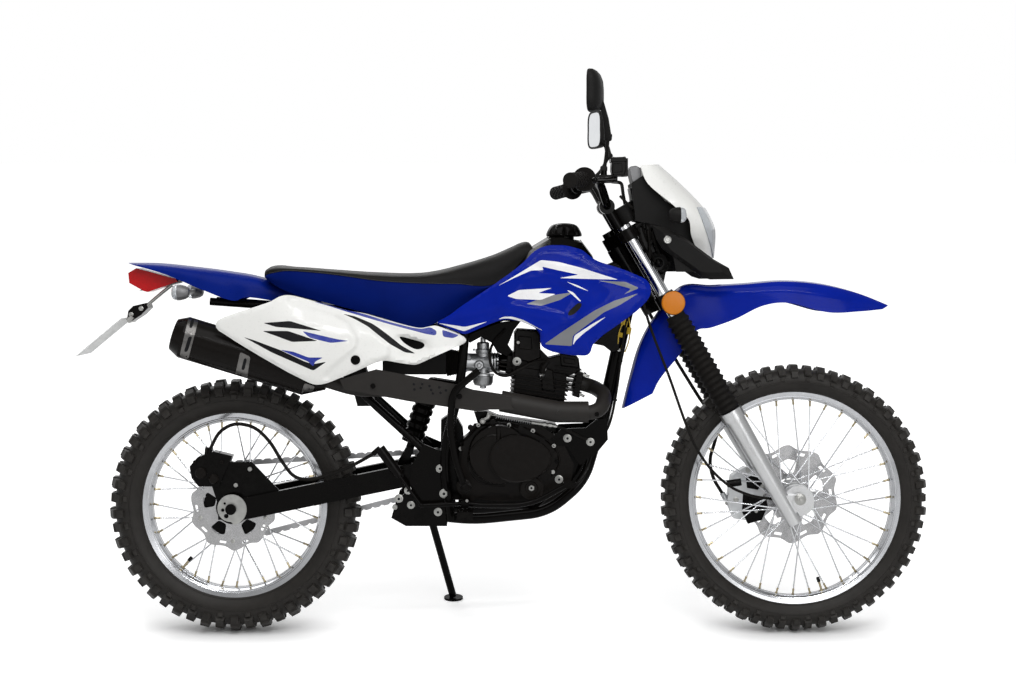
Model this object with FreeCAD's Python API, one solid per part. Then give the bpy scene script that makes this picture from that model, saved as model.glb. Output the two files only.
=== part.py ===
import FreeCAD, Part
import math
import os
from FreeCAD import Vector

# A dual sport motorcycle, leaning on its side stand, in millimetres.
# It is drawn upright first: X forward from the front axle, Y to the left, Z up from the ground.
# At the end every piece is leaned over together and moved so that the origin is under its middle.

# Driving sizes of the whole machine
wheelbase = 1458.0
lean_angle = 8.0
rake_angle = 30.0
steering_offset = 75.0
seam = 0.3
overrun = 4.0
sheet = 3.0

# Tyres: the radius is at the lugs' tips
front_tyre_radius = 347.0
front_bead_radius = 267.0
front_tyre_width = 82.0
front_lug_height = 12.0
front_lug_length = 26.0
front_lug_width = 30.0
front_pitches = 27
rear_tyre_radius = 328.0
rear_bead_radius = 229.0
rear_tyre_width = 102.0
rear_lug_height = 14.0
rear_lug_length = 30.0
rear_lug_width = 38.0
rear_pitches = 24

lean = math.radians(lean_angle)
slope = math.tan(lean)
front_axle_height = front_tyre_radius + front_lug_width / 2 * slope
rear_axle_height = rear_tyre_radius + rear_lug_width / 2 * slope
front_centre = Vector(0, 0, front_axle_height)
rear_centre = Vector(-wheelbase, 0, rear_axle_height)

# The steering axis: its foot level with the front axle, the way up it and the way forward square to it
rake = math.radians(rake_angle)
steer_up = Vector(-math.sin(rake), 0, math.cos(rake))
steer_ahead = Vector(math.cos(rake), 0, math.sin(rake))
steer_foot = front_centre - steer_ahead * steering_offset


def on_fork(ahead, y, up):
    """A place ahead of the steering axis, to the left, and up along it from the axle's level."""
    place = steer_foot + steer_ahead * ahead + steer_up * up
    return Vector(place.x, y, place.z)


def outline(shares, corner, size):
    """Side view points (x, z) from shares of a box, given its low corner and its size."""
    return [(corner[0] + u * size[0], corner[1] + v * size[1]) for u, v in shares]


def face_of(points):
    return Part.Face(Part.makePolygon(points + points[:1]))


def plate(points, y_from, y_to):
    """A flat plate with a side view outline, between two planes across the machine."""
    return face_of([Vector(x, y_from, z) for x, z in points]).extrude(Vector(0, y_to - y_from, 0))


def block(x_from, x_to, y_from, y_to, z_from, z_to):
    return Part.makeBox(x_to - x_from, y_to - y_from, z_to - z_from, Vector(x_from, y_from, z_from))


def rod(start, end, radius):
    way = end - start
    return Part.makeCylinder(radius, way.Length, start, way)


def taper(start, end, start_radius, end_radius):
    way = end - start
    return Part.makeCone(start_radius, end_radius, way.Length, start, way)


def cross_rod(x, z, radius, y_from, y_to):
    return Part.makeCylinder(radius, y_to - y_from, Vector(x, y_from, z), Vector(0, 1, 0))


def tube(points, radius, bend_share=0.45):
    """A round bar of straight runs joined by tangent arcs, each as large as its two runs allow."""
    pieces = []
    at = points[0]
    for before, corner, after in zip(points, points[1:], points[2:]):
        back = (before - corner).normalize()
        on = (after - corner).normalize()
        reach = bend_share * min((before - corner).Length, (after - corner).Length)
        half = back.getAngle(on) / 2
        start = corner + back * reach
        centre = corner + (back + on).normalize() * (reach / math.cos(half))
        section = Part.Face(Part.Wire(Part.makeCircle(radius, start, back)))
        axis = (start - centre).cross(back * -1)
        pieces.append(rod(at, start, radius))
        pieces.append(section.revolve(centre, axis, 180 - math.degrees(2 * half)))
        at = corner + on * reach
    return joined(rod(at, points[-1], radius), *pieces)


def loft(sections, ruled=True):
    return Part.makeLoft([Part.makePolygon(s + s[:1]) for s in sections], True, ruled)


def mirrored(shape):
    return shape.mirror(Vector(0, 0, 0), Vector(0, 1, 0))


def both_sides(shape):
    return Part.makeCompound([shape, mirrored(shape)])


def joined(first, *others):
    """One solid from pieces that run into each other."""
    return first.multiFuse(list(others)).removeSplitter()


def turned(profile, centre):
    """A ring or disc spun round the cross axis through centre, from (radius, y) points."""
    points = [Vector(centre.x, centre.y + y, centre.z + r) for r, y in profile]
    return face_of(points).revolve(centre, Vector(0, 1, 0), 360)


def channel(stations, thick, shares):
    """A bent shell open on one side: each station is (spine x, spine z, edge x, edge z, half width)."""
    sections = []
    for spine_x, spine_z, edge_x, edge_z, half in stations:
        spine = Vector(spine_x, 0, spine_z)
        drop = Vector(edge_x, 0, edge_z) - spine
        down = Vector(drop).normalize()
        outer = [spine + drop * v + Vector(0, u * half, 0) for u, v in shares]
        inner = [spine + drop * v + Vector(0, u * (half - thick), 0) + down * (thick * (1 - v)) for u,
                 v in shares]
        wing = [Vector(p.x, -p.y, p.z) for p in outer[1:]]
        under = [Vector(p.x, -p.y, p.z) for p in inner[1:]]
        sections.append(wing[::-1] + outer + inner[::-1] + under)
    return loft(sections)


def skin(stations, thick):
    """A curved sheet on the right: each station is (x, [(distance out, z), ...]) from its top down."""
    sections = []
    for x, line in stations:
        outer = [Vector(x, -out, z) for out, z in line]
        inner = [Vector(x, thick - out, z) for out, z in line]
        curve = Part.BSplineCurve()
        curve.interpolate(outer)
        back = Part.BSplineCurve()
        back.interpolate(inner)
        edges = [curve.toShape(), Part.LineSegment(outer[-1], inner[-1]).toShape(), back.toShape(),
                 Part.LineSegment(inner[0], outer[0]).toShape()]
        sections.append(Part.Wire(Part.__sortEdges__(edges)))
    return Part.makeLoft(sections, True, False)


# Tyre carcass and shoulder lug sections: (share of height from bead to lug tip, share of half width)
carcass_shares = [(0.0, 0.50), (0.17, 0.50), (0.24, 0.78), (0.45, 1.0), (0.70, 0.88), (0.84, 0.44)]
shoulder_lug_shares = [(0.965, 0.52), (0.86, 0.93), (0.62, 1.07), (0.56, 0.80), (0.78, 0.42)]


def tyre(centre, radius, bead, width, lug_height, lug_length, lug_width, pitches):
    """A knobbly tyre: a faceted carcass with a middle lug and two shoulder lugs in every pitch, in turn."""
    height = radius - bead
    half = width / 2
    profile = [(bead + seam + height * u, half * v) for u, v in carcass_shares]
    ring = profile + [(r, -y) for r, y in profile[::-1]]
    step = 2 * math.pi / pitches
    grow = 1 / math.cos(step / 2)
    turns = [step * (i - 0.5) for i in range(pitches + 1)]

    def corner(r, y, turn):
        return Vector(r * grow * math.sin(turn), y, -r * grow * math.cos(turn))

    faces = []
    for low, high in zip(turns, turns[1:]):
        for (r1, y1), (r2, y2) in zip(ring, ring[1:] + ring[:1]):
            faces.append(face_of([corner(r1, y1, low), corner(r2, y2, low),
                                  corner(r2, y2, high), corner(r1, y1, high)]))
    shell = Part.makeShell(faces)
    shell.sewShape()
    carcass = Part.makeSolid(shell)
    if carcass.Volume < 0:
        carcass.reverse()
    run = Vector(lug_length, 0, 0)
    back = -lug_length / 2
    base = radius - 2 * lug_height
    middle = face_of([Vector(back, -lug_width / 2, -radius), Vector(back, lug_width / 2, -radius),
                      Vector(back, lug_width / 2, -base), Vector(back, -lug_width / 2, -base)]).extrude(run)
    side = face_of([Vector(back, half * v, -bead - height * u) for u, v in shoulder_lug_shares]).extrude(run)
    lugs = []
    for i in range(2 * pitches):
        for lug in ([middle] if i % 2 == 0 else [side, mirrored(side)]):
            lug = lug.copy()
            lug.rotate(Vector(0, 0, 0), Vector(0, 1, 0), -math.degrees(step / 2 * i))
            lugs.append(lug)
    whole = carcass.multiFuse(lugs)
    whole.translate(centre)
    return whole


# Rim and spokes
rim_lip = 12.5
rim_wall = 3.0
rim_well = 8.0
front_rim_width = 46.0
rear_rim_width = 58.0
spoke_radius = 1.9
spoke_sets = 9
spoke_lead_angle = 48.0


def rim(centre, bead, width, tyre_width):
    """A deep rim: its side walls stand just outside the tyre's beads."""
    half = width / 2
    bed = bead - rim_wall
    lip = tyre_width / 2 * carcass_shares[0][1] + seam
    side = [(bead + rim_lip, max(half, lip) + rim_wall), (bead + rim_lip, max(half, lip)), (bead, lip),
            (bead, lip / 2), (bead - rim_well, lip / 3)]
    under = [(bed - rim_well, -lip / 3), (bed - rim_well / 3, -lip), (bead, -lip - rim_wall)]
    profile = side + [(r, -y) for r, y in side[::-1]] + under[::-1] + [(r, -y) for r, y in under]
    return turned(profile, centre)


def spokes(centre, bead, hub_radius, hub_half, flange):
    """Four sets of crossed spokes, each from its own side of a hub flange to the rim."""
    reach = bead - rim_wall - rim_well - seam - spoke_radius / 2
    whole = []
    count = spoke_sets * 4
    for i in range(count):
        side = 1 if i % 2 == 0 else -1
        lead = 1 if i % 4 < 2 else -1
        at_rim = 2 * math.pi / count * i
        at_hub = at_rim + lead * math.radians(spoke_lead_angle)
        off = lead * (flange / 2 + spoke_radius + 3 * seam)
        seat_radius = hub_radius - spoke_radius
        start = Vector(seat_radius * math.sin(at_hub), side * (hub_half + off),
                       seat_radius * math.cos(at_hub))
        end = Vector(reach * math.sin(at_rim), side * rim_well / 4, reach * math.cos(at_rim))
        whole.append(rod(centre + start, centre + end, spoke_radius))
    return Part.makeCompound(whole)


# Hubs, discs and sprocket
front_hub_radius = 42.0
front_hub_half = 30.0
hub_flange = 5.0
front_hub_core = 24.0
front_axle_radius = 8.0
front_disc_radius = 130.0
front_disc_place = 54.0
disc_thickness = 4.0
front_hub_reach = front_disc_place + disc_thickness
disc_waves = 10
disc_wave_height = 5.0
disc_clearance = 2.0
rear_hub_radius = 48.0
rear_hub_half = 34.0
rear_hub_core = 32.0
rear_axle_radius = 8.5
rear_disc_radius = 112.0
rear_disc_place = 66.0
sprocket_radius = 92.0
sprocket_thickness = 6.0
sprocket_teeth = 46
sprocket_tooth_height = 5.0
sprocket_holes = 6
chain_place = 66.0
disc_seat = 0.8


def hub(centre, radius, half, core, reach, bore):
    outer = half + hub_flange / 2
    inner = half - hub_flange / 2
    nose = core * disc_seat
    side = [(bore, reach), (nose, reach), (nose, outer), (radius, outer), (radius, inner), (core, inner)]
    return turned(side + [(r, -y) for r, y in side[::-1]], centre)


window_shares = [(0.50, -0.24), (0.74, -0.19), (0.74, 0.19), (0.50, 0.08)]
slot_shares = [(0.82, -0.11), (0.92, -0.03), (0.90, 0.09), (0.85, 0.09)]


def wave_disc(centre, y, radius, bore):
    """A brake disc with a wavy rim, a ring of slots near it and wide windows inside."""
    points = []
    steps = disc_waves * 6
    for i in range(steps):
        turn = 2 * math.pi * i / steps
        reach = radius - disc_wave_height * (1 - math.cos(disc_waves * turn)) / 2
        points.append((centre.x + reach * math.sin(turn), centre.z + reach * math.cos(turn)))
    disc = plate(points, y - disc_thickness / 2, y + disc_thickness / 2)
    cuts = [cross_rod(centre.x, centre.z, bore, y - disc_thickness, y + disc_thickness)]
    for i in range(disc_waves):
        for half_turn, hole in ((0, window_shares), (1, slot_shares)):
            at = 2 * math.pi * (i + half_turn / 2) / disc_waves
            ring = [(centre.x + radius * u * math.sin(at + w), centre.z + radius * u * math.cos(at + w))
                    for u, w in hole]
            cuts.append(plate(ring, y - disc_thickness, y + disc_thickness))
    return disc.cut(cuts)


tooth_shares = ((-0.32, 0), (-0.10, 1), (0.10, 1), (0.32, 0))


def sprocket(centre, y, radius, bore, teeth, holes):
    points = []
    for i in range(teeth):
        for turn_share, rise in tooth_shares:
            turn = 2 * math.pi * (i + turn_share) / teeth
            reach = radius - sprocket_tooth_height * (1 - rise)
            points.append((centre.x + reach * math.sin(turn), centre.z + reach * math.cos(turn)))
    disc = plate(points, y - sprocket_thickness / 2, y + sprocket_thickness / 2)
    middle = (radius + bore) / 2
    cuts = [cross_rod(centre.x, centre.z, bore, y - sprocket_thickness, y + sprocket_thickness)]
    for i in range(holes):
        turn = 2 * math.pi * i / holes
        cuts.append(cross_rod(centre.x + middle * math.sin(turn), centre.z + middle * math.cos(turn),
                              radius / 6, y - sprocket_thickness, y + sprocket_thickness))
    return disc.cut(cuts)


# Swing arm, its axle adjusters and the rear shock
pivot_x = -927.0
pivot_z = 432.0
pivot_radius = 14.0
arm_inner = 80.0
arm_thickness = 24.0
arm_depth = 56.0
arm_tail = 34.0
arm_brace_x = -1058.0
arm_brace_length = 36.0
arm_brace_height = 44.0
arm_outer = arm_inner + arm_thickness
axle_nut_radius = 14.0
axle_nut_height = 10.0
adjuster_radius = 33.0
adjuster_rise = 9.0
adjuster_thickness = 4.0
adjuster_hole = 6.0
adjuster_steps = 36
shock_foot_x = -1006.0
shock_foot_z = 470.0
shock_head_x = -946.0
shock_head_z = 650.0
shock_eye = 12.0
shock_ear = 20.0
shock_ear_thickness = 6.0
coil_radius = 28.0
coil_wire = 5.0
coil_turns = 6
carrier_thickness = 5.0
rear_hub_reach = arm_inner - carrier_thickness - overrun


def arm_middle(x):
    """The height of the arm's middle line at a place along it."""
    return rear_centre.z + (x - rear_centre.x) * (pivot_z - rear_centre.z) / (pivot_x - rear_centre.x)


def swing_arm():
    """Two box arms with a cross brace and a pivot collar; the rear axle and its nuts are part of it."""
    half = arm_depth / 2
    axle_x, axle_z = rear_centre.x, rear_centre.z
    side = plate([(axle_x - arm_tail, axle_z - half), (axle_x + arm_tail, axle_z - half),
                  (pivot_x, pivot_z - half), (pivot_x + pivot_radius, pivot_z - half / 2),
                  (pivot_x + pivot_radius, pivot_z + half / 2), (pivot_x, pivot_z + half),
                  (axle_x + arm_tail, axle_z + half), (axle_x - arm_tail, axle_z + half * 0.8)],
                 -arm_outer, -arm_inner)
    brace_z = arm_middle(arm_brace_x)
    brace = block(arm_brace_x, arm_brace_x + arm_brace_length, -arm_inner - overrun, arm_inner + overrun,
                  brace_z - arm_brace_height / 2, brace_z + arm_brace_height / 2)
    collar = cross_rod(pivot_x, pivot_z, pivot_radius, -arm_inner - overrun, arm_inner + overrun)
    nut_out = arm_outer + adjuster_thickness + axle_nut_height
    axle = cross_rod(axle_x, axle_z, rear_axle_radius - seam, -nut_out, nut_out)
    nut = cross_rod(axle_x, axle_z, axle_nut_radius, nut_out - axle_nut_height, nut_out - seam)
    ear = plate([(arm_brace_x, brace_z), (arm_brace_x + arm_brace_length, brace_z),
                 (shock_foot_x + shock_eye, shock_foot_z), (shock_foot_x, shock_foot_z + shock_eye),
                 (shock_foot_x - shock_eye, shock_foot_z)], shock_ear, shock_ear + shock_ear_thickness)
    return joined(side, mirrored(side), brace, collar, axle, nut, mirrored(nut), ear, mirrored(ear))


def axle_adjusters():
    """A snail cam with a row of holes on each end of the rear axle, which sets the chain's tension."""
    points = []
    for i in range(adjuster_steps):
        turn = 2 * math.pi * i / adjuster_steps
        reach = adjuster_radius + adjuster_rise * i / adjuster_steps
        points.append((rear_centre.x - reach * math.sin(turn), rear_centre.z - reach * math.cos(turn)))
    cam = plate(points, -arm_outer - adjuster_thickness, -arm_outer)
    bore = cross_rod(rear_centre.x, rear_centre.z, rear_axle_radius, -arm_outer - 2 * adjuster_thickness,
                     -arm_inner)
    cuts = [bore]
    for i, share in enumerate((1.0, 0.75, 0.55)):
        turn = math.radians(215 + 48 * i)
        cuts.append(cross_rod(rear_centre.x + adjuster_radius * 0.66 * math.sin(turn),
                              rear_centre.z + adjuster_radius * 0.66 * math.cos(turn),
                              adjuster_hole * share, -arm_outer - 2 * adjuster_thickness, -arm_inner))
    return both_sides(cam.cut(cuts))


shock_coil_shares = (0.20, 0.86)
shock_cap_shares = (0.88, 0.92)


def rear_shock():
    """The spring and damper with their two eyes."""
    foot = Vector(shock_foot_x, 0, shock_foot_z)
    head = Vector(shock_head_x, 0, shock_head_z)
    way = head - foot
    length = way.Length
    way.normalize()
    low, high = shock_coil_shares
    turn = (high - low) / coil_turns
    line = [(0, low / 2), (coil_radius, low * 0.6), (coil_radius, low * 0.9)]
    for i in range(coil_turns):
        at = low + turn * i
        line += [(coil_radius - coil_wire, at), (coil_radius, at + 0.25 * turn),
                 (coil_radius, at + 0.75 * turn),
                 (coil_radius - coil_wire, at + turn)]
    line += [(coil_radius, shock_cap_shares[0]), (coil_radius, shock_cap_shares[1]),
             (0, shock_cap_shares[1])]
    side = Vector(way.z, 0, -way.x)
    coil = face_of([foot + side * r + way * (length * u) for r, u in line]).revolve(foot, way, 360)
    eyes = [cross_rod(p.x, p.z, shock_eye, -shock_ear, shock_ear) for p in (foot, head)]
    return joined(coil, rod(foot, head, shock_eye * 0.9), *eyes)


# Frame
low_clamp = 604.0
clamp_thickness = 32.0
race_height = 16.0
head_length = 145.0
head_bottom = low_clamp + clamp_thickness + race_height
head_top = head_bottom + head_length
head_radius = 26.0
stem_radius = 16.0
down_tube_radius = 18.0
cradle_radius = 13.0
cradle_half = 98.0
mast_radius = 12.0
spine_radius = 20.0
rail_radius = 10.0
rail_half = 62.0
gusset_thickness = 6.0
gusset_inner = 115.0
gusset_x = -1047.0
gusset_z = 289.0
gusset_length = 150.0
gusset_height = 210.0
gusset_shares = [(0.0, 0.10), (0.25, 0.0), (0.95, 0.0), (1.0, 0.35), (0.88, 0.90), (0.55, 1.0), (0.35, 0.75),
                 (0.30, 0.45), (0.08, 0.30)]
waist_x = -858.0
waist_z = 792.0
mast_bend_z = 650.0
down_foot_x = -501.0
down_foot_z = 545.0
cradle_front_x = -553.0
cradle_front_z = 400.0
cradle_low_x = -646.0
cradle_low_z = 322.0
cradle_back_x = -838.0
cradle_back_z = 302.0
rail_tail_x = -1518.0
rail_tail_z = 862.0
shock_tube_x = -868.0
shock_tube_z = 640.0
strut_top_x = -1306.0
strut_top_z = 836.0
strut_elbow_x = -1127.0
strut_elbow_z = 630.0
mount_thickness = 5.0
mount_half = 70.0
mount_x = -640.0
mount_z = 440.0
mount_length = 150.0
mount_height = 120.0
mount_shares = [(0.0, 0.55), (0.10, 0.42), (0.30, 0.40), (0.52, 0.0), (0.70, 0.10), (1.0, 0.55), (0.98, 1.0),
                (0.80, 0.98), (0.62, 0.80), (0.20, 0.78)]


def frame():
    """The single down tube, the spine, the two cradle tubes, the masts, the pivot and engine plates."""
    head = rod(on_fork(0, 0, head_bottom), on_fork(0, 0, head_top), head_radius)
    foot = Vector(down_foot_x, 0, down_foot_z)
    waist = Vector(waist_x, 0, waist_z)
    pieces = [rod(foot, on_fork(0, 0, head_bottom + 2 * head_radius), down_tube_radius),
              rod(waist, on_fork(0, 0, head_top - 2 * head_radius), spine_radius),
              cross_rod(waist_x, waist_z, cradle_radius, -cradle_half, cradle_half),
              Part.makeSphere(down_tube_radius, foot), Part.makeSphere(spine_radius, waist)]
    shape = outline(gusset_shares, (gusset_x, gusset_z), (gusset_length, gusset_height))
    engine_plate = outline(mount_shares, (mount_x, mount_z), (mount_length, mount_height))
    mast_low_x = pivot_x + 1.5 * pivot_radius
    mast_out = gusset_inner + gusset_thickness / 2
    for s in (-1, 1):
        side = s * cradle_half
        pieces.append(tube([foot + Vector(0, s * down_tube_radius / 2, 0),
                            Vector(cradle_front_x, side, cradle_front_z),
                            Vector(cradle_low_x, side, cradle_low_z),
                            Vector(cradle_back_x, side, cradle_back_z),
                            Vector(mast_low_x - gusset_length / 3, side, cradle_back_z + cradle_radius)],
                           cradle_radius, 0.4))
        pieces.append(tube([Vector(waist_x, side, waist_z), Vector(waist_x - mast_radius, side, mast_bend_z),
                            Vector(mast_low_x - mast_radius, s * mast_out, pivot_z + 2 * pivot_radius),
                            Vector(mast_low_x + mast_radius, s * mast_out, cradle_back_z)], mast_radius))
        pieces.append(plate(shape, s * gusset_inner, s * (gusset_inner + gusset_thickness)))
        pieces.append(Part.makeSphere(cradle_radius, Vector(waist_x, side, waist_z)))
        pieces.append(plate(engine_plate, s * mount_half, s * (mount_half + mount_thickness)))
    pieces.append(cross_rod(down_foot_x - down_tube_radius, down_foot_z - down_tube_radius,
                            down_tube_radius * 0.7,
                            -mount_half - mount_thickness, mount_half + mount_thickness))
    pieces.append(cross_rod(pivot_x, pivot_z, pivot_radius / 2, -gusset_inner - gusset_thickness,
                            gusset_inner + gusset_thickness))
    pieces.append(cross_rod(shock_tube_x, shock_tube_z, mast_radius * 0.9, -cradle_half, cradle_half))
    ear = plate([(shock_tube_x, shock_tube_z - mast_radius * 0.8),
                 (shock_tube_x, shock_tube_z + mast_radius * 0.8),
                 (shock_head_x, shock_head_z + shock_eye), (shock_head_x - shock_eye, shock_head_z),
                 (shock_head_x, shock_head_z - shock_eye)], shock_ear + seam,
                 shock_ear + shock_ear_thickness)
    eye_half = stand_radius
    boss = rod(stand_pivot - stand_axis * (stand_out - gusset_inner + overrun),
               stand_pivot - stand_axis * (eye_half + seam), stand_radius * 1.4)
    pin = rod(stand_pivot - stand_axis * (eye_half + overrun),
              stand_pivot + stand_axis * (eye_half + overrun),
              stand_pin)
    bore = rod(on_fork(0, 0, head_bottom - overrun), on_fork(0, 0, head_top + overrun), stem_radius + seam)
    return joined(head, ear, mirrored(ear), boss, pin, *pieces).cut(bore)


def subframe():
    """The seat rails and the bent struts that hold them up from the pivot plates."""
    pieces = []
    for s in (-1, 1):
        side = s * rail_half
        low = s * (gusset_inner - rail_radius)
        pieces.append(rod(Vector(waist_x, side, waist_z + cradle_radius + rail_radius),
                          Vector(rail_tail_x, side, rail_tail_z), rail_radius))
        pieces.append(tube([Vector(strut_top_x, side, strut_top_z),
                            Vector(strut_elbow_x, s * cradle_half, strut_elbow_z),
                            Vector(pivot_x - 2 * pivot_radius, low, pivot_z + 3 * pivot_radius)],
                            rail_radius, 0.3))
    cross = [cross_rod(x, z, rail_radius, -rail_half, rail_half)
             for x, z in ((rail_tail_x + rail_radius * 2, rail_tail_z), (strut_top_x, strut_top_z))]
    return joined(pieces[0], *(pieces[1:] + cross))


# Engine
case_length = 300.0
case_height = 200.0
case_x = -878.0
case_z = 346.0
case_half = 74.0
case_left = 54.0
shaft_radius = 9.0
case_shares = [(0.0, 0.35), (0.10, 0.05), (0.35, 0.0), (0.80, 0.02), (0.97, 0.20), (1.0, 0.48), (0.90, 0.78),
               (0.72, 0.98), (0.40, 1.02), (0.22, 1.0), (0.02, 0.75)]
cover_x = -870.0
cover_z = 352.0
cover_length = 250.0
cover_height = 200.0
cover_flange = 12.0
cover_depth = 34.0
cover_lid = 9.0
cover_bolt = 7.0
cover_shares = [(0.0, 0.10), (0.02, 0.0), (0.16, 0.02), (0.30, 0.10), (0.62, 0.05), (0.78, 0.12),
                (0.94, 0.40),
                (0.98, 0.62), (0.84, 0.80), (0.64, 0.93), (0.40, 1.0), (0.14, 0.98), (0.04, 0.78),
                (0.0, 0.50)]
cover_bolt_shares = [(0.03, 0.66), (0.10, 0.93), (0.33, 1.0), (0.62, 0.92), (0.84, 0.76), (0.97, 0.58),
                     (0.91, 0.36),
                     (0.80, 0.14), (0.52, 0.06), (0.12, 0.02)]
drum_x = -772.0
drum_z = 470.0
drum_radius = 80.0
lid_x = -718.0
lid_z = 460.0
lid_length = 80.0
lid_height = 60.0
filter_x = -688.0
filter_z = 388.0
filter_radius = 31.0
dynamo_x = -692.0
dynamo_z = 458.0
dynamo_radius = 70.0
dynamo_depth = 46.0
cylinder_angle = 14.0
cylinder_x = -688.0
cylinder_z = 540.0
cylinder_half = 46.0
fin_half_length = 76.0
fin_half_width = 66.0
fin_thickness = 3.0
fin_pitch = 10.0
fin_count = 9
head_height = 78.0
head_fin_count = 5
port_rise = 36.0
port_side = 22.0
valve_cap = 20.0
carb_bore = 21.0
pipe_radius = 19.0


def egg(x, z, length, height, points=24):
    """An egg-shaped outline with its point ahead."""
    turns = [2 * math.pi * i / points for i in range(points)]
    return [(x + length * math.cos(t), z + height * math.sin(t) * (1 - 0.18 * math.cos(t))) for t in turns]


def crankcase():
    """The engine case, its right cover with drum, lid, filter boss and bolt bosses, and the left cover."""
    case = plate(outline(case_shares, (case_x, case_z), (case_length, case_height)), -case_half, case_left)
    corner, size = (cover_x, cover_z), (cover_length, cover_height)
    rim_out = case_half + cover_flange
    body_out = case_half + cover_depth
    rim_plate = plate(outline(cover_shares, corner, size), -rim_out, -case_half)
    bosses = [cross_rod(x, z, cover_bolt, -rim_out - cover_flange / 3, -case_half)
              for x, z in outline(cover_bolt_shares, corner, size)]
    drum = taper(Vector(drum_x, -case_half, drum_z), Vector(drum_x, -body_out, drum_z), drum_radius,
                 drum_radius * 0.93)
    lid = plate(egg(lid_x, lid_z, lid_length, lid_height), -body_out - cover_lid, -case_half)
    oil = cross_rod(filter_x, filter_z, filter_radius, -body_out + cover_lid, -case_half)
    left = cross_rod(dynamo_x, dynamo_z, dynamo_radius, case_left, case_left + dynamo_depth)
    kick = cross_rod(peg_x, kick_z, kick_radius * 1.5, -body_out, -case_half)
    shaft = cross_rod(front_sprocket_x, front_sprocket_z, shaft_radius, case_left,
                      chain_place + sprocket_thickness)
    return joined(case, rim_plate, drum, lid, oil, left, shaft, kick, *bosses)


def cylinder():
    """The finned barrel and head in one, leaning forward from the case's top."""
    barrel_top = fin_count * fin_pitch + fin_pitch
    core = block(-cylinder_half, cylinder_half, -cylinder_half, cylinder_half, 0, barrel_top)
    pieces = [block(-fin_half_length, fin_half_length, -fin_half_width, fin_half_width,
                    (i + 1) * fin_pitch, (i + 1) * fin_pitch + fin_thickness) for i in range(fin_count)]
    head_half = cylinder_half * 1.1
    top = barrel_top + head_height
    port = barrel_top + port_rise
    pieces.append(block(-head_half, head_half, -head_half, head_half, barrel_top - overrun, top))
    for i in range(head_fin_count):
        z = barrel_top + (i + 1) * fin_pitch
        pieces.append(block(-fin_half_length, fin_half_length, -fin_half_width, fin_half_width, z,
                            z + fin_thickness))
    pieces.append(block(-head_half * 0.8, head_half * 0.8, -fin_half_width, fin_half_width,
                        top - fin_pitch * 1.5, top))
    for along in (-valve_cap * 1.6, valve_cap * 1.6):
        pieces.append(cross_rod(along, top - valve_cap, valve_cap, -fin_half_width - overrun, 0))
    pieces.append(rod(Vector(-fin_half_length - overrun, 0, port), Vector(0, 0, port), carb_bore * 1.2))
    pieces.append(rod(Vector(0, -port_side, port), Vector(fin_half_length + overrun, -port_side, port),
                      pipe_radius * 1.3))
    whole = joined(core, *pieces)
    whole.rotate(Vector(0, 0, 0), Vector(0, 1, 0), cylinder_angle)
    whole.translate(Vector(cylinder_x, 0, cylinder_z))
    return whole


def on_cylinder(along, y, up):
    turn = math.radians(cylinder_angle)
    return Vector(cylinder_x + along * math.cos(turn) + up * math.sin(turn), y,
                  cylinder_z - along * math.sin(turn) + up * math.cos(turn))


# Carburettor and airbox
carb_x = -810.0
carb_radius = 24.0
carb_bowl = 30.0
carb_height = 120.0
airbox_x = -1073.0
airbox_length = 165.0
airbox_half = 48.0
airbox_low = 672.0
airbox_high = 800.0


def carburettor():
    port = on_cylinder(-fin_half_length - overrun, 0, (fin_count + 1) * fin_pitch + port_rise)
    z = port.z + carb_bowl / 3
    body = rod(Vector(carb_x, 0, z - carb_height / 3), Vector(carb_x, 0, z + carb_height / 3), carb_radius)
    bowl = block(carb_x - carb_bowl, carb_x + carb_bowl * 0.8, -carb_bowl, carb_bowl,
                 z - carb_height / 2, z - carb_height / 4)
    cap = rod(Vector(carb_x, 0, z + carb_height / 3 - overrun),
              Vector(carb_x, 0, z + carb_height / 3 + carb_bowl / 3), carb_radius * 1.15)
    throat = rod(Vector(airbox_x + airbox_length, 0, z), Vector(carb_x, 0, z), carb_bore)
    boot = taper(Vector(airbox_x + airbox_length, 0, z), Vector(carb_x - carb_bowl * 1.5, 0, z),
                 carb_bore * 1.9,
                 carb_bore * 1.25)
    manifold = rod(Vector(carb_x, 0, z), port, carb_bore)
    return joined(body, bowl, cap, throat, boot, manifold)


def airbox():
    return block(airbox_x, airbox_x + airbox_length, -airbox_half, airbox_half, airbox_low, airbox_high)


# Exhaust
muffler_radius = 54.0
muffler_side = 128.0
muffler_tail_x = -1576.0
muffler_tail_z = 772.0
muffler_nose_x = -1208.0
muffler_nose_z = 661.0
muffler_end = 26.0
muffler_outlet = 15.0
pipe_out = 150.0
pipe_bend_x = -496.0
pipe_bend_z = 622.0
pipe_elbow_x = -518.0
pipe_elbow_z = 580.0
pipe_front_x = -622.0
pipe_front_z = 583.0
pipe_back_x = -768.0
pipe_back_z = 611.0
pipe_tail_x = -978.0
pipe_tail_z = 640.0


def muffler():
    """The round silencer with tapered ends and its open outlet."""
    tail = Vector(muffler_tail_x, -muffler_side, muffler_tail_z)
    nose = Vector(muffler_nose_x, -muffler_side, muffler_nose_z)
    way = (nose - tail).normalize()
    body = rod(tail, nose - way * muffler_radius, muffler_radius)
    back = taper(tail, tail - way * muffler_end, muffler_radius, muffler_radius * 0.75)
    front = taper(nose - way * muffler_radius, nose, muffler_radius, pipe_radius * 1.3)
    outlet = rod(tail, tail - way * (muffler_end + overrun), muffler_outlet)
    return joined(body, back, front).cut(outlet)


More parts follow.
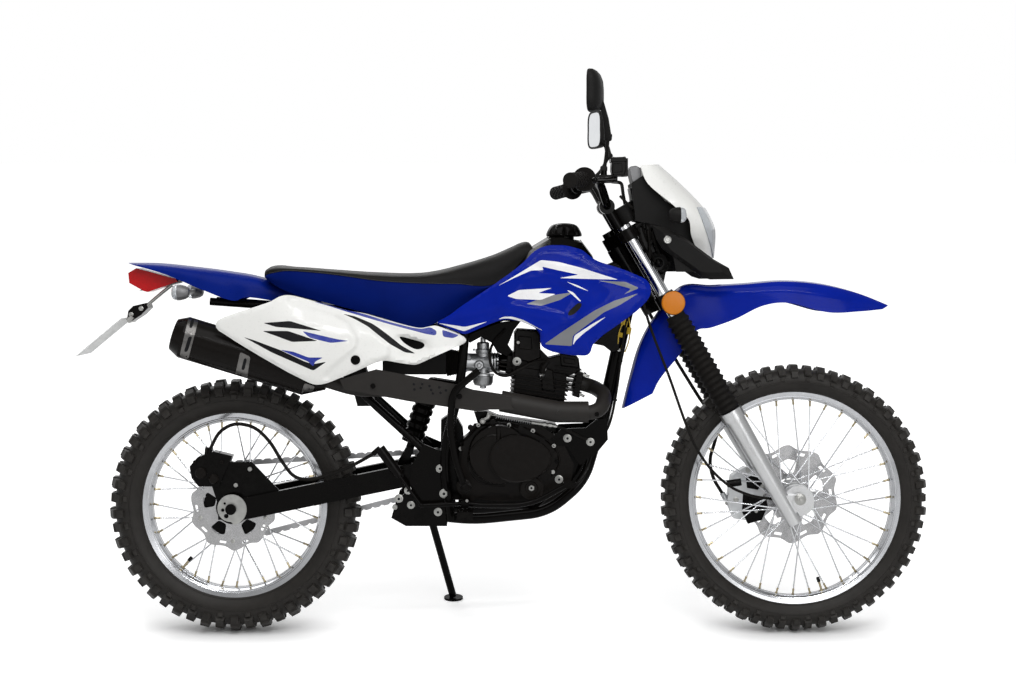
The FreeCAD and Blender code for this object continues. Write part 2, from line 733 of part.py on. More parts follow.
def header_pipe():
    tail = Vector(muffler_tail_x, -muffler_side, muffler_tail_z)
    nose = Vector(muffler_nose_x, -muffler_side, muffler_nose_z)
    way = (nose - tail).normalize()
    rise = (fin_count + 1) * fin_pitch + port_rise
    port = on_cylinder(fin_half_length + overrun, -port_side, rise)
    out = on_cylinder(fin_half_length + 3 * pipe_radius, -port_side, rise)
    path = [port, out, Vector(pipe_bend_x, -pipe_out + 3 * pipe_radius, pipe_bend_z),
            Vector(pipe_elbow_x, -pipe_out, pipe_elbow_z), Vector(pipe_front_x, -pipe_out, pipe_front_z),
            Vector(pipe_back_x, -pipe_out, pipe_back_z), Vector(pipe_tail_x, -pipe_out, pipe_tail_z),
            nose + way * 4 * pipe_radius, nose]
    return tube(path, pipe_radius)


shield_length = 440.0
shield_height = 116.0
shield_x = -1175.0
shield_z = 577.0
shield_out = 178.0
sleeve_radius = 27.0
lug_radius = 6.0
shield_shares = [(0.0, 0.776), (0.21, 1.0), (0.686, 0.655), (0.79, 0.526), (0.95, 0.43), (1.0, 0.12),
                 (0.86, 0.121), (0.793, 0.078), (0.661, 0.155), (0.398, 0.302), (0.118, 0.5), (0.027, 0.552)]


def heat_shield():
    """The flat cover over the pipe's outer side, and the sleeve round the pipe's front that it runs into."""
    shape = outline(shield_shares, (shield_x, shield_z), (shield_length, shield_height))
    flat = plate(shape, -shield_out, sheet - shield_out)
    front = Vector(pipe_elbow_x - sleeve_radius, -pipe_out, pipe_front_z)
    middle = Vector(pipe_front_x, -pipe_out, pipe_front_z)
    back = Vector(pipe_back_x, -pipe_out, pipe_back_z)
    half = (back + middle) / 2

    def run(radius, spare):
        ahead = (front - middle).normalize() * spare
        behind = (half - middle).normalize() * spare
        return joined(rod(front + ahead, middle, radius), rod(middle, back + behind, radius),
                      Part.makeSphere(radius, middle))
    sleeve = run(sleeve_radius, 0).cut(run(pipe_radius + overrun, overrun))
    keep = block(pipe_back_x - overrun, front.x + overrun, -shield_out - overrun,
                 sleeve_radius / 2 - pipe_out,
                 pipe_front_z - 3 * sleeve_radius, pipe_back_z + 3 * sleeve_radius)
    lug = block(pipe_back_x - sleeve_radius, pipe_back_x + sleeve_radius, -shield_out,
                -pipe_out - sleeve_radius * 0.8,
                pipe_back_z - sleeve_radius / 2, pipe_back_z + sleeve_radius / 2)
    feet = [cross_rod(x, z, lug_radius, -shield_out, -pipe_out) for x, z in
            (((pipe_back_x + pipe_tail_x) / 2, (pipe_back_z + pipe_tail_z) / 2),
             (pipe_front_x, pipe_front_z))]
    return joined(flat, sleeve.common(keep), lug, *feet)


# Tank, its cap and the shrouds
tank_front = -526.0
tank_rear = -898.0
tank_half = 128.0
tank_bottom = 812.0
tank_top = 1036.0
tank_ring_shares = [(0.0, 0.0), (0.70, 0.0), (0.98, 0.18), (1.0, 0.50), (0.88, 0.80), (0.55, 0.96),
                    (0.0, 1.0)]
tank_station_shares = [(0.0, 0.55, 0.10), (0.22, 0.80, 0.30), (0.40, 0.95, 0.52), (0.56, 1.0, 0.85),
                       (0.70, 1.0, 0.99), (0.78, 0.98, 1.0), (0.92, 0.80, 0.94), (1.0, 0.55, 0.76)]
cap_x = -600.0
cap_radius = 46.0
cap_height = 33.0
cap_waves = 8
cap_wave_height = 4.0


def fuel_tank():
    sections = []
    for along, wide, tall in tank_station_shares:
        x = tank_rear + along * (tank_front - tank_rear)
        half = tank_half * wide
        height = (tank_top - tank_bottom) * tall
        right = [Vector(x, -half * u, tank_bottom + height * v) for u, v in tank_ring_shares]
        left = [Vector(p.x, -p.y, p.z) for p in right[1:-1]]
        sections.append(right + left[::-1])
    return loft(sections)


def fuel_cap():
    points = []
    steps = cap_waves * 6
    for i in range(steps):
        turn = 2 * math.pi * i / steps
        reach = cap_radius - cap_wave_height * (1 + math.cos(cap_waves * turn)) / 2
        points.append(Vector(cap_x + reach * math.cos(turn), reach * math.sin(turn), tank_top - cap_height))
    return face_of(points).extrude(Vector(0, 0, 2 * cap_height))


shroud_x = -936.0
shroud_z = 726.0
shroud_length = 547.0
shroud_height = 279.0
shroud_out = 186.0
peg_radius = 5.0
shroud_peg_shares = [(0.614, 0.731, 0.917), (0.431, 0.803, 0.844)]
shroud_shares = [(0.450, 0.985), (0.528, 1.0), (0.654, 0.993), (0.689, 0.943), (0.739, 0.875),
                 (0.848, 0.785),
                 (0.969, 0.688), (0.989, 0.659), (1.0, 0.570), (0.989, 0.502), (0.929, 0.394),
                 (0.828, 0.237),
                 (0.750, 0.129), (0.724, 0.111), (0.722, 0.007), (0.649, 0.0), (0.539, 0.043),
                 (0.470, 0.082),
                 (0.505, 0.179), (0.494, 0.229), (0.399, 0.287), (0.309, 0.294), (0.199, 0.229),
                 (0.150, 0.190),
                 (0.101, 0.237), (0.0, 0.287), (0.150, 0.473), (0.309, 0.688), (0.410, 0.846)]
shroud_station_shares = [(-0.05, 0.60, 0.66), (0.30, 0.72, 0.90), (0.55, 0.76, 0.98), (0.80, 0.88, 1.0),
                         (1.05, 0.94, 0.96)]


def tank_shroud():
    """The right shroud: a skin that bulges from the tank's top, cut to its outline, on two pegs to the tank."""
    stations = []
    for along, top_share, out_share in shroud_station_shares:
        x = shroud_x + along * shroud_length
        line = [(shroud_out * top_share, shroud_z + shroud_height * 1.05),
                (shroud_out * (0.35 * top_share + 0.65 * out_share), shroud_z + shroud_height * 0.75),
                (shroud_out * out_share, shroud_z + shroud_height * 0.45),
                (shroud_out * out_share * 0.90, shroud_z - shroud_height * 0.05)]
        stations.append((x, line))
    shape = plate(outline(shroud_shares, (shroud_x, shroud_z), (shroud_length, shroud_height)),
                  -2 * shroud_out, 0)
    pegs = [cross_rod(shroud_x + shroud_length * u, shroud_z + shroud_height * v, peg_radius, -shroud_out * out,
                      -shroud_out / 2) for u, v, out in shroud_peg_shares]
    return joined(skin(stations, sheet).common(shape), *pegs)


# Seat
seat_rear = -1382.0
seat_front = -684.0
seat_height = 215.0
seat_low = 805.0
seat_half = 128.0
seat_ring_shares = [(0.92, 0.0), (1.0, 0.45), (0.97, 0.80), (0.80, 0.95), (0.40, 1.0), (0.0, 1.0)]
# Each row is the share along the seat, the side's lower edge, the top, and the half width
seat_station_shares = [(0.0, 0.52, 0.57, 0.72), (0.05, 0.46, 0.705, 0.88), (0.25, 0.24, 0.675, 1.0),
                       (0.45, 0.10, 0.63, 1.0), (0.60, 0.0, 0.625, 0.90), (0.72, 0.16, 0.70, 0.76),
                       (0.83, 0.42, 0.81, 0.62), (0.93, 0.62, 0.95, 0.55), (1.0, 0.90, 0.985, 0.50)]


def seat():
    sections = []
    for along, low, top, wide in seat_station_shares:
        x = seat_rear + along * (seat_front - seat_rear)
        z_low = seat_low + seat_height * low
        rise = seat_height * (top - low)
        half = seat_half * wide
        right = [Vector(x, -half * u, z_low + rise * v) for u, v in seat_ring_shares]
        left = [Vector(p.x, -p.y, p.z) for p in right[:-1]]
        sections.append(right + left[::-1])
    return loft(sections)


# Side panels
panel_x = -1489.0
panel_z = 654.0
panel_length = 637.0
panel_height = 228.0
panel_out = 196.0
panel_peg_shares = [(0.4537, 0.8031, 0.8255), (0.2967, 0.8408, 0.8735)]
panel_shares = [(0.0, 0.649), (0.008, 0.689), (0.047, 0.746), (0.151, 0.851), (0.243, 0.939), (0.275, 0.991),
                (0.308, 1.0), (0.355, 0.969), (0.515, 0.864), (0.655, 0.763), (0.782, 0.654), (0.826, 0.636),
                (0.863, 0.667), (0.997, 0.509), (1.0, 0.496), (0.813, 0.215), (0.768, 0.219), (0.677, 0.268),
                (0.655, 0.289), (0.557, 0.171), (0.463, 0.057), (0.411, 0.0), (0.370, 0.018), (0.267, 0.132),
                (0.151, 0.298), (0.069, 0.452), (0.011, 0.575)]
panel_hole_shares = [(0.727, 0.535), (0.832, 0.478), (0.827, 0.430), (0.804, 0.404)]
panel_station_shares = [(-0.05, 0.93, 1.0), (0.20, 0.86, 1.0), (0.50, 0.66, 0.97), (0.80, 0.62, 0.86),
                        (1.05, 0.60, 0.80)]


def side_panel():
    """The right panel: it flares over the silencer, has a three-sided hole, and two pegs to the rail."""
    stations = []
    for along, top_share, out_share in panel_station_shares:
        x = panel_x + along * panel_length
        line = [(panel_out * top_share, panel_z + panel_height * 1.08),
                (panel_out * (0.4 * top_share + 0.6 * out_share), panel_z + panel_height * 0.75),
                (panel_out * out_share, panel_z + panel_height * 0.40),
                (panel_out * out_share, panel_z - panel_height * 0.08)]
        stations.append((x, line))
    size = (panel_length, panel_height)
    shape = plate(outline(panel_shares, (panel_x, panel_z), size), -2 * panel_out, 0)
    hole = plate(outline(panel_hole_shares, (panel_x, panel_z), size), -2 * panel_out, 0)
    pegs = [cross_rod(panel_x + panel_length * u, panel_z + panel_height * v, peg_radius, -panel_out * out,
                      -rail_half) for u, v, out in panel_peg_shares]
    return joined(skin(stations, sheet).common(shape).cut(hole), *pegs)


# Fenders: rows of spine x and z, edge x and z, and half width, as shares of the fender's own box
fender_ring_shares = [(0.0, 0.0), (0.55, 0.03), (0.85, 0.22), (0.96, 0.60), (1.0, 1.0)]
rear_fender_x = -1733.0
rear_fender_z = 590.0
rear_fender_length = 640.0
rear_fender_height = 372.0
rear_fender_half = 92.0
rear_fender_shares = [(0.0, 1.0, 0.028, 0.985, 0.78), (0.13, 0.995, 0.16, 0.92, 0.90),
                      (0.29, 0.965, 0.30, 0.82, 1.0),
                      (0.41, 0.938, 0.43, 0.74, 1.0), (0.53, 0.90, 0.50, 0.76, 0.98),
                      (0.70, 0.80, 0.66, 0.70, 0.60),
                      (0.86, 0.60, 0.80, 0.55, 0.55), (0.95, 0.32, 0.88, 0.30, 0.55),
                      (1.0, 0.0, 0.93, 0.0, 0.55)]


def rear_fender():
    stations = [(rear_fender_x + a * rear_fender_length, rear_fender_z + b * rear_fender_height,
                 rear_fender_x + c * rear_fender_length, rear_fender_z + d * rear_fender_height,
                 rear_fender_half * e) for a, b, c, d, e in rear_fender_shares]
    return channel(stations, sheet, fender_ring_shares)


def rear_fender_core():
    """The fender's outer form filled in, which the seat lies on."""
    sections = []
    for a, b, c, d, e in rear_fender_shares:
        spine = Vector(rear_fender_x + a * rear_fender_length, 0, rear_fender_z + b * rear_fender_height)
        drop = Vector(rear_fender_x + c * rear_fender_length, 0,
                      rear_fender_z + d * rear_fender_height) - spine
        right = [spine + drop * v + Vector(0, u * rear_fender_half * e, 0) for u, v in fender_ring_shares]
        left = [Vector(p.x, -p.y, p.z) for p in right[1:]]
        sections.append(left[::-1] + right)
    return loft(sections)


front_fender_x = -448.0
front_fender_z = 582.0
front_fender_length = 692.0
front_fender_height = 336.0
front_fender_half = 74.0
front_fender_shares = [(0.0, 0.0, 0.11, 0.12, 0.55), (0.03, 0.25, 0.14, 0.24, 0.60),
                       (0.065, 0.49, 0.21, 0.42, 0.65),
                       (0.12, 0.70, 0.27, 0.60, 0.68), (0.22, 0.945, 0.33, 0.63, 0.70),
                       (0.34, 0.955, 0.42, 0.70, 0.76),
                       (0.46, 0.97, 0.52, 0.80, 0.90), (0.60, 0.99, 0.62, 0.82, 1.0),
                       (0.74, 0.97, 0.76, 0.75, 1.0),
                       (0.88, 0.90, 0.88, 0.755, 0.85), (1.0, 0.80, 0.975, 0.77, 0.45)]


def front_fender():
    stations = [(front_fender_x + a * front_fender_length, front_fender_z + b * front_fender_height,
                 front_fender_x + c * front_fender_length, front_fender_z + d * front_fender_height,
                 front_fender_half * e) for a, b, c, d, e in front_fender_shares]
    return channel(stations, sheet, fender_ring_shares)


# Tail lamp, plate and rear indicators
lamp_half = 48.0
lamp_x = -1734.0
lamp_z = 886.0
lamp_length = 130.0
lamp_height = 62.0
lamp_shares = [(0.01, 0.80), (0.17, 1.0), (0.95, 0.56), (1.0, 0.44), (0.40, 0.0), (0.32, 0.04), (0.03, 0.38)]
plate_way = math.radians(45.0)
plate_top_x = -1744.0
plate_top_z = 819.0
plate_length = 150.0
plate_half = 95.0
plate_thickness = 2.0
plate_hole = 3.5
plate_hole_spread = 60.0
plate_hole_drop = 25.0
bracket_half = 14.0
neck_front_rise = 62.4
neck_rear_rise = 65.8
indicator_radius = 20.0
indicator_stem = 6.0
rear_indicator_x = -1586.0
rear_indicator_z = 886.0
rear_indicator_out = 105.0


def tail_lamp():
    return plate(outline(lamp_shares, (lamp_x, lamp_z), (lamp_length, lamp_height)), -lamp_half, lamp_half)


plate_along = Vector(-math.sin(plate_way) * 1.2, 0, -math.cos(plate_way)).normalize()
plate_out = Vector(plate_along.z, 0, -plate_along.x)


def plate_spot(along, y, out):
    place = Vector(plate_top_x, 0, plate_top_z) + plate_along * along - plate_out * out
    return Vector(place.x, y, place.z)


def number_plate():
    corners = [plate_spot(0, -plate_half, 0), plate_spot(0, plate_half, 0),
               plate_spot(plate_length, plate_half, 0), plate_spot(plate_length, -plate_half, 0)]
    whole = face_of(corners).extrude(plate_out * -plate_thickness)
    holes = [Part.makeCylinder(plate_hole, 4 * plate_thickness,
                               plate_spot(plate_hole_drop, y, -2 * plate_thickness),
                               plate_out * -1) for y in (-plate_hole_spread, plate_hole_spread)]
    return whole.cut(holes)


def plate_bracket():
    """The arm from under the fender, past the tail lamp, to the back of the number plate."""
    front = rear_indicator_x + 2 * indicator_stem
    under = [plate_spot(0, 0, -seam), plate_spot(plate_length * 0.9, 0, -seam)]
    arm = [(under[0].x, under[0].z), (under[1].x, under[1].z),
           (under[1].x + bracket_half, under[1].z), (under[0].x + 2 * bracket_half,
                                                     under[0].z - bracket_half),
           (lamp_x + lamp_length * 0.75, lamp_z - bracket_half / 2),
           (front, rear_indicator_z - bracket_half), (front, lamp_z + neck_front_rise),
           (lamp_x + lamp_length + seam, lamp_z + neck_rear_rise),
           (lamp_x + lamp_length + seam, lamp_z + lamp_height / 2),
           (lamp_x + lamp_length * 0.42, lamp_z + lamp_height * 0.1)]
    return plate(arm, -bracket_half, bracket_half)


def indicator(x, z, out, foot):
    """A small lamp on a stalk, on the right."""
    lamp = rod(Vector(x - indicator_radius, -out - indicator_radius, z),
               Vector(x + indicator_radius, -out - indicator_radius, z), indicator_radius)
    stem = rod(Vector(x, -foot, z), Vector(x, -out - indicator_radius, z), indicator_stem)
    return joined(lamp, stem)


# Drive chain and front sprocket
front_sprocket_x = -840.0
front_sprocket_z = 428.0
front_sprocket_radius = 34.0
front_sprocket_teeth = 14
chain_width = 12.0
chain_depth = 14.0
chain_waist = 4.0
chain_clearance = 1.5
chain_link_pairs = 67


def drive_chain():
    """The loop round both sprockets, wider at each outer link plate, and the front sprocket inside it."""
    front = Vector(front_sprocket_x, chain_place, front_sprocket_z)
    rear = Vector(rear_centre.x, chain_place, rear_centre.z)
    way = front - rear
    span = way.Length
    way.normalize()
    across = Vector(-way.z, 0, way.x)
    inner = sprocket_radius + chain_clearance
    small = front_sprocket_radius + seam
    tilt = math.asin((inner - small) / span)
    up = across * math.cos(tilt) + way * math.sin(tilt)
    low = across * -math.cos(tilt) + way * math.sin(tilt)
    straight = span * math.cos(tilt)
    front_turn = math.pi - 2 * tilt
    rear_turn = math.pi + 2 * tilt

    def place(share, lift):
        """A point the given share of the way round the loop, lifted off its inner edge."""
        at = share * (2 * straight + small * front_turn + inner * rear_turn)
        if at < straight:
            return rear + up * (inner + lift) + (front + up * small - rear - up * inner) * (at / straight)
        at -= straight
        if at < small * front_turn:
            turn = at / small
            return front + (up * math.cos(turn) + up.cross(Vector(0, 1,
                                                                  0)) * -math.sin(turn)) * (small + lift)
        at -= small * front_turn
        if at < straight:
            return front + low * (small + lift) + (rear + low * inner - front - low * small) * (at / straight)
        turn = (at - straight) / inner
        return rear + (low * math.cos(turn) + low.cross(Vector(0, 1, 0)) * -math.sin(turn)) * (inner + lift)

    outer = []
    for i in range(chain_link_pairs):
        for along, lift in ((0.0, chain_depth), (0.5, chain_depth), (0.75, chain_depth - chain_waist)):
            outer.append(place((i + along) / chain_link_pairs, lift))
    a, b = rear + up * inner, front + up * small
    c, d = front + low * small, rear + low * inner
    edges = [Part.LineSegment(a, b).toShape(), Part.Arc(b, front + way * small, c).toShape(),
             Part.LineSegment(c, d).toShape(), Part.Arc(d, rear - way * inner, a).toShape()]
    ring = face_of(outer).cut(Part.Face(Part.Wire(edges)))
    ring.translate(Vector(0, -chain_width / 2, 0))
    return ring.extrude(Vector(0, chain_width, 0))


# Foot controls: the pedal's and lever's places are at their middle lines
peg_x = -858.0
peg_z = 326.0
peg_width = 40.0
peg_height = 26.0
peg_inner = 128.0
peg_outer = 232.0
peg_grooves = 4
pedal_out = 150.0
pedal_radius = 7.0
pedal_pivot_z = 350.0
pedal_dip_x = -818.0
pedal_low_x = -693.0
pedal_low_z = 346.0
pedal_tip_x = -598.0
pedal_tip_z = 398.0
pedal_pad_length = 32.0
pedal_pad_height = 14.0
pedal_pad_width = 28.0
gear_shaft_x = -758.0
gear_shaft_z = 392.0
gear_tip_x = -628.0
gear_tip_z = 402.0
kick_out = 190.0
kick_radius = 9.0
kick_z = 392.0
kick_path = [(-884.0, 467.0), (-896.0, 543.0), (-890.0, 636.0), (-823.0, 691.0)]
master_out = 148.0
master_radius = 13.0
master_top_x = -1075.0
master_top_z = 491.0
master_low_x = -1025.0
master_low_z = 421.0
master_foot_x = -970.0
master_foot_z = 345.0


def footpegs():
    """A toothed peg on each side, on its bracket arm."""
    low, high = peg_z - peg_height / 2, peg_z + peg_height / 2
    whole = block(peg_x - peg_width / 2, peg_x + peg_width / 2, -peg_outer, -peg_inner - peg_height, low,
                  high)
    pitch = (peg_outer - peg_inner - peg_height) / (peg_grooves + 1)
    cuts = [block(peg_x - peg_width, peg_x + peg_width, -peg_outer + pitch * (i + 0.8),
                  -peg_outer + pitch * (i + 1.2),
                  high - peg_height / 4, high + overrun) for i in range(peg_grooves)]
    hollow = block(peg_x - peg_width / 2 + overrun, peg_x + peg_width / 2 - overrun, -peg_outer + overrun,
                   -peg_inner - peg_height - overrun, low - overrun, high - peg_height / 2)
    arm = cross_rod(peg_x, peg_z, peg_height / 3, -peg_inner - 2 * peg_height,
                    -gusset_inner - gusset_thickness)
    root = rod(Vector(peg_x, -gusset_inner - gusset_thickness, peg_z), Vector(peg_x, -cradle_half, cradle_back_z),
               peg_height / 3)
    return both_sides(joined(whole.cut(cuts + [hollow]), arm, root))


def foot_controls():
    """The brake pedal with its master cylinder on the right, and the gear lever on the left."""
    wide = pedal_radius * 1.4
    pedal = tube([Vector(peg_x, -pedal_out, pedal_pivot_z), Vector(pedal_dip_x, -pedal_out, pedal_low_z),
                  Vector(pedal_low_x, -pedal_out, pedal_low_z),
                  Vector(pedal_tip_x, -pedal_out, pedal_tip_z)],
                 pedal_radius)
    pad = block(pedal_tip_x - pedal_pad_length / 3, pedal_tip_x + 2 * pedal_pad_length / 3,
                -pedal_out - pedal_pad_width + wide, wide - pedal_out,
                pedal_tip_z - pedal_pad_height / 2, pedal_tip_z + pedal_pad_height / 2)
    pivot = cross_rod(peg_x, pedal_pivot_z, pedal_radius * 1.5, -pedal_out - wide,
                      -gusset_inner - gusset_thickness)
    top = Vector(master_top_x, -master_out, master_top_z)
    low = Vector(master_low_x, -master_out, master_low_z)
    foot = Vector(master_foot_x, -master_out, master_foot_z)
    link = rod(foot, Vector(peg_x, -master_out, pedal_pivot_z), pedal_radius * 0.8)
    bracket = cross_rod(low.x, low.z, master_radius * 0.8, -master_out, -gusset_inner + seam)
    right = joined(pedal, pad, pivot, rod(top, low, master_radius), rod(low, foot, master_radius / 3), link,
                   Part.makeSphere(pedal_radius, foot), bracket,
                   rod(top, hose_end, rear_hose_radius * 1.5))
    shaft = cross_rod(gear_shaft_x, gear_shaft_z, pedal_radius * 1.3, case_left, pedal_out + wide)
    lever = rod(Vector(gear_shaft_x, pedal_out, gear_shaft_z), Vector(gear_tip_x, pedal_out, gear_tip_z),
                pedal_radius)
    tip = cross_rod(gear_tip_x, gear_tip_z, pedal_radius * 1.3, pedal_out - wide,
                    pedal_out + 5 * pedal_radius)
    return Part.makeCompound([right, joined(shaft, lever, tip)])


def kick_lever():
    path = [Vector(peg_x, -kick_out, kick_z)] + [Vector(x, -kick_out, z) for x, z in kick_path]
    pivot = cross_rod(peg_x, kick_z, kick_radius * 1.3, -kick_out - kick_radius * 1.4,
                      -case_half - cover_depth)
    return joined(tube(path, kick_radius, 0.3), pivot)


# Rear caliper, its carrier plate and the rear brake hose
caliper_box_x = -109.0
caliper_box_z = 56.0
caliper_length = 110.0
caliper_height = 90.0
caliper_outer = 26.0
caliper_inner = 17.0
caliper_shares = [(0.0, 0.57), (0.19, 0.84), (0.56, 1.0), (0.81, 0.93), (1.0, 0.87), (0.68, 0.0),
                  (0.21, 0.0),
                  (0.05, 0.24)]
carrier_length = 156.0
carrier_height = 140.0
carrier_shares = [(0.0, 0.0), (0.30, 0.0), (0.36, 0.18), (1.0, 0.42), (0.50, 1.0), (0.10, 1.0),
                  (-0.18, 0.62)]
carrier_back = 28.0
carrier_low = 22.0
rear_hose_radius = 4.5
rear_hose_end_x = -1092.0
rear_hose_route = [(-0.1530, -86, 484), (-0.0929, -87, 528), (0.0164, -88, 550), (0.1585, -90, 541),
                   (0.2678, -91, 503), (0.3552, -92, 448), (0.4372, -92, 409), (0.5601, -95, 403),
                   (0.6831, -106, 419), (0.8142, -122, 437), (0.9180, -138, 458), (1.0000, -146, 476)]
rear_hose_path = [Vector(rear_centre.x + u * (rear_hose_end_x - rear_centre.x), y, z)
                  for u, y, z in rear_hose_route]
hose_end = rear_hose_path[-1]


def rear_caliper():
    """The caliper round the disc's edge, and the plate from the arm that carries it."""
    centre = rear_centre
    corner = (centre.x + caliper_box_x, centre.z + caliper_box_z)
    body = plate(outline(caliper_shares, corner, (caliper_length, caliper_height)),
                 -rear_disc_place - caliper_outer, caliper_inner - rear_disc_place)
    slot = cross_rod(centre.x, centre.z, rear_disc_radius + 2 * disc_clearance,
                     -rear_disc_place - disc_thickness / 2 - disc_clearance,
                     disc_thickness / 2 + disc_clearance - rear_disc_place)
    carrier = plate(outline(carrier_shares, (centre.x - carrier_back, centre.z - carrier_low),
                            (carrier_length, carrier_height)), -arm_inner + seam,
                            carrier_thickness - arm_inner)
    bore = cross_rod(centre.x, centre.z, rear_axle_radius, -arm_outer, carrier_thickness * 2 - arm_inner)
    way = (rear_hose_path[0] - rear_hose_path[1]).normalize()
    banjo = rod(rear_hose_path[0], rear_hose_path[0] + way * 5 * rear_hose_radius, rear_hose_radius * 1.6)
    return joined(body.cut(slot), carrier, banjo.cut(slot)).cut(bore)


def hose(path, radius):
    return tube(path, radius)


# Fork
fork_ahead = 38.0
fork_half = 92.0
stanchion_radius = 17.5
stanchion_rise = 8.0
boot_top = 575.0
boot_bottom = 290.0
boot_radius = 31.0
boot_waist = 25.0
boot_folds = 17
leg_top = 290.0
leg_bottom = -45.0
leg_top_radius = 26.0
leg_foot_radius = 20.0
collar_radius = 31.0
collar_height = 25.0
top_clamp = head_top + seam * 2
clamp_ear = 27.0
stem_nut = 13.0
axle_boss = 19.0
stanchion_top = top_clamp + clamp_thickness + stanchion_rise


def fork_clamps():
    """The stem with its lower race and top nut, and both clamps."""
    reach = clamp_ear * 0.7

    def clamp(up):
        ears = [rod(on_fork(fork_ahead, y, up), on_fork(fork_ahead, y, up + clamp_thickness), clamp_ear)
                for y in (-fork_half, fork_half)]
        middle = rod(on_fork(0, 0, up), on_fork(0, 0, up + clamp_thickness), clamp_ear * 0.9)
        corners = [on_fork(fork_ahead + reach, -fork_half, up), on_fork(fork_ahead + reach, fork_half, up),
                   on_fork(fork_ahead - reach, fork_half, up), on_fork(-reach, clamp_ear / 2, up),
                   on_fork(-reach, -clamp_ear / 2, up), on_fork(fork_ahead - reach, -fork_half, up)]
        return joined(face_of(corners).extrude(steer_up * clamp_thickness), *(ears + [middle]))
    holes = [rod(on_fork(fork_ahead, y, low_clamp - overrun),
                 on_fork(fork_ahead, y, stanchion_top + overrun),
                 stanchion_radius + seam) for y in (-fork_half, fork_half)]
    stem = rod(on_fork(0, 0, low_clamp), on_fork(0, 0, top_clamp + clamp_thickness + stem_nut), stem_radius)
    race = rod(on_fork(0, 0, low_clamp + clamp_thickness - overrun), on_fork(0, 0, head_bottom - seam),
               head_radius * 0.85)
    return joined(clamp(low_clamp), clamp(top_clamp), stem, race).cut(holes)


def fork_tubes():
    return both_sides(rod(on_fork(fork_ahead, fork_half, leg_top + seam),
                          on_fork(fork_ahead, fork_half, stanchion_top),
                          stanchion_radius))


def fork_boots():
    """Bellows over the sliding tubes."""
    pitch = (boot_top - boot_bottom - collar_height / 2) / boot_folds
    start = boot_bottom + seam
    line = [(stanchion_radius + seam, start)]
    for i in range(boot_folds):
        line += [(boot_waist, start + pitch * i), (boot_radius, start + pitch * (i + 0.5))]
    line += [(boot_waist, start + pitch * boot_folds), (boot_waist, boot_top),
             (stanchion_radius + seam, boot_top)]
    points = [on_fork(fork_ahead + r, fork_half, up) for r, up in line]
    return both_sides(face_of(points).revolve(on_fork(fork_ahead, fork_half, 0), steer_up, 360))


def fork_legs():
    """Tapered lower legs with the collar on top, the axle bosses ahead of them, and the axle itself."""
    pieces = []
    for y in (-fork_half, fork_half):
        pieces.append(taper(on_fork(fork_ahead, y, 0), on_fork(fork_ahead, y, leg_top - collar_height),
                            leg_foot_radius, leg_top_radius))
        pieces.append(rod(on_fork(fork_ahead, y, leg_bottom), on_fork(fork_ahead, y, overrun),
                          leg_foot_radius))
        pieces.append(rod(on_fork(fork_ahead, y, leg_top - collar_height), on_fork(fork_ahead, y, leg_top),
                          collar_radius))
        pieces.append(cross_rod(front_centre.x, front_centre.z, axle_boss, y - leg_foot_radius,
                                y + leg_foot_radius))
        web = [(fork_ahead, leg_foot_radius * 2), (fork_ahead, -leg_foot_radius),
               (steering_offset, -axle_boss * 0.9), (steering_offset + axle_boss * 0.7, axle_boss * 0.6)]
        corners = [on_fork(ahead, y - leg_foot_radius * 0.8, up) for ahead, up in web]
        pieces.append(face_of(corners).extrude(Vector(0, leg_foot_radius * 1.6, 0)))
    end = fork_half + leg_foot_radius
    axle = cross_rod(front_centre.x, front_centre.z, front_axle_radius - seam, -end, end)
    drum = cross_rod(front_centre.x, front_centre.z, speedometer_drum, -fork_half, -front_hub_reach - seam)
    way = (cable_path[-1] - cable_path[-2]).normalize()
    gland = rod(cable_path[-1], cable_path[-1] + way * speedometer_drum / 2, cable_radius * 1.6)
    return joined(axle, drum, gland, *pieces)


# Cowl, lamp, the housing behind them and the side guards
cowl_ring_shares = [(0.0, 0.0), (0.45, 0.06), (0.80, 0.26), (0.96, 0.62), (1.0, 1.0)]
cowl_x = -408.0
cowl_z = 968.0
cowl_length = 198.0
cowl_height = 250.0
cowl_half = 105.0
cowl_station_shares = [(0.98, 0.0, 0.80, 0.02, 0.52), (1.0, 0.28, 0.66, 0.26, 0.88),
                       (0.95, 0.42, 0.62, 0.42, 0.96),
                       (0.83, 0.58, 0.42, 0.57, 1.0), (0.56, 0.80, 0.10, 0.79, 0.88),
                       (0.28, 1.0, 0.01, 0.985, 0.62)]
lens_middle_share = 0.28
lens_shares = [(-0.26, 0.06), (0.26, 0.06), (0.50, 0.20), (0.62, 0.38), (0.58, 0.50), (0.36, 0.56),
               (-0.36, 0.56),
               (-0.58, 0.50), (-0.62, 0.38), (-0.50, 0.20)]
housing_half = 62.6
housing_shares = [(-0.10, 0.80), (0.06, 0.885), (0.33, 0.62), (0.80, 0.42), (0.86, 0.27), (0.82, 0.10),
                  (0.52, 0.10),
                  (0.26, 0.36), (-0.05, 0.41)]


def cowl_shell(thick):
    stations = [(cowl_x + a * cowl_length, cowl_z + b * cowl_height, cowl_x + c * cowl_length,
                 cowl_z + d * cowl_height,
                 cowl_half * e) for a, b, c, d, e in cowl_station_shares]
    return channel(stations, thick, cowl_ring_shares)


def lens_block(inset):
    """The lamp's opening seen from ahead, drawn in by a small gap all round."""
    wide, tall = 1 - inset / (cowl_half / 2), 1 - inset / (cowl_height / 4)
    points = [Vector(cowl_x, cowl_half * u * wide,
                     cowl_z + cowl_height * (lens_middle_share + (v - lens_middle_share) * tall)) for u,
                     v in lens_shares]
    return face_of(points).extrude(Vector(cowl_length * 1.5, 0, 0))


def headlamp_cowl():
    return cowl_shell(sheet).cut(lens_block(0))


def headlamp():
    return cowl_shell(sheet * 2).common(lens_block(seam))


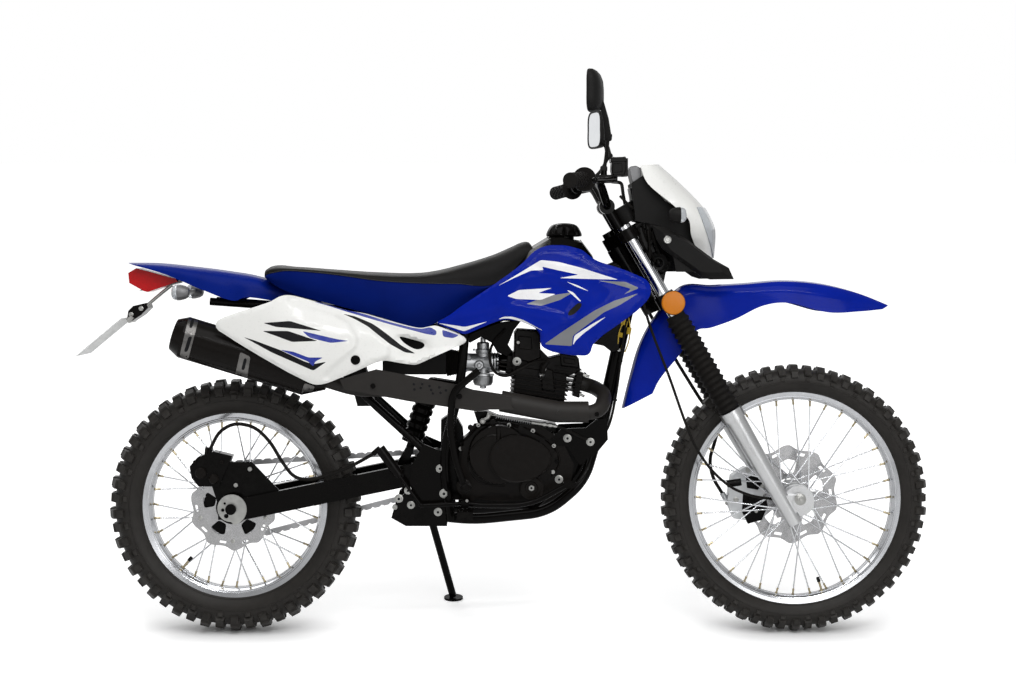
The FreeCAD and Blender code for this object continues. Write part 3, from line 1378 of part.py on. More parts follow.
def instrument_housing():
    """The black body that holds the lamp and the instruments, from the top clamp to the lens."""
    body = plate(outline(housing_shares, (cowl_x, cowl_z), (cowl_length, cowl_height)), -housing_half,
                 housing_half)
    arm_back = on_fork(fork_ahead, 0, top_clamp + clamp_thickness / 2)
    arm_front = Vector(cowl_x + cowl_length * 0.2, 0, cowl_z + cowl_height * 0.5)
    arms = [rod(arm_back + Vector(0, y, 0), arm_front + Vector(0, y, 0), sheet * 2)
            for y in (-housing_half * 0.8, housing_half * 0.8)]
    way = (cable_path[0] - cable_path[1]).normalize()
    gland = rod(cable_path[0], cable_path[0] + way * 8 * cable_radius, cable_radius * 1.6)
    return joined(body, gland, *arms)


guard_x = -381.0
guard_z = 919.0
guard_length = 210.0
guard_height = 140.0
guard_out = 132.0
guard_depth = 16.0
guard_shrink = 0.72
guard_peg_shares = [(0.24, 0.78), (0.43, 0.60)]
guard_shares = [(0.0, 1.0), (0.186, 0.943), (0.429, 0.736), (0.752, 0.371), (0.938, 0.214), (1.0, 0.007),
                (0.71, 0.0), (0.614, 0.043), (0.129, 0.564), (0.057, 0.736)]
guard_fin_shares = [(0.17, 0.62), (0.25, 0.50), (0.30, 0.14), (0.63, 0.14), (0.60, 0.24), (0.35, 0.55)]


def side_guards():
    """A faceted guard on each side of the mask with a small fin below, on two pegs from the housing."""
    corner, size = (guard_x, guard_z), (guard_length, guard_height)
    edge = outline(guard_shares, corner, size)
    middle = (sum(x for x, z in edge) / len(edge), sum(z for x, z in edge) / len(edge))
    ridge = [(middle[0] + (x - middle[0]) * guard_shrink, middle[1] + (z - middle[1]) * guard_shrink) for x,
             z in edge]
    root = [Vector(x, guard_depth * 1.4 - guard_out, z) for x, z in edge]
    brow = [Vector(x, guard_depth * 0.9 - guard_out, z) for x, z in edge]
    face = [Vector(x, -guard_out, z) for x, z in ridge]
    fin = plate(outline(guard_fin_shares, corner, size), guard_depth - guard_out,
                guard_depth + sheet - guard_out)
    pegs = [cross_rod(guard_x + guard_length * u, guard_z + guard_height * v, sheet * 2,
                      guard_depth - guard_out,
                      -housing_half + seam) for u, v in guard_peg_shares]
    return both_sides(joined(loft([root, brow, face]), fin, *pegs))


# Handlebar and its controls
bar_radius = 11.0
bar_clamp_x = -491.0
bar_clamp_z = 1108.0
bar_bend_x = -520.0
bar_bend_z = 1176.0
bar_bend_out = 165.0
bar_end_x = -604.0
bar_end_z = 1160.0
bar_end_out = 405.0
bar_rise_out = 75.0
grip_radius = 17.0
grip_length = 118.0
grip_flange = 30.0
riser_radius = 15.0
riser_out = 42.0


def bar_spot(along_share):
    """A place on the bar's right outer run, from its bend to its end."""
    bend = Vector(bar_bend_x, -bar_bend_out, bar_bend_z)
    end = Vector(bar_end_x, -bar_end_out, bar_end_z)
    return bend + (end - bend) * along_share


def handlebar():
    right = [Vector(bar_end_x, -bar_end_out, bar_end_z), Vector(bar_bend_x, -bar_bend_out, bar_bend_z),
             Vector(bar_clamp_x, -bar_rise_out, bar_clamp_z), Vector(bar_clamp_x, 0, bar_clamp_z)]
    half = tube(right, bar_radius)
    return joined(half, mirrored(half))


def bar_risers():
    """The two posts on the top clamp with the caps that hold the bar."""
    pieces = []
    for y in (-riser_out, riser_out):
        top = Vector(bar_clamp_x, y, bar_clamp_z)
        up = (top - steer_foot).dot(steer_up)
        ahead = (top - steer_foot).dot(steer_ahead)
        foot = on_fork(ahead, y, top_clamp + clamp_thickness - overrun)
        pieces.append(rod(foot, on_fork(ahead, y, up + bar_radius), riser_radius))
        pieces.append(cross_rod(bar_clamp_x, bar_clamp_z, bar_radius * 1.8, y - 1.3 * riser_radius,
                                y + 1.3 * riser_radius))
    return pieces


def hand_grips():
    start = bar_spot(1 - grip_length / (bar_end_out - bar_bend_out))
    end = bar_spot(1)
    way = (end - start).normalize()
    grip = rod(start, end + way * overrun, grip_radius)
    flange = rod(start, start + way * overrun, grip_flange)
    hole = rod(start - way * overrun, end, bar_radius + seam)
    return both_sides(joined(grip, flange).cut(hole))


perch_share = 0.36
perch_end_share = 0.46
lever_tip_share = 0.98
lever_ahead = 58.0
lever_radius = 5.5
body_length = 74.0
body_height = 20.0
body_width = 26.0
reservoir_length = 37.0
reservoir_width = 50.0
reservoir_height = 40.0
mirror_boss = 8.0
mirror_boss_height = 12.0


def perch_spot():
    return bar_spot((perch_share + perch_end_share) / 2)


def mirror_foot():
    return perch_spot() + Vector(body_length * 0.55, 0, body_height / 2 + mirror_boss_height)


def hand_levers():
    """Each side's perch and lever; the right one also carries the brake's reservoir."""
    start = bar_spot(perch_share)
    end = bar_spot(perch_end_share)
    middle = perch_spot()
    perch = rod(start, end, grip_radius)
    hole = rod(bar_spot(perch_share / 2), bar_spot(1 - perch_share), bar_radius + seam)
    body = block(middle.x, middle.x + body_length, middle.y - body_width / 2, middle.y + body_width / 2,
                 middle.z - body_height / 2, middle.z + body_height / 2)
    foot = mirror_foot()
    boss = rod(foot - Vector(0, 0, mirror_boss_height + overrun), foot, mirror_boss)
    root = middle + Vector(body_length - lever_radius, -body_width / 2 + overrun, 0)
    tip = bar_spot(lever_tip_share) + Vector(lever_ahead, 0, 0)
    lever = joined(rod(root, tip, lever_radius), Part.makeSphere(lever_radius * 1.4, tip))
    left = joined(perch, body, boss, lever).cut(hole)
    box = block(middle.x + body_length - reservoir_length / 3,
                middle.x + body_length + reservoir_length * 2 / 3,
                middle.y - reservoir_width / 2, middle.y + reservoir_width / 2,
                middle.z + body_height / 2 - overrun, middle.z + body_height / 2 + reservoir_height)
    banjo_way = (front_hose_path[0] - front_hose_path[1]).normalize()
    banjo = rod(front_hose_path[0], front_hose_path[0] + banjo_way * 5 * front_hose_radius,
                front_hose_radius * 1.6)
    return Part.makeCompound([joined(left, box, banjo).cut(hole), mirrored(left)])


mirror_out = 330.0
mirror_x = -561.0
mirror_z = 1384.0
mirror_width = 110.0
mirror_height = 106.0
mirror_depth = 30.0
mirror_toe_angle = 12.0
mirror_stem = 5.0
mirror_arm_x = -500.0
mirror_arm_z = 1272.0
mirror_arm_out = 286.0
mirror_arm_width = 22.0
mirror_arm_depth = 14.0
mirror_shares = [(-0.5, -0.34), (-0.36, -0.5), (0.36, -0.5), (0.5, -0.34), (0.46, 0.36), (0.32, 0.5),
                 (-0.32, 0.5),
                 (-0.46, 0.36)]
mirror_station_shares = [(0.0, 1.0, 1.0, 0.0), (0.35, 0.97, 0.98, 0.0), (0.75, 0.80, 0.82, -0.04),
                         (1.0, 0.50, 0.52, -0.10)]


def mirrors():
    """A bulged shell with a flat back, a flat arm below it and a thin stem down to the perch."""
    sections = []
    for deep, wide, tall, drop in mirror_station_shares:
        sections.append([Vector(mirror_depth * deep, mirror_width * u * wide,
                                mirror_height * (v * tall + drop))
                         for u, v in mirror_shares])
    head = loft(sections)
    head.rotate(Vector(0, 0, 0), Vector(0, 0, 1), -mirror_toe_angle)
    head.translate(Vector(mirror_x, -mirror_out, mirror_z))
    elbow = Vector(mirror_arm_x, -mirror_arm_out, mirror_arm_z)
    neck = Vector(mirror_x + mirror_depth * 0.8, -mirror_out, mirror_z - mirror_height * 0.2)
    arm_sections = []
    for place, size in ((neck, 0.8), (elbow, 1.0)):
        half_deep, half_wide = mirror_arm_depth * size / 2, mirror_arm_width * size / 2
        arm_sections.append([place + Vector(a * half_deep, b * half_wide, 0)
                             for a, b in ((-1, -1), (1, -1), (1, 1), (-1, 1))])
    arm = loft(arm_sections)
    foot = mirror_foot()
    stem = tube([foot, foot + Vector(0, 0, mirror_height / 4), elbow], mirror_stem)
    return both_sides(joined(head, arm, stem))


# Front caliper, speedometer, front hose and cable
front_caliper_x = -167.0
front_caliper_z = -68.0
front_caliper_length = 97.0
front_caliper_height = 141.0
front_caliper_inner = 14.0
front_caliper_outer = 24.0
front_caliper_shares = [(0.0, 0.34), (0.18, 0.04), (0.57, 0.0), (0.90, 0.20), (1.0, 0.55), (0.86, 0.91),
                        (0.48, 1.0),
                        (0.12, 0.84)]
speedometer_drum = 39.0
speedometer_ahead = 64.0
speedometer_up = 884.0
speedometer_radius = 40.0
speedometer_depth = 46.0
front_hose_radius = 4.5
cable_radius = 3.5
front_hose_route = [(-500, -234, 1168), (-490, -190, 1166), (-476, -140, 1167), (-462, -88, 1169),
                    (-452, -34, 1168), (-446, 20, 1163), (-440, 64, 1144), (-431, 96, 1112),
                    (-424, 118, 1073), (-421, 126, 1024), (-415, 124, 970), (-403, 115, 913),
                    (-382, 105, 856), (-349, 97, 795), (-310, 91, 724), (-269, 84, 656),
                    (-227, 76, 588), (-184, 66, 536), (-196, 63, 488), (-212, 61, 440),
                    (-203, 60, 392), (-178, 60, 352)]
front_hose_path = [Vector(*spot) for spot in front_hose_route]
cable_route = [(-385, -50, 1048), (-379, -56, 1002), (-383, -59, 950), (-396, -65, 905),
               (-399, -74, 858), (-386, -86, 808), (-364, -98, 745), (-333, -106, 665),
               (-304, -110, 578), (-272, -110, 494), (-226, -102, 427), (-171, -80, 380),
               (-112, -66, 357), (-52, -61, 350)]
cable_path = [Vector(*spot) for spot in cable_route]


def front_caliper():
    centre = front_centre
    corner = (centre.x + front_caliper_x, centre.z + front_caliper_z)
    body = plate(outline(front_caliper_shares, corner, (front_caliper_length, front_caliper_height)),
                 front_disc_place - front_caliper_inner, front_disc_place + front_caliper_outer)
    slot = cross_rod(centre.x, centre.z, front_disc_radius + 2 * disc_clearance,
                     front_disc_place - disc_thickness / 2 - disc_clearance,
                     front_disc_place + disc_thickness / 2 + disc_clearance)
    way = (front_hose_path[-1] - front_hose_path[-2]).normalize()
    banjo = rod(front_hose_path[-1], front_hose_path[-1] + way * 5 * front_hose_radius,
                front_hose_radius * 1.6)
    return joined(body, banjo).cut(slot)


def speedometer():
    face = on_fork(speedometer_ahead, 0, speedometer_up)
    return rod(face, face - steer_up * speedometer_depth, speedometer_radius)


# Side stand
stand_x = -958.0
stand_z = 296.0
stand_out = 142.0
stand_pin = 6.0
stand_splay_angle = 24.0
stand_forward_angle = 13.0
stand_radius = 10.0
stand_pad_half = 26.0
stand_pad_thickness = 6.0
stand_splay = math.radians(stand_splay_angle)
stand_axis = Vector(0, math.cos(stand_splay), math.sin(stand_splay))
stand_forward = math.radians(stand_forward_angle)
stand_down = Vector(0, math.sin(stand_splay), -math.cos(stand_splay))
stand_way = stand_down * math.cos(stand_forward) + Vector(math.sin(stand_forward), 0, 0)
stand_pivot = Vector(stand_x, stand_out, stand_z)
floor_normal = Vector(0, -math.sin(lean), math.cos(lean))


def side_stand():
    """The leg with its pivot eye and the foot, which lies flat on the leaning machine's floor."""
    reach = -stand_pivot.dot(floor_normal) / stand_way.dot(floor_normal)
    end = stand_pivot + stand_way * reach
    pad = rod(end, end + floor_normal * stand_pad_thickness, stand_pad_half)
    leg = rod(stand_pivot, end + floor_normal * stand_pad_thickness / 2 - stand_way * stand_pad_thickness,
              stand_radius)
    eye = rod(stand_pivot - stand_axis * stand_radius, stand_pivot + stand_axis * stand_radius,
              stand_radius * 1.6)
    hole = rod(stand_pivot - stand_axis * stand_radius * 2, stand_pivot + stand_axis * stand_radius * 2,
               stand_pin + seam)
    return joined(leg, pad, eye).cut(hole)


front_indicator_x = -316.0
front_indicator_z = 1083.0
front_indicator_out = 150.0


def pieces():
    """Every piece upright, by its name; where two pieces meet, the later one is cut to its seat."""
    nodes = {}
    nodes["frame"] = frame()
    nodes["subframe"] = subframe().cut(nodes["frame"])
    nodes["swingarm"] = swing_arm().cut(nodes["frame"])
    nodes["axle_adjusters"] = axle_adjusters().cut(nodes["swingarm"])
    nodes["rear_shock"] = rear_shock().cut([nodes["frame"], nodes["swingarm"]])
    nodes["crankcase"] = crankcase().cut(nodes["frame"])
    nodes["cylinder"] = cylinder().cut([nodes["frame"], nodes["crankcase"]])
    nodes["airbox"] = airbox().cut([nodes["frame"], nodes["subframe"]])
    nodes["carburettor"] = carburettor().cut([nodes["cylinder"], nodes["airbox"]])
    nodes["muffler"] = muffler()
    nodes["header_pipe"] = header_pipe().cut([nodes["cylinder"], nodes["muffler"]])
    nodes["heat_shield"] = heat_shield().cut([nodes["header_pipe"], nodes["muffler"]])
    nodes["fuel_cap"] = fuel_cap()
    nodes["fuel_tank"] = fuel_tank().cut([nodes["frame"], nodes["subframe"], nodes["fuel_cap"]])
    nodes["tank_shroud_right"] = tank_shroud().cut(nodes["fuel_tank"])
    nodes["tank_shroud_left"] = mirrored(nodes["tank_shroud_right"])
    nodes["rear_fender"] = rear_fender().cut([nodes["subframe"], nodes["airbox"], nodes["frame"]])
    nodes["seat"] = seat().cut([nodes["fuel_tank"], nodes["frame"], nodes["subframe"], rear_fender_core(),
                                nodes["airbox"]])
    nodes["side_panel_right"] = side_panel().cut([nodes["seat"], nodes["muffler"], nodes["rear_fender"],
                                                  nodes["subframe"]])
    nodes["side_panel_left"] = mirrored(nodes["side_panel_right"])
    nodes["tail_lamp"] = tail_lamp().cut(nodes["rear_fender"])
    nodes["number_plate"] = number_plate()
    nodes["plate_bracket"] = plate_bracket().cut([nodes["tail_lamp"], nodes["number_plate"]])
    nodes["rear_indicators"] = both_sides(indicator(rear_indicator_x, rear_indicator_z, rear_indicator_out,
                                                    bracket_half + seam))
    nodes["drive_chain"] = drive_chain().cut([nodes["crankcase"], nodes["swingarm"], nodes["frame"]])
    front_wheel = sprocket(Vector(front_sprocket_x, 0, front_sprocket_z), chain_place,
                           front_sprocket_radius, shaft_radius, front_sprocket_teeth, 0)
    nodes["drive_chain"] = Part.makeCompound([nodes["drive_chain"], front_wheel.cut(nodes["crankcase"])])
    nodes["footpegs"] = footpegs().cut(nodes["frame"])
    nodes["foot_controls"] = foot_controls().cut([nodes["crankcase"], nodes["frame"]])
    nodes["kick_lever"] = kick_lever().cut([nodes["crankcase"]])
    nodes["rear_caliper"] = rear_caliper().cut([nodes["swingarm"]])
    nodes["rear_brake_hose"] = hose(rear_hose_path, rear_hose_radius).cut([nodes["rear_caliper"],
                                                                           nodes["foot_controls"]])
    nodes["fork_clamps"] = joined(fork_clamps(), *bar_risers())
    nodes["handlebar"] = handlebar()
    nodes["fork_clamps"] = nodes["fork_clamps"].cut(nodes["handlebar"])
    nodes["fork_tubes"] = fork_tubes()
    nodes["fork_boots"] = fork_boots()
    nodes["fork_legs"] = fork_legs()
    nodes["front_fender"] = front_fender().cut([nodes["fork_clamps"], nodes["fork_boots"]])
    nodes["headlamp_cowl"] = headlamp_cowl()
    nodes["headlamp"] = headlamp().cut(nodes["headlamp_cowl"])
    nodes["speedometer"] = speedometer().cut([nodes["fork_clamps"], nodes["headlamp_cowl"],
                                              nodes["handlebar"]])
    nodes["instrument_housing"] = instrument_housing().cut([nodes["fork_clamps"], nodes["headlamp_cowl"],
                                                            nodes["headlamp"], nodes["speedometer"],
                                                            nodes["fork_tubes"]])
    nodes["side_guards"] = side_guards().cut([nodes["headlamp_cowl"], nodes["instrument_housing"]])
    nodes["front_indicators"] = both_sides(indicator(front_indicator_x, front_indicator_z,
                                                     front_indicator_out,
                                                     housing_half))
    nodes["front_indicators"] = nodes["front_indicators"].cut([nodes["headlamp_cowl"], nodes["side_guards"],
                                                               nodes["instrument_housing"]])
    nodes["hand_grips"] = hand_grips()
    nodes["hand_levers"] = hand_levers().cut(nodes["handlebar"])
    nodes["mirrors"] = mirrors().cut(nodes["hand_levers"])
    nodes["front_caliper"] = front_caliper().cut(nodes["fork_legs"])
    nodes["front_brake_hose"] = hose(front_hose_path, front_hose_radius).cut([nodes["hand_levers"],
                                                                              nodes["front_caliper"]])
    nodes["speedometer_cable"] = hose(cable_path, cable_radius).cut([nodes["instrument_housing"],
                                                                     nodes["fork_legs"]])
    nodes["side_stand"] = side_stand()
    nodes["front_tyre"] = tyre(front_centre, front_tyre_radius, front_bead_radius, front_tyre_width,
                               front_lug_height, front_lug_length, front_lug_width, front_pitches)
    nodes["front_rim"] = rim(front_centre, front_bead_radius, front_rim_width, front_tyre_width)
    nodes["front_spokes"] = spokes(front_centre, front_bead_radius, front_hub_radius, front_hub_half,
                                   hub_flange)
    nodes["front_hub"] = hub(front_centre, front_hub_radius, front_hub_half, front_hub_core, front_hub_reach,
                             front_axle_radius)
    nodes["front_disc"] = wave_disc(front_centre, front_disc_place, front_disc_radius,
                                    front_hub_core * disc_seat)
    nodes["rear_tyre"] = tyre(rear_centre, rear_tyre_radius, rear_bead_radius, rear_tyre_width,
                              rear_lug_height, rear_lug_length, rear_lug_width, rear_pitches)
    nodes["rear_rim"] = rim(rear_centre, rear_bead_radius, rear_rim_width, rear_tyre_width)
    nodes["rear_spokes"] = spokes(rear_centre, rear_bead_radius, rear_hub_radius, rear_hub_half, hub_flange)
    nodes["rear_hub"] = hub(rear_centre, rear_hub_radius, rear_hub_half, rear_hub_core, rear_hub_reach,
                            rear_axle_radius)
    nodes["rear_disc"] = wave_disc(rear_centre, -rear_disc_place, rear_disc_radius,
                                   rear_hub_core * disc_seat)
    nodes["rear_sprocket"] = sprocket(rear_centre, chain_place, sprocket_radius, rear_hub_core * disc_seat,
                                      sprocket_teeth, sprocket_holes)
    return nodes


def lean_over(nodes):
    """Leans every piece together and moves the ground below the whole to the origin."""
    for shape in nodes.values():
        shape.rotate(Vector(0, 0, 0), Vector(1, 0, 0), -lean_angle)
    whole = Part.makeCompound(list(nodes.values())).optimalBoundingBox(False, False)
    shift = Vector(-(whole.XMin + whole.XMax) / 2, -(whole.YMin + whole.YMax) / 2, -whole.ZMin)
    for shape in nodes.values():
        shape.translate(shift)
    return shift


def print_cord(name, path, radius, shape, bend_share=0.45):
    """Tells a cord's length, its bends' radii, and its volume beside section times length."""
    length = sum((b - a).Length for a, b in zip(path, path[1:]))
    radii = []
    for before, corner, after in zip(path, path[1:], path[2:]):
        turn = math.pi - (before - corner).getAngle(after - corner)
        reach = bend_share * min((before - corner).Length, (after - corner).Length)
        radii.append(reach / math.tan(turn / 2))
        length -= 2 * reach - radii[-1] * turn
    print(name, "length", round(length), "radii", [round(r) for r in radii],
          "volume", round(shape.Volume), "of", round(length * math.pi * radius ** 2))


if __name__ == "__main__":
    os.makedirs("parts", exist_ok=True)
    nodes = pieces()
    print_cord("rear_brake_hose", rear_hose_path, rear_hose_radius, nodes["rear_brake_hose"])
    print_cord("front_brake_hose", front_hose_path, front_hose_radius, nodes["front_brake_hose"])
    print_cord("speedometer_cable", cable_path, cable_radius, nodes["speedometer_cable"])
    lean_over(nodes)
    for name, shape in nodes.items():
        shape.exportStep("parts/" + name + ".step")
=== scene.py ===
"""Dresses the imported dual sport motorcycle: camera, finishes, soft and small pieces, studio."""
import math

import bmesh
import bpy
from mathutils import Matrix, Vector, kdtree
from mathutils.bvhtree import BVHTree
from mathutils.geometry import delaunay_2d_cdt


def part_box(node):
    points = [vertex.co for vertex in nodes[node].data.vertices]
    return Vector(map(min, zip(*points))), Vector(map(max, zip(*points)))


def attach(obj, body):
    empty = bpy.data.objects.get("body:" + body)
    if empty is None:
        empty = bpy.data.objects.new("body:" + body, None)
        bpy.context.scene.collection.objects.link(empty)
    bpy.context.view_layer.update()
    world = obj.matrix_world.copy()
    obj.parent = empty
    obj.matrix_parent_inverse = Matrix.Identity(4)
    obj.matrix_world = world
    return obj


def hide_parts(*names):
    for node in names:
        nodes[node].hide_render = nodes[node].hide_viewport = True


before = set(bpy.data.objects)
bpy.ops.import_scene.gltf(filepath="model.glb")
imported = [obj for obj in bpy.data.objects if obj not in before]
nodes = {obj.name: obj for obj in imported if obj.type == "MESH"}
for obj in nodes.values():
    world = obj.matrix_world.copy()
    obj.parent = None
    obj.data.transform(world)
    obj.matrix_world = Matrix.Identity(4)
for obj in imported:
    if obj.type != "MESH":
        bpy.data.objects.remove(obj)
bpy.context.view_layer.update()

# The machine's own upright frame: millimetres, X forward from the front axle, Y to its left,
# Z up from the ground. The machine leans on its side stand, and the row frame is in metres.
MM = 0.001
LEAN = math.radians(-8)
AXLE_HEIGHT = 349.1
WHEELBASE = 1458.0
axle_low, axle_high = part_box("front_rim")
machine = (Matrix.Translation((axle_low + axle_high) / 2) @ Matrix.Rotation(LEAN, 4, "X")
           @ Matrix.Translation((0, 0, -AXLE_HEIGHT * MM)))


def at(x, y, z):
    """A point of the upright machine, in the row frame."""
    return machine @ (Vector((x, y, z)) * MM)


# Camera, level with the machine's own frame
EYE = Vector((-833.1, -4900.0, 956.3))
SENSOR = 36.0
LENS = 66.27
SHIFT_RIGHT, SHIFT_UP = 0.0325, -0.0714
camera = bpy.data.objects.new("camera", bpy.data.cameras.new("camera"))
bpy.context.scene.collection.objects.link(camera)
camera.data.sensor_width = SENSOR
camera.data.lens = LENS
camera.data.shift_x = SHIFT_RIGHT
camera.data.shift_y = SHIFT_UP
camera.data.clip_end = 60.0
camera.matrix_world = (machine @ Matrix.Translation(EYE * MM)
                       @ Matrix.Rotation(math.radians(90), 4, "X"))
bpy.context.scene.camera = camera
bpy.context.scene.view_settings.view_transform = "Standard"


# Node groups that the finishes share
def shared_group(name, inputs, outputs):
    """An empty shader group with named sockets, its entry and its exit."""
    group = bpy.data.node_groups.new(name, "ShaderNodeTree")
    for label, kind, value in inputs:
        socket = group.interface.new_socket(name=label, in_out="INPUT", socket_type=kind)
        socket.default_value = value
    for label, kind in outputs:
        group.interface.new_socket(name=label, in_out="OUTPUT", socket_type=kind)
    return group, group.nodes.new("NodeGroupInput"), group.nodes.new("NodeGroupOutput")


def wired(tree, kind, links=(), **settings):
    """A node with its settings, and its inputs linked or set."""
    node = tree.nodes.new(kind)
    for key, value in settings.items():
        setattr(node, key, value)
    for place, source in links:
        if isinstance(source, bpy.types.NodeSocket):
            tree.links.new(source, node.inputs[place])
        else:
            node.inputs[place].default_value = source
    return node


def spread(tree, value, low, high, to_low=0.0, to_high=1.0, **settings):
    """A value stretched from one range to another."""
    return wired(tree, "ShaderNodeMapRange", [("Value", value), ("From Min", low),
                                              ("From Max", high), ("To Min", to_low),
                                              ("To Max", to_high)], **settings).outputs[0]


def worked(tree, operation, first, second):
    """The sum, the product, the smaller or the greater of two values."""
    return wired(tree, "ShaderNodeMath", [(0, first), (1, second)],
                 operation=operation).outputs[0]


def blended(tree, share, first, second, colours=False):
    """Two values or two colours, blended by a share."""
    a, b, out, kind = (6, 7, 2, "RGBA") if colours else (2, 3, 0, "FLOAT")
    return wired(tree, "ShaderNodeMix", [(0, share), (a, first), (b, second)],
                 data_type=kind).outputs[out]


def clouds(group, entry, **more):
    """Soft noise over the piece, at the size that the group is given."""
    where = wired(group, "ShaderNodeTexCoord")
    noise = wired(group, "ShaderNodeTexNoise", [("Vector", where.outputs["Object"]),
                                                ("Scale", entry.outputs["Scale"]), *more.items()])
    return where.outputs["Object"], noise.outputs["Fac"]


FLOAT, COLOUR = "NodeSocketFloat", "NodeSocketColor"


def grain_group():
    """The small relief of a moulded, cast or rolled surface."""
    group, entry, leave = shared_group("surface_grain", [("Scale", FLOAT, 900.0),
                                                         ("Cells", FLOAT, 0.5)],
                                       [("Height", FLOAT), ("Mask", FLOAT)])
    where, fine = clouds(group, entry, Detail=4.0, Roughness=0.6)
    cells = wired(group, "ShaderNodeTexVoronoi", [("Vector", where),
                                                  ("Scale", entry.outputs["Scale"])])
    height = blended(group, entry.outputs["Cells"], fine, cells.outputs["Distance"])
    group.links.new(height, leave.inputs["Height"])
    group.links.new(fine, leave.inputs["Mask"])
    return group


def drift_group():
    """A colour that drifts a little lighter and darker over the piece."""
    group, entry, leave = shared_group("tone_drift", [("Colour", COLOUR, (1, 1, 1, 1)),
                                                      ("Amount", FLOAT, 0.1),
                                                      ("Scale", FLOAT, 12.0)],
                                       [("Colour", COLOUR)])
    _, broad = clouds(group, entry, Detail=3.0)
    swing = spread(group, broad, 0.3, 0.7, -1.0, 1.0)
    share = worked(group, "MULTIPLY", swing, entry.outputs["Amount"])
    level = worked(group, "ADD", share, 1.0)
    toned = wired(group, "ShaderNodeVectorMath", [(0, entry.outputs["Colour"]), ("Scale", level)],
                  operation="SCALE")
    group.links.new(toned.outputs[0], leave.inputs["Colour"])
    return group


def wear_group():
    """A mask that is 1 on rubbed edges."""
    group, entry, leave = shared_group("edge_wear", [("Amount", FLOAT, 0.3),
                                                     ("Scale", FLOAT, 60.0)],
                                       [("Mask", FLOAT)])
    _, patchy = clouds(group, entry, Detail=5.0)
    shape = wired(group, "ShaderNodeNewGeometry")
    edge = spread(group, shape.outputs["Pointiness"], 0.52, 0.62)
    rough = spread(group, patchy, 0.42, 0.62)
    both = worked(group, "MULTIPLY", edge, rough)
    mask = worked(group, "MULTIPLY", both, entry.outputs["Amount"])
    group.links.new(mask, leave.inputs["Mask"])
    return group


def dust_group():
    """A mask of fine dust that has settled on faces that look up."""
    group, entry, leave = shared_group("settled_dust", [("Amount", FLOAT, 0.1),
                                                        ("Scale", FLOAT, 35.0)],
                                       [("Mask", FLOAT)])
    _, cloudy = clouds(group, entry, Detail=6.0, Roughness=0.65)
    shape = wired(group, "ShaderNodeNewGeometry")
    up = wired(group, "ShaderNodeSeparateXYZ", [(0, shape.outputs["Normal"])])
    facing = spread(group, up.outputs["Z"], 0.1, 1.0)
    both = worked(group, "MULTIPLY", facing, cloudy)
    mask = worked(group, "MULTIPLY", both, entry.outputs["Amount"])
    group.links.new(mask, leave.inputs["Mask"])
    return group


GRAIN, DRIFT, WEAR, DUST = grain_group(), drift_group(), wear_group(), dust_group()
RUBBED_LIGHTER = 1.6
DULLEST, SHINIEST = 1.15, 0.85
COAT_ROUGHNESS = 0.05
DUST_TONE = (0.32, 0.29, 0.25, 1)


def grouped(tree, group, *values):
    """A shared group in a finish, with this finish's own values in the order of its sockets."""
    node = wired(tree, "ShaderNodeGroup", node_tree=group)
    for socket, value in zip(node.inputs, values):
        socket.default_value = value
    return node.outputs


def finish(name, colour, rough, metallic=0.0, grain=(900.0, 0.5, 0.1), drift=(0.08, 14.0),
           rub=(0.15, 60.0), rubbed=None, dust=0.08, coat=0.0, **sockets):
    """One finish: its colour drifts, its edges are rubbed, dust lies on it, its grain is raised.

    The grain is its scale, its share of cells and its height in millimetres; the drift and the
    rub are an amount and a scale.
    """
    paint = bpy.data.materials.new(name)
    paint.use_nodes = True
    tree = paint.node_tree
    skin = tree.nodes["Principled BSDF"]
    scale, cells, height = grain
    toned = grouped(tree, DRIFT, (*colour, 1), *drift)
    worn = grouped(tree, WEAR, *rub)
    bare = rubbed or tuple(min(1.0, share * RUBBED_LIGHTER) for share in colour)
    used = blended(tree, worn["Mask"], toned["Colour"], (*bare, 1), True)
    settled = grouped(tree, DUST, dust)
    dusty = blended(tree, settled["Mask"], used, DUST_TONE, True)
    tree.links.new(dusty, skin.inputs["Base Color"])
    relief = grouped(tree, GRAIN, scale, cells)
    shine = spread(tree, relief["Mask"], 0.3, 0.7, rough * SHINIEST, min(1.0, rough * DULLEST))
    tree.links.new(shine, skin.inputs["Roughness"])
    bump = wired(tree, "ShaderNodeBump", [("Height", relief["Height"]), ("Strength", 1.0),
                                          ("Distance", height * MM)])
    tree.links.new(bump.outputs[0], skin.inputs["Normal"])
    skin.inputs["Metallic"].default_value = metallic
    skin.inputs["Coat Weight"].default_value = coat
    skin.inputs["Coat Roughness"].default_value = COAT_ROUGHNESS
    for label, value in sockets.items():
        skin.inputs[label.replace("_", " ")].default_value = value
    return paint


DARK = {"Specular_IOR_Level": 0.1}
blue_plastic = finish("blue_plastic", (0.0016, 0.0125, 0.25), 0.14, grain=(160.0, 0.0, 0.04),
                      rub=(0.08, 60.0), dust=0.004, Specular_IOR_Level=0.07)
tail_blue = finish("tail_blue", (0.0014, 0.0120, 0.17), 0.3, grain=(160.0, 0.0, 0.04),
                   rub=(0.08, 60.0), dust=0.004, Specular_IOR_Level=0.05)
seat_blue = finish("seat_blue", (0.0006, 0.0075, 0.105), 0.4, grain=(520.0, 1.0, 0.2),
                   rub=(0.08, 60.0), dust=0.002, Specular_IOR_Level=0.03)
white_plastic = finish("white_plastic", (0.69, 0.69, 0.668), 0.3, grain=(160.0, 0.0, 0.05),
                       coat=0.2, rub=(0.1, 60.0), drift=(0.02, 10.0), dust=0.03)
black_plastic = finish("black_plastic", (0.0075, 0.0072, 0.007), 0.5, grain=(1400.0, 0.6, 0.12),
                       dust=0.02, **DARK)
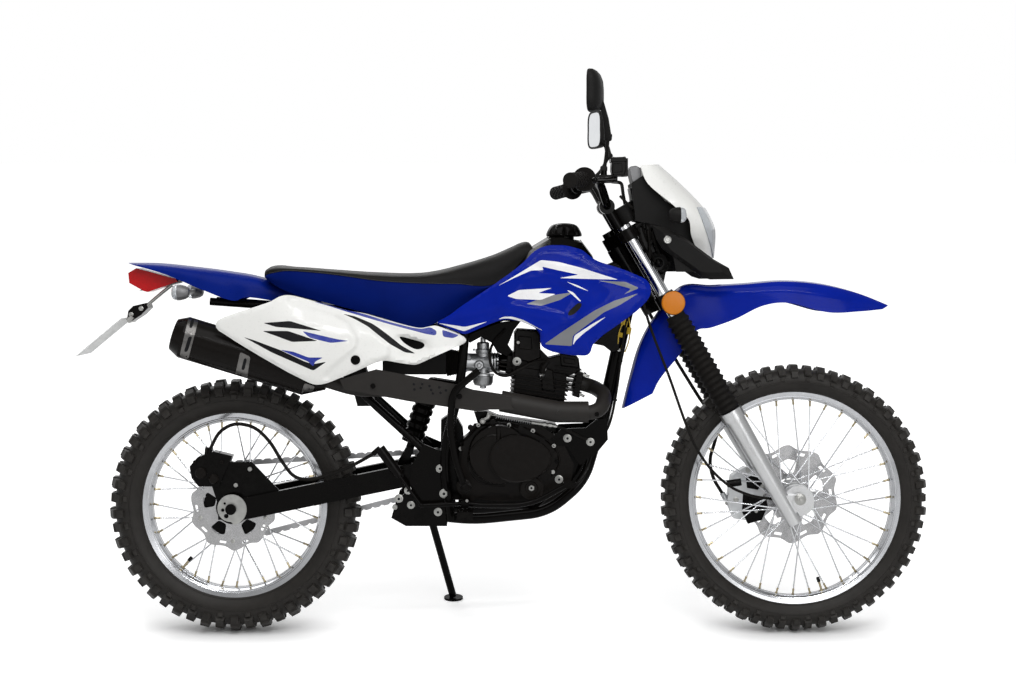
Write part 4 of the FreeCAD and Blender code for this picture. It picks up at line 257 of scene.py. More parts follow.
gloss_black = finish("gloss_black", (0.0020, 0.0017, 0.0015), 0.15, grain=(220.0, 0.0, 0.06),
                     rub=(0.1, 70.0), rubbed=(0.02, 0.019, 0.018), dust=0.006,
                     Specular_IOR_Level=0.07)
engine_black = finish("engine_black", (0.0046, 0.0036, 0.0030), 0.24, grain=(700.0, 0.3, 0.12),
                      rub=(0.1, 70.0), rubbed=(0.03, 0.028, 0.026), dust=0.01,
                      Specular_IOR_Level=0.10)
heat_black = finish("heat_black", (0.0165, 0.0148, 0.0135), 0.46, grain=(1100.0, 0.5, 0.1),
                    rub=(0.1, 60.0), dust=0.03, Specular_IOR_Level=0.18)
bright_alloy = finish("bright_alloy", (0.52, 0.53, 0.55), 0.18, 1.0, grain=(500.0, 0.0, 0.04),
                      drift=(0.05, 18.0), dust=0.02)
cast_alloy = finish("cast_alloy", (0.50, 0.51, 0.52), 0.42, 1.0, grain=(900.0, 0.3, 0.12),
                    drift=(0.08, 22.0))
satin_alloy = finish("satin_alloy", (0.58, 0.585, 0.59), 0.3, 1.0, grain=(900.0, 0.0, 0.05),
                     drift=(0.04, 18.0))
chrome = finish("chrome", (0.66, 0.67, 0.69), 0.08, 1.0, grain=(120.0, 0.0, 0.01),
                drift=(0.02, 12.0), dust=0.02)
plain_steel = finish("plain_steel", (0.40, 0.40, 0.41), 0.36, 1.0, grain=(900.0, 0.2, 0.08),
                     drift=(0.1, 26.0))
strap_steel = finish("strap_steel", (0.16, 0.155, 0.15), 0.3, 1.0, grain=(420.0, 0.4, 0.06),
                     drift=(0.15, 30.0))
zinc = finish("zinc", (0.38, 0.38, 0.365), 0.34, 1.0, grain=(420.0, 0.6, 0.08),
              drift=(0.12, 40.0))
brass = finish("brass", (0.40, 0.34, 0.22), 0.28, 1.0, grain=(900.0, 0.2, 0.05),
               drift=(0.1, 40.0))
disc_steel = finish("disc_steel", (0.43, 0.43, 0.435), 0.26, 1.0, grain=(800.0, 0.2, 0.05),
                    drift=(0.06, 26.0))
rubber = finish("rubber", (0.0070, 0.0062, 0.0055), 0.6, grain=(1200.0, 0.3, 0.12), dust=0.02,
                **DARK)
tyre_rubber = finish("tyre_rubber", (0.0190, 0.0172, 0.0155), 0.42, grain=(700.0, 0.2, 0.16),
                     drift=(0.15, 30.0), rub=(0.3, 50.0), rubbed=(0.05, 0.047, 0.043), dust=0.03,
                     Specular_IOR_Level=0.16)
seat_vinyl = finish("seat_vinyl", (0.0055, 0.0052, 0.0052), 0.48, grain=(520.0, 1.0, 0.25),
                    dust=0.02, **DARK)
satin_grey = finish("satin_grey", (0.16, 0.16, 0.165), 0.4, 0.6, grain=(600.0, 0.2, 0.08),
                    dust=0.02)
lamp_chrome = finish("lamp_chrome", (0.55, 0.56, 0.58), 0.12, 1.0, grain=(260.0, 1.0, 0.8),
                     drift=(0.2, 60.0), dust=0.0)
wire_yellow = finish("wire_yellow", (0.50, 0.34, 0.03), 0.45, grain=(700.0, 0.2, 0.06), dust=0.02)
thread_grey = finish("thread_grey", (0.05, 0.05, 0.055), 0.8, grain=(1500.0, 0.3, 0.1), dust=0.02)
# White for the shroud's print, and for the thin painted highlight lines along its relief
white_print_and_highlight = finish("white_print_and_highlight", (0.74, 0.74, 0.75), 0.3, grain=(160.0, 0.0, 0.02),
                     rub=(0.05, 60.0), dust=0.02)
decal_grey = finish("decal_grey", (0.17, 0.175, 0.185), 0.35, 0.2, grain=(160.0, 0.0, 0.02),
                    dust=0.02)
decal_blue = finish("decal_blue", (0.0040, 0.018, 0.24), 0.3, grain=(160.0, 0.0, 0.02), dust=0.01)
# Black for print and strap slots, and for painted shade in the shield's holes and on the large
# bolts' heads
black_print_and_shade = finish("black_print_and_shade", (0.006, 0.006, 0.007), 0.35, grain=(160.0, 0.0, 0.02),
                     dust=0.01, **DARK)
mirror_glass = finish("mirror_glass", (0.80, 0.82, 0.84), 0.03, 1.0, grain=(80.0, 0.0, 0.002),
                      drift=(0.01, 8.0))
red_lens = finish("red_lens", (0.42, 0.002, 0.004), 0.12, grain=(260.0, 0.0, 0.1),
                  Specular_IOR_Level=0.25)
amber_lens = finish("amber_lens", (0.52, 0.16, 0.006), 0.2, grain=(340.0, 1.0, 0.35),
                    Specular_IOR_Level=0.25)
clear_lens = finish("clear_lens", (0.72, 0.75, 0.78), 0.08, grain=(260.0, 0.0, 0.1), coat=0.4,
                    Transmission_Weight=0.55)
plate_white = finish("plate_white", (0.72, 0.73, 0.72), 0.4, grain=(260.0, 0.0, 0.04))

NODE_FINISH = {
    gloss_black: ("frame", "subframe", "swingarm", "rear_shock", "fuel_tank", "foot_controls",
                  "kick_lever", "fork_clamps", "handlebar", "hand_levers", "side_stand",
                  "footpegs", "rear_caliper"),
    engine_black: ("crankcase", "cylinder", "muffler"),
    heat_black: ("header_pipe", "heat_shield"),
    black_plastic: ("airbox", "fuel_cap", "side_guards", "mirrors", "speedometer",
                    "instrument_housing"),
    rubber: ("fork_boots", "hand_grips", "rear_brake_hose", "front_brake_hose",
             "speedometer_cable"),
    blue_plastic: ("tank_shroud_right", "tank_shroud_left", "front_fender"),
    tail_blue: ("rear_fender",),
    white_plastic: ("side_panel_right", "side_panel_left", "headlamp_cowl"),
    cast_alloy: ("carburettor", "front_caliper"),
    satin_alloy: ("fork_legs", "front_hub", "rear_hub"),
    bright_alloy: ("front_rim", "rear_rim"),
    plain_steel: ("drive_chain", "rear_sprocket", "plate_bracket"),
    chrome: ("fork_tubes", "front_spokes", "rear_spokes"),
    disc_steel: ("front_disc", "rear_disc"),
    zinc: ("axle_adjusters",),
    clear_lens: ("headlamp", "front_indicators", "rear_indicators"),
    red_lens: ("tail_lamp",),
    plate_white: ("number_plate",),
    seat_vinyl: ("seat",),
    tyre_rubber: ("front_tyre", "rear_tyre"),
}
for coat, names in NODE_FINISH.items():
    for name in names:
        node = nodes[name]
        if not node.material_slots:
            node.data.materials.append(None)
        for place in node.material_slots:
            place.link = "OBJECT"
            place.material = coat


# Ways to look and to turn
NEAR, FAR = (0, -1, 0), (0, 1, 0)
AHEAD, ABOVE = (1, 0, 0), (0, 0, 1)


# Making pieces in the machine's millimetres
def made(name, corners, faces, paint, body, slot, instead=(), crease=35.0, tones=()):
    """A closed piece from its corners in millimetres and its faces, which are turned outwards.

    It is smooth but for its sharp edges, rides on a body and may replace solids; its slot is not
    used.
    With tones, paint is a list, and each face's tone says which paint it has.
    """
    mesh = bpy.data.meshes.new(name)
    mesh.from_pydata([Vector(corner) * MM for corner in corners], [], faces)
    shape = bmesh.new()
    shape.from_mesh(mesh)
    bmesh.ops.recalc_face_normals(shape, faces=shape.faces)
    shape.to_mesh(mesh)
    shape.free()
    for face, tone in zip(mesh.polygons, tones):
        face.material_index = tone
    mesh.shade_smooth()
    mesh.set_sharp_from_angle(angle=math.radians(crease))
    for coat in (paint if tones else [paint]):
        mesh.materials.append(coat)
    mesh.transform(machine)
    piece = bpy.data.objects.new(name, mesh)
    bpy.context.scene.collection.objects.link(piece)
    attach(piece, body)
    if instead:
        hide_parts(*instead)
    return piece


def together(shapes):
    """One list of corners and faces from several."""
    corners, faces = [], []
    for more, rings in shapes:
        start = len(corners)
        corners += more
        faces += [[start + i for i in ring] for ring in rings]
    return corners, faces


def mirrored(shape):
    """The same shape on the machine's other side."""
    corners, faces = shape
    return [Vector((x, -y, z)) for x, y, z in corners], [list(ring)[::-1] for ring in faces]


def both_sides(*shapes):
    """The shapes and their mirror images, as one."""
    return together([*shapes, *(mirrored(shape) for shape in shapes)])


def across(axis):
    """Two directions square to an axis and to each other."""
    axis = Vector(axis).normalized()
    side = axis.cross(Vector((0, 1, 0)) if abs(axis.y) < 0.9 else Vector((1, 0, 0))).normalized()
    return side, axis.cross(side)


def skin_over(rows, around, hooped=False):
    """The faces over rows of corners round a shape, its ends closed or joined in a hoop."""
    faces = [[row * around + k, row * around + (k + 1) % around,
              (row + 1) % rows * around + (k + 1) % around, (row + 1) % rows * around + k]
             for row in range(rows if hooped else rows - 1) for k in range(around)]
    if not hooped:
        faces += [list(range(around))[::-1], [(rows - 1) * around + k for k in range(around)]]
    return faces


def turned(profile, foot, axis, sides=16, squash=1.0):
    """A closed shape turned about an axis: each row of its profile is a radius and a distance."""
    axis = Vector(axis).normalized()
    side, up = across(axis)
    corners = []
    for radius, along in profile:
        for i in range(sides):
            turn = 2 * math.pi * i / sides
            corners.append(Vector(foot) + axis * along + side * radius * math.cos(turn)
                           + up * radius * squash * math.sin(turn))
    return corners, skin_over(len(profile), sides)


def bent(before, a, b, after, t):
    """What lies a share t along the smooth bend from a to b, between their neighbours."""
    return 0.5 * (2 * a + (b - before) * t + (2 * before - 5 * a + 4 * b - after) * t * t
                  + (3 * a - before - 3 * b + after) * t ** 3)


def curved(route, step=8.0):
    """An even, rounded line through the given points."""
    spots = [Vector(spot) for spot in route]
    line = []
    for i in range(len(spots) - 1):
        a, b = spots[i], spots[i + 1]
        before = spots[i - 1] if i else a * 2 - b
        after = spots[i + 2] if i + 2 < len(spots) else b * 2 - a
        count = max(1, math.ceil((b - a).length / step))
        line += [bent(before, a, b, after, k / count) for k in range(count)]
    return line + [spots[-1]]


def swept(line, radius, sides=10, flat=(1.0, 1.0)):
    """A tube along a line; its radius may change from point to point, and its section be flat."""
    corners = []
    side, up = across(line[1] - line[0])
    high, broad = flat
    for i, spot in enumerate(line):
        way = (line[min(i + 1, len(line) - 1)] - line[max(i - 1, 0)]).normalized()
        side = (side - way * side.dot(way)).normalized()
        up = way.cross(side)
        wide = radius[i] if isinstance(radius, list) else radius
        for k in range(sides):
            turn = 2 * math.pi * k / sides
            corners.append(spot + side * wide * broad * math.cos(turn)
                           + up * wide * high * math.sin(turn))
    return corners, skin_over(len(line), sides)


def hex_bolt(foot, axis, radius, height):
    """A flanged bolt: a round washer face, a six-sided head and a domed end."""
    washer = turned([(radius * 1.25, 0), (radius * 1.25, height * 0.18),
                     (radius * 1.1, height * 0.26)], foot, axis, 18)
    head = turned([(radius, 0), (radius, height * 0.85), (radius * 0.82, height)], foot, axis, 6)
    return together([washer, head])


def socket_bolt(foot, axis, radius, height):
    """A round bolt head with a hollow middle."""
    return turned([(radius, 0), (radius, height * 0.8), (radius * 0.88, height),
                   (radius * 0.5, height), (radius * 0.45, height * 0.4)], foot, axis, 16)


def shell(corners, faces, inward):
    """A sheet given a thickness: its face, a back moved inwards and a wall round every edge."""
    count = len(corners)
    back = [Vector(corner) + way for corner, way in zip(corners, inward)]
    uses = {}
    for ring in faces:
        for a, b in zip(ring, list(ring[1:]) + [ring[0]]):
            uses.setdefault((min(a, b), max(a, b)), []).append((a, b))
    walls = [[b, a, a + count, b + count] for (a, b), *rest in uses.values() if not rest]
    behind = [[i + count for i in ring][::-1] for ring in faces]
    return list(corners) + back, [list(ring) for ring in faces] + behind + walls


# What the photograph shows of a side, laid on the solids: millimetres to a pixel on the machine's
# middle plane, and the pixel straight ahead of the camera
PIXEL = 2.62
MIDDLE_PX = (475.0, 265.0)


def seen_at(spot, depth):
    """The point on the line of sight through a pixel that has the given Y."""
    far = (depth - EYE.y) / -EYE.y * PIXEL
    return Vector((EYE.x + (spot[0] - MIDDLE_PX[0]) * far, depth,
                   EYE.z - (spot[1] - MIDDLE_PX[1]) * far))


def tree_of(*names):
    """A search tree of CAD nodes, in the machine's millimetres."""
    home = machine.inverted()
    shapes = []
    for name in names:
        mesh = nodes[name].data
        shapes.append(([home @ vertex.co / MM for vertex in mesh.vertices],
                       [list(face.vertices) for face in mesh.polygons]))
    return BVHTree.FromPolygons(*together(shapes))


def line_of_sight(spot):
    """Where a sight through a pixel starts, and which way it goes."""
    return EYE, (seen_at(spot, 0.0) - EYE).normalized()


def distance_to(spot, loop, closed=True):
    """How far a pixel is from a line of pixels."""
    best = 1e9
    ends = loop[1:] + loop[:1] if closed else loop[1:]
    for a, b in zip(loop, ends):
        run = b - a
        share = max(0.0, min(1.0, (spot - a).dot(run) / max(run.length_squared, 1e-9)))
        best = min(best, (spot - a - run * share).length)
    return best


def inside(spot, loop):
    """Whether a pixel lies in a closed line."""
    odd = False
    for a, b in zip(loop, loop[1:] + loop[:1]):
        if (a.y > spot.y) != (b.y > spot.y):
            odd ^= spot.x < a.x + (spot.y - a.y) / (b.y - a.y) * (b.x - a.x)
    return odd


def softened(loop, pitch, passes):
    """A closed line with even steps and slightly rounded corners."""
    steps = []
    spots = [Vector(spot) for spot in loop]
    for a, b in zip(spots, spots[1:] + spots[:1]):
        count = max(1, round((b - a).length / pitch))
        steps += [a.lerp(b, i / count) for i in range(count)]
    for _ in range(passes):
        steps = [(steps[i - 1] + 2 * steps[i] + steps[(i + 1) % len(steps)]) / 4
                 for i in range(len(steps))]
    return steps


TRIANGLE_ROWS = 0.866
CLEAR_OF_LINES = 0.6


def filled(rim, pitch, holes=(), inlays=()):
    """Points and triangles inside a closed line, less its holes, with edges along its inlays."""
    loops = [rim, *holes, *inlays]
    spots, edges = [], []
    for loop in loops:
        start = len(spots)
        spots += loop
        edges += [(start + i, start + (i + 1) % len(loop)) for i in range(len(loop))]
    left, right = min(s.x for s in rim), max(s.x for s in rim)
    low, high = min(s.y for s in rim), max(s.y for s in rim)
    lines = kdtree.KDTree(len(spots))
    for i, spot in enumerate(spots):
        lines.insert(spot.to_3d(), i)
    lines.balance()
    for row in range(int((high - low) / (pitch * TRIANGLE_ROWS)) + 1):
        for column in range(int((right - left) / pitch) + 1):
            spot = Vector((left + (column + 0.5 * (row % 2)) * pitch,
                           low + row * pitch * TRIANGLE_ROWS))
            if (inside(spot, rim) and not any(inside(spot, hole) for hole in holes)
                    and lines.find(spot.to_3d())[2] > CLEAR_OF_LINES * pitch):
                spots.append(spot)
    spots, _, faces, *_ = delaunay_2d_cdt(spots, edges, [], 0, 1e-5)
    kept = []
    for ring in faces:
        centre = sum((spots[i] for i in ring), Vector((0, 0))) / len(ring)
        if inside(centre, rim) and not any(inside(centre, hole) for hole in holes):
            kept.append(list(ring))
    return spots, kept


def rise(distance, edge):
    """0 at an edge and 1 further in than its width, with a smooth bend between."""
    share = max(0.0, min(1.0, distance / edge))
    return share * share * (3 - 2 * share)


LOST_DEPTH, LOST_DECAL_DEPTH = -150.0, -170.0
EVENING_ROUNDS, EVENING_SHARE = 12, 0.6
ROLL_WIDTH = 2.4
STRIPE_PITCH = 2.0


def skin_depths(tree, spots, faces):
    """How deep the solid lies behind each pixel, evened out over its neighbours."""
    depths = []
    for spot in spots:
        hit = tree.ray_cast(*line_of_sight(spot))[0]
        depth = hit.y if hit else LOST_DEPTH
        if hit is None:
            for _ in range(4):
                depth = tree.find_nearest(seen_at(spot, depth))[0].y
        depths.append(depth)
    near = [set() for _ in spots]
    for ring in faces:
        for a in ring:
            near[a].update(i for i in ring if i != a)
    for _ in range(EVENING_ROUNDS):
        depths = [(1 - EVENING_SHARE) * depth
                  + EVENING_SHARE * sum(depths[i] for i in near[k]) / len(near[k])
                  if near[k] else depth for k, depth in enumerate(depths)]
    return depths


def moulded(solid, outline, holes, sunk, ridges, inlays, pitch=3.0, thick=3.0, roll=5.0):
    """The outer skin of a moulding, laid on its solid, and the tone of each of its faces.

    Sunk fields are a line, a depth and a width; ridges are a line, a height and a width; inlays
    are a tone and its stripes. The skin's edges are rolled back.
    """
    rim = softened(outline, pitch, 2)
    gaps = [softened(hole, pitch * 0.7, 2) for hole in holes]
    marks = [(tone, softened(loop, STRIPE_PITCH, 1)) for tone, loops in inlays for loop in loops]
    spots, faces = filled(rim, pitch, gaps, [loop for _, loop in marks])
    tones = []
    for ring in faces:
        centre = sum((spots[i] for i in ring), Vector((0, 0))) / len(ring)
        tones.append(next((tone for tone, loop in marks if inside(centre, loop)), 0))
    fields = [([Vector(spot) for spot in loop], depth, edge) for loop, depth, edge in sunk]
    lines = [([Vector(spot) for spot in line], height, wide) for line, height, wide in ridges]
    corners = []
    for spot, depth in zip(spots, skin_depths(tree_of(solid), spots, faces)):
        edge = min(distance_to(spot, loop) for loop in [rim, *gaps])
        depth += roll * (1 - rise(edge, ROLL_WIDTH)) ** 2
        for loop, deep, wide in fields:
            if inside(spot, loop):
                depth += deep * rise(distance_to(spot, loop), wide)
        for line, height, wide in lines:
            depth -= height * math.exp(-(distance_to(spot, line, False) / wide) ** 2)
        corners.append(seen_at(spot, depth))
    return corners, faces, shell(corners, faces, [Vector((0, thick, 0))] * len(corners)), tones


def decal(loops, tree, lift, thick, pitch):
    """Thin straps or slots laid on a skin where the photograph shows them."""
    shapes = []
    for loop in loops:
        spots, rings = filled(softened(loop, min(STRIPE_PITCH, pitch), 1), pitch)
        corners, ways = [], []
        for spot in spots:
            hit, normal, *_ = tree.ray_cast(*line_of_sight(spot))
            if hit is None:
                hit, normal, *_ = tree.find_nearest(seen_at(spot, LOST_DECAL_DEPTH))
            normal = normal if normal.y < 0 else -normal
            corners.append(hit + normal * lift)
            ways.append(-normal * thick)
        shapes.append(shell(corners, rings, ways))
    return together(shapes)


def cover_pair(name, cover, paints, slot, solid, tones):
    """A cover for the near side and its mirror image, each in its solid's place."""
    for side, shape in (("right", cover), ("left", mirrored(cover))):
        made(f"{name}_{side}", *shape, paints, "chassis", slot, [f"{solid}_{side}"], tones=tones)


# Shrouds over the tank
SHROUD = [(532, 253), (539, 248), (550, 245), (567, 245.5), (583, 250), (588, 255), (597, 261),
          (625, 270), (646, 279), (650, 284), (651.5, 292), (648, 300), (637, 311), (622, 322),
          (603, 335), (592, 345), (591, 353), (588, 356), (570, 355), (552, 352), (541, 346.5),
          (540, 338), (541, 333), (536, 328), (520, 321), (505, 319), (495, 322), (477, 329.5),
          (465, 335), (455, 331), (435, 323), (448, 316), (463, 305), (494, 284.5), (513, 271),
          (525, 261)]
SHROUD_VENT = [(567.1, 315), (569.3, 310.7), (577.9, 302.9), (582.1, 302.9), (581.4, 307.1),
               (574.3, 314.3), (569.3, 316.1)]
SHROUD_SUNK = [([(505, 303), (535, 309), (567, 317), (575, 318), (591, 299), (589, 291),
                 (566, 281), (546, 276), (520, 283)], 4.5, 7.0),
               ([(563, 318), (573, 300), (585, 298), (586, 309), (575, 319)], 2.5, 4.0)]
SHROUD_RIDGES = [([(541, 262), (581, 268), (618, 280), (646, 289)], 2.6, 4.0),
                 ([(600, 284), (612, 291), (604, 303), (575, 320), (545, 333)], 2.2, 4.5),
                 ([(441, 322), (497, 306), (530, 313), (560, 321)], 2.0, 5.0)]
# White loops on the shroud: the first three are its white print; the last three are thin white
# lines along the edges of its relief and its lower edge, painted highlights
SHROUD_WHITE_PRINT_AND_HIGHLIGHTS = [[(498, 286), (517, 274.6), (541, 260), (558.6, 261.9), (581.4, 267.9),
                 (618.3, 279.7), (588.6, 279), (559.3, 278.1), (578.6, 274.7), (558.6, 270.4),
                 (541.5, 266.5), (544, 270), (531, 270.6), (513, 278.6)],
                [(606.4, 316.4), (592.9, 323.6), (574.3, 335.7), (572.9, 345.7), (575.7, 340.7),
                 (584.3, 332.9), (597, 323.6)],
                [(438, 323), (452, 325), (465, 327), (488, 321.4), (464, 331.4)],
                [(498, 319.5), (503, 316.8), (512, 316.6), (524, 320.2), (543.5, 331), (523, 322),
                 (510, 318.6), (503, 318.6)],
                [(566.4, 281.7), (578, 285.4), (589.4, 291.6), (577, 287)],
                [(566.4, 289.8), (573, 292), (581.8, 302), (579.5, 301.5), (571.5, 294)]]
SHROUD_GREY = [[(597.9, 280.7), (625.7, 281.9), (639.3, 288.1), (623.6, 294.6), (631.4, 288.9),
                (611.4, 283.3)],
               [(638.6, 293.3), (614.3, 300.7), (594.3, 310.7), (561.4, 332.4), (544.3, 344.3),
                (572.1, 346.1), (572.9, 335.7), (587.1, 325), (604.3, 312.1), (620, 305)]]
SHARDS = [[(507, 296), (519, 290), (552, 288), (538, 293), (556, 294), (541, 300), (516, 299)],
          [(548, 296), (574, 292), (560, 300), (541, 306), (526, 304)]]

*_, cover, tones = moulded("tank_shroud_right", SHROUD, [], SHROUD_SUNK, SHROUD_RIDGES,
                           [(3, [SHROUD_VENT]), (1, SHROUD_WHITE_PRINT_AND_HIGHLIGHTS + SHARDS[:1]),
                            (2, SHROUD_GREY + SHARDS[1:])])
cover_pair("shroud", cover, [blue_plastic, white_print_and_highlight, decal_grey, black_plastic], "blue",
           "tank_shroud", tones)

# Side panels
PANEL = [(214.2, 325), (215.8, 320.8), (221.7, 318), (236.7, 312.5), (253.3, 307.5),
         (271.7, 301.3), (278.3, 296.7), (286.7, 294.7), (293.3, 295.5), (315, 301.3),
         (348.3, 310.8), (365, 313.3), (393.3, 321.7), (411.7, 326.7), (421.7, 328.3), (435, 325),
         (458.3, 333.3), (466.7, 338.3), (468, 340.8), (465, 343.3), (438.3, 355), (415.8, 365.3),
         (401.7, 363.3), (385, 360.3), (378.3, 361.7), (355, 371.7), (328.3, 383), (318.3, 385.3),
         (311.7, 384.2), (288.3, 372.5), (263.3, 358.3), (238.3, 343.3), (221.7, 332.5),
         (215.8, 329.2)]
PANEL_HOLE = [(398.3, 336.3), (402.5, 336.7), (423.3, 342.5), (425.3, 345), (423.3, 348.3),
              (416.7, 350), (410, 347), (403.3, 342.5)]
PANEL_LOBE = [(285, 302.5), (311.7, 309.2), (331.7, 315), (348.3, 325), (355.8, 338.3),
              (355, 345.8), (345, 355), (331.7, 365), (320, 377.5)]
PANEL_SECOND = [(331.7, 315), (355, 323.3), (371.7, 331.7), (381.7, 341.7), (387.5, 348.3),
                (386.7, 355), (381.7, 359.2)]
PANEL_SUNK = [([*PANEL_LOBE, (335, 386), (470, 345), (470, 335), (435, 320), (350, 305),
                (290, 290)], 6.0, 3.0),
              ([*PANEL_SECOND, (384, 364), (470, 345), (470, 335), (435, 322), (350, 306)], 5.0,
               3.0),
              ([(388, 333), (430, 340), (432, 352), (412, 356), (396, 346)], 4.0, 3.0)]
PANEL_BLUE = [[(313.3, 301.7), (321.7, 302.5), (338.3, 308), (365, 314.2), (388.3, 321.7),
               (411.7, 327.6), (421.7, 329), (430, 327), (437, 331), (436, 335.6), (426.7, 334.2),
               (398.3, 326.7), (371.7, 319.2), (346.7, 311.7), (328.3, 305.8)],
              [(442, 329.6), (459.2, 335.3), (453.3, 338.3), (443, 336.8)],
              [(280, 349.7), (293.3, 351.7), (308.3, 357.5), (323.3, 357.5), (315, 361.7),
               (313.3, 366.7), (308.3, 361.7), (291.7, 355)],
              [(302, 331), (336, 339), (349, 341), (331, 343), (310, 338)]]
PANEL_BLACK = [[(342.5, 313.7), (355, 316.3), (371.7, 323.3), (378.3, 327.5), (388.3, 335),
                (401.7, 345.8), (415.8, 353.7), (405, 352.5), (390, 344.2), (378.3, 335),
                (368.3, 326.7), (355, 319.2)],
               [(243.3, 337), (253.3, 340), (280, 350), (305, 361.7), (313.3, 364.2),
                (326.7, 361.7), (313.3, 370.8), (298.3, 364.2), (271.7, 352.5), (255, 343.3)],
               [(263, 323), (290, 321), (322, 331), (300, 329), (276, 327)],
               [(262, 331), (288, 331), (318, 341), (292, 342), (276, 336)]]
PANEL_BOLT = (355.5, 360.0)

corners, faces, cover, tones = moulded("side_panel_right", PANEL, [PANEL_HOLE], PANEL_SUNK, [],
                                       [(1, PANEL_BLUE), (2, PANEL_BLACK)])
cover_pair("panel", cover, [white_plastic, decal_blue, black_print_and_shade], "white", "side_panel", tones)
bolt_at = BVHTree.FromPolygons(corners, faces).ray_cast(*line_of_sight(PANEL_BOLT))[0]
made("panel_bolts",
     *both_sides(turned([(12, -1), (12, 2.5), (10, 4), (7, 4), (6, 2.5)], bolt_at, NEAR, 24),
                 socket_bolt(bolt_at + Vector(NEAR), NEAR, 5.6, 4.5)),
     gloss_black, "chassis", "black_paint")

# Seat: a crowned black cover over blue sides, sewn along one seam
SEAT_TOP = [(263.4, 276.5), (264.2, 273.5), (267, 270.5), (274, 266), (295, 266.6), (335, 269.4),
            (375, 272), (421, 272.6), (439, 270), (459, 265), (477, 260), (495, 254), (511, 247),
            (523, 242), (529, 242.6), (532.5, 247)]
SEAT_SEAM = [(263.4, 276.7), (266, 275), (274, 273), (283, 271.4), (295, 271.4), (335, 275),
             (379, 281), (415, 283.4), (455, 284.2), (494, 284.6), (513, 271.6), (525, 261.6),
             (532.5, 253)]
SEAT_EDGE = [(263.4, 277), (266, 279.5), (271, 283), (289, 292), (327, 302.6), (375, 315),
             (403, 324), (419, 328), (429, 326), (435, 323), (463, 305), (494, 285.6),
             (513, 272.6), (525, 262.6), (532.5, 254)]
SEAT_HALF = [(-1385, 66), (-1378, 88), (-1347, 113), (-1207, 126), (-1068, 126), (-963, 113),
             (-880, 96), (-803, 79), (-733, 70), (-684, 60)]
SEAT_STEPS = 110
SIDE_OUT, EDGE_OUT = 110, 118
CROWN_STEPS, SIDE_STEPS = 14, 8
SEAM_LIP = 2.2
BLUE_FROM, BLUE_TO = 16, 25
STITCHED = slice(2, 88)
THREAD = 0.55


def read_off(line, along):
    """The value of a line of (place, value) at a place, on a smooth bend through its points."""
    if along <= line[0][0]:
        return line[0][1]
    for i in range(len(line) - 1):
        (a, low), (b, high) = line[i], line[i + 1]
        if along <= b:
            span = b - a
            slope = (high - low) / span
            before = (low - line[i - 1][1]) / (a - line[i - 1][0]) if i else slope
            after = (line[i + 2][1] - high) / (line[i + 2][0] - b) if i + 2 < len(line) else slope
            start, end = ((slope + before) / 2, (slope + after) / 2)
            t = (along - a) / span
            return ((2 * t ** 3 - 3 * t * t + 1) * low + (t ** 3 - 2 * t * t + t) * span * start
                    + (3 * t * t - 2 * t ** 3) * high + (t ** 3 - t * t) * span * end)
    return line[-1][1]


def seat_line(spots, out):
    """A line of pixels as places along and above, read at a distance out from the middle."""
    return [(p.x, p.z) for p in (seen_at(spot, -out) for spot in spots)]


def seat_ring(half, low, sewn, high):
    """Half a ring of the seat: crown, groove of the seam, side and tucked underside."""
    crown, drop = high - sewn, sewn - low
    ring = []
    for k in range(CROWN_STEPS + 1):
        turn = math.pi / 2 * k / CROWN_STEPS
        ring.append((half * 0.965 * math.sin(turn) ** 0.78,
                     sewn + SEAM_LIP + (crown - SEAM_LIP) * math.cos(turn) ** 0.62))
    ring += [(half * 0.972, sewn + 1.0), (half * 0.957, sewn), (half * 0.972, sewn - 0.8)]
    for k in range(1, SIDE_STEPS + 1):
        t = k / SIDE_STEPS
        bulge = 0.975 + 0.035 * math.sin(math.pi * min(1, t * 1.1)) - 0.05 * t
        ring.append((half * bulge, sewn - 0.8 - drop * t))
    return ring + [(half * 0.88, low - 1.5), (half * 0.6, low + 3 + drop * 0.15),
                   (half * 0.3, low + 4 + drop * 0.25)]


def seat_cover():
    """The seat's rings from tail to nose, their faces and tones, and the line of its stitches."""
    top, seam = seat_line(SEAT_TOP, 0), seat_line(SEAT_SEAM, SIDE_OUT)
    edge = seat_line(SEAT_EDGE, EDGE_OUT)
    start, stop = (pick(line[end][0] for line in (top, seam, edge))
                   for pick, end in ((max, 0), (min, -1)))
    corners, stitches = [], []
    for step in range(SEAT_STEPS + 1):
        share = step / SEAT_STEPS
        share = share + 0.012 * math.sin(2 * math.pi * share)
        x = start + (stop - start) * share
        half, low = read_off(SEAT_HALF, x), read_off(edge, x)
        sewn = max(read_off(seam, x), low + 1.5)
        ring = seat_ring(half, low, sewn, max(read_off(top, x), sewn + 2))
        whole = [(-y, z) for y, z in ring] + [(y, z) for y, z in ring[:0:-1]]
        corners += [Vector((x, y, z)) for y, z in whole]
        stitches.append(Vector((x, -half * 0.975, sewn + 1.6)))
    count = len(whole)
    sides = [min(k, count - 1 - k) for k in range(count)]
    tones = [int(BLUE_FROM <= side <= BLUE_TO) for side in sides] * SEAT_STEPS + [0, 0]
    return corners, skin_over(SEAT_STEPS + 1, count), tones, stitches


corners, faces, tones, stitches = seat_cover()
seat = made("seat_cover", corners, faces, [seat_vinyl, seat_blue], "chassis", "seat_cover",
            ["seat"], 50.0, tones)
thread = []
for start, stop in zip(stitches[STITCHED], stitches[STITCHED.start + 1:STITCHED.stop]):
    for k in (0, 0.5):
        a, b = start.lerp(stop, k + 0.06), start.lerp(stop, k + 0.40)
        thread.append(swept([a, a.lerp(b, 0.5) + Vector((0, -0.5, 0)), b], THREAD, 5))
made("seat_stitches", *both_sides(*thread), thread_grey, "chassis", "seat_cover")


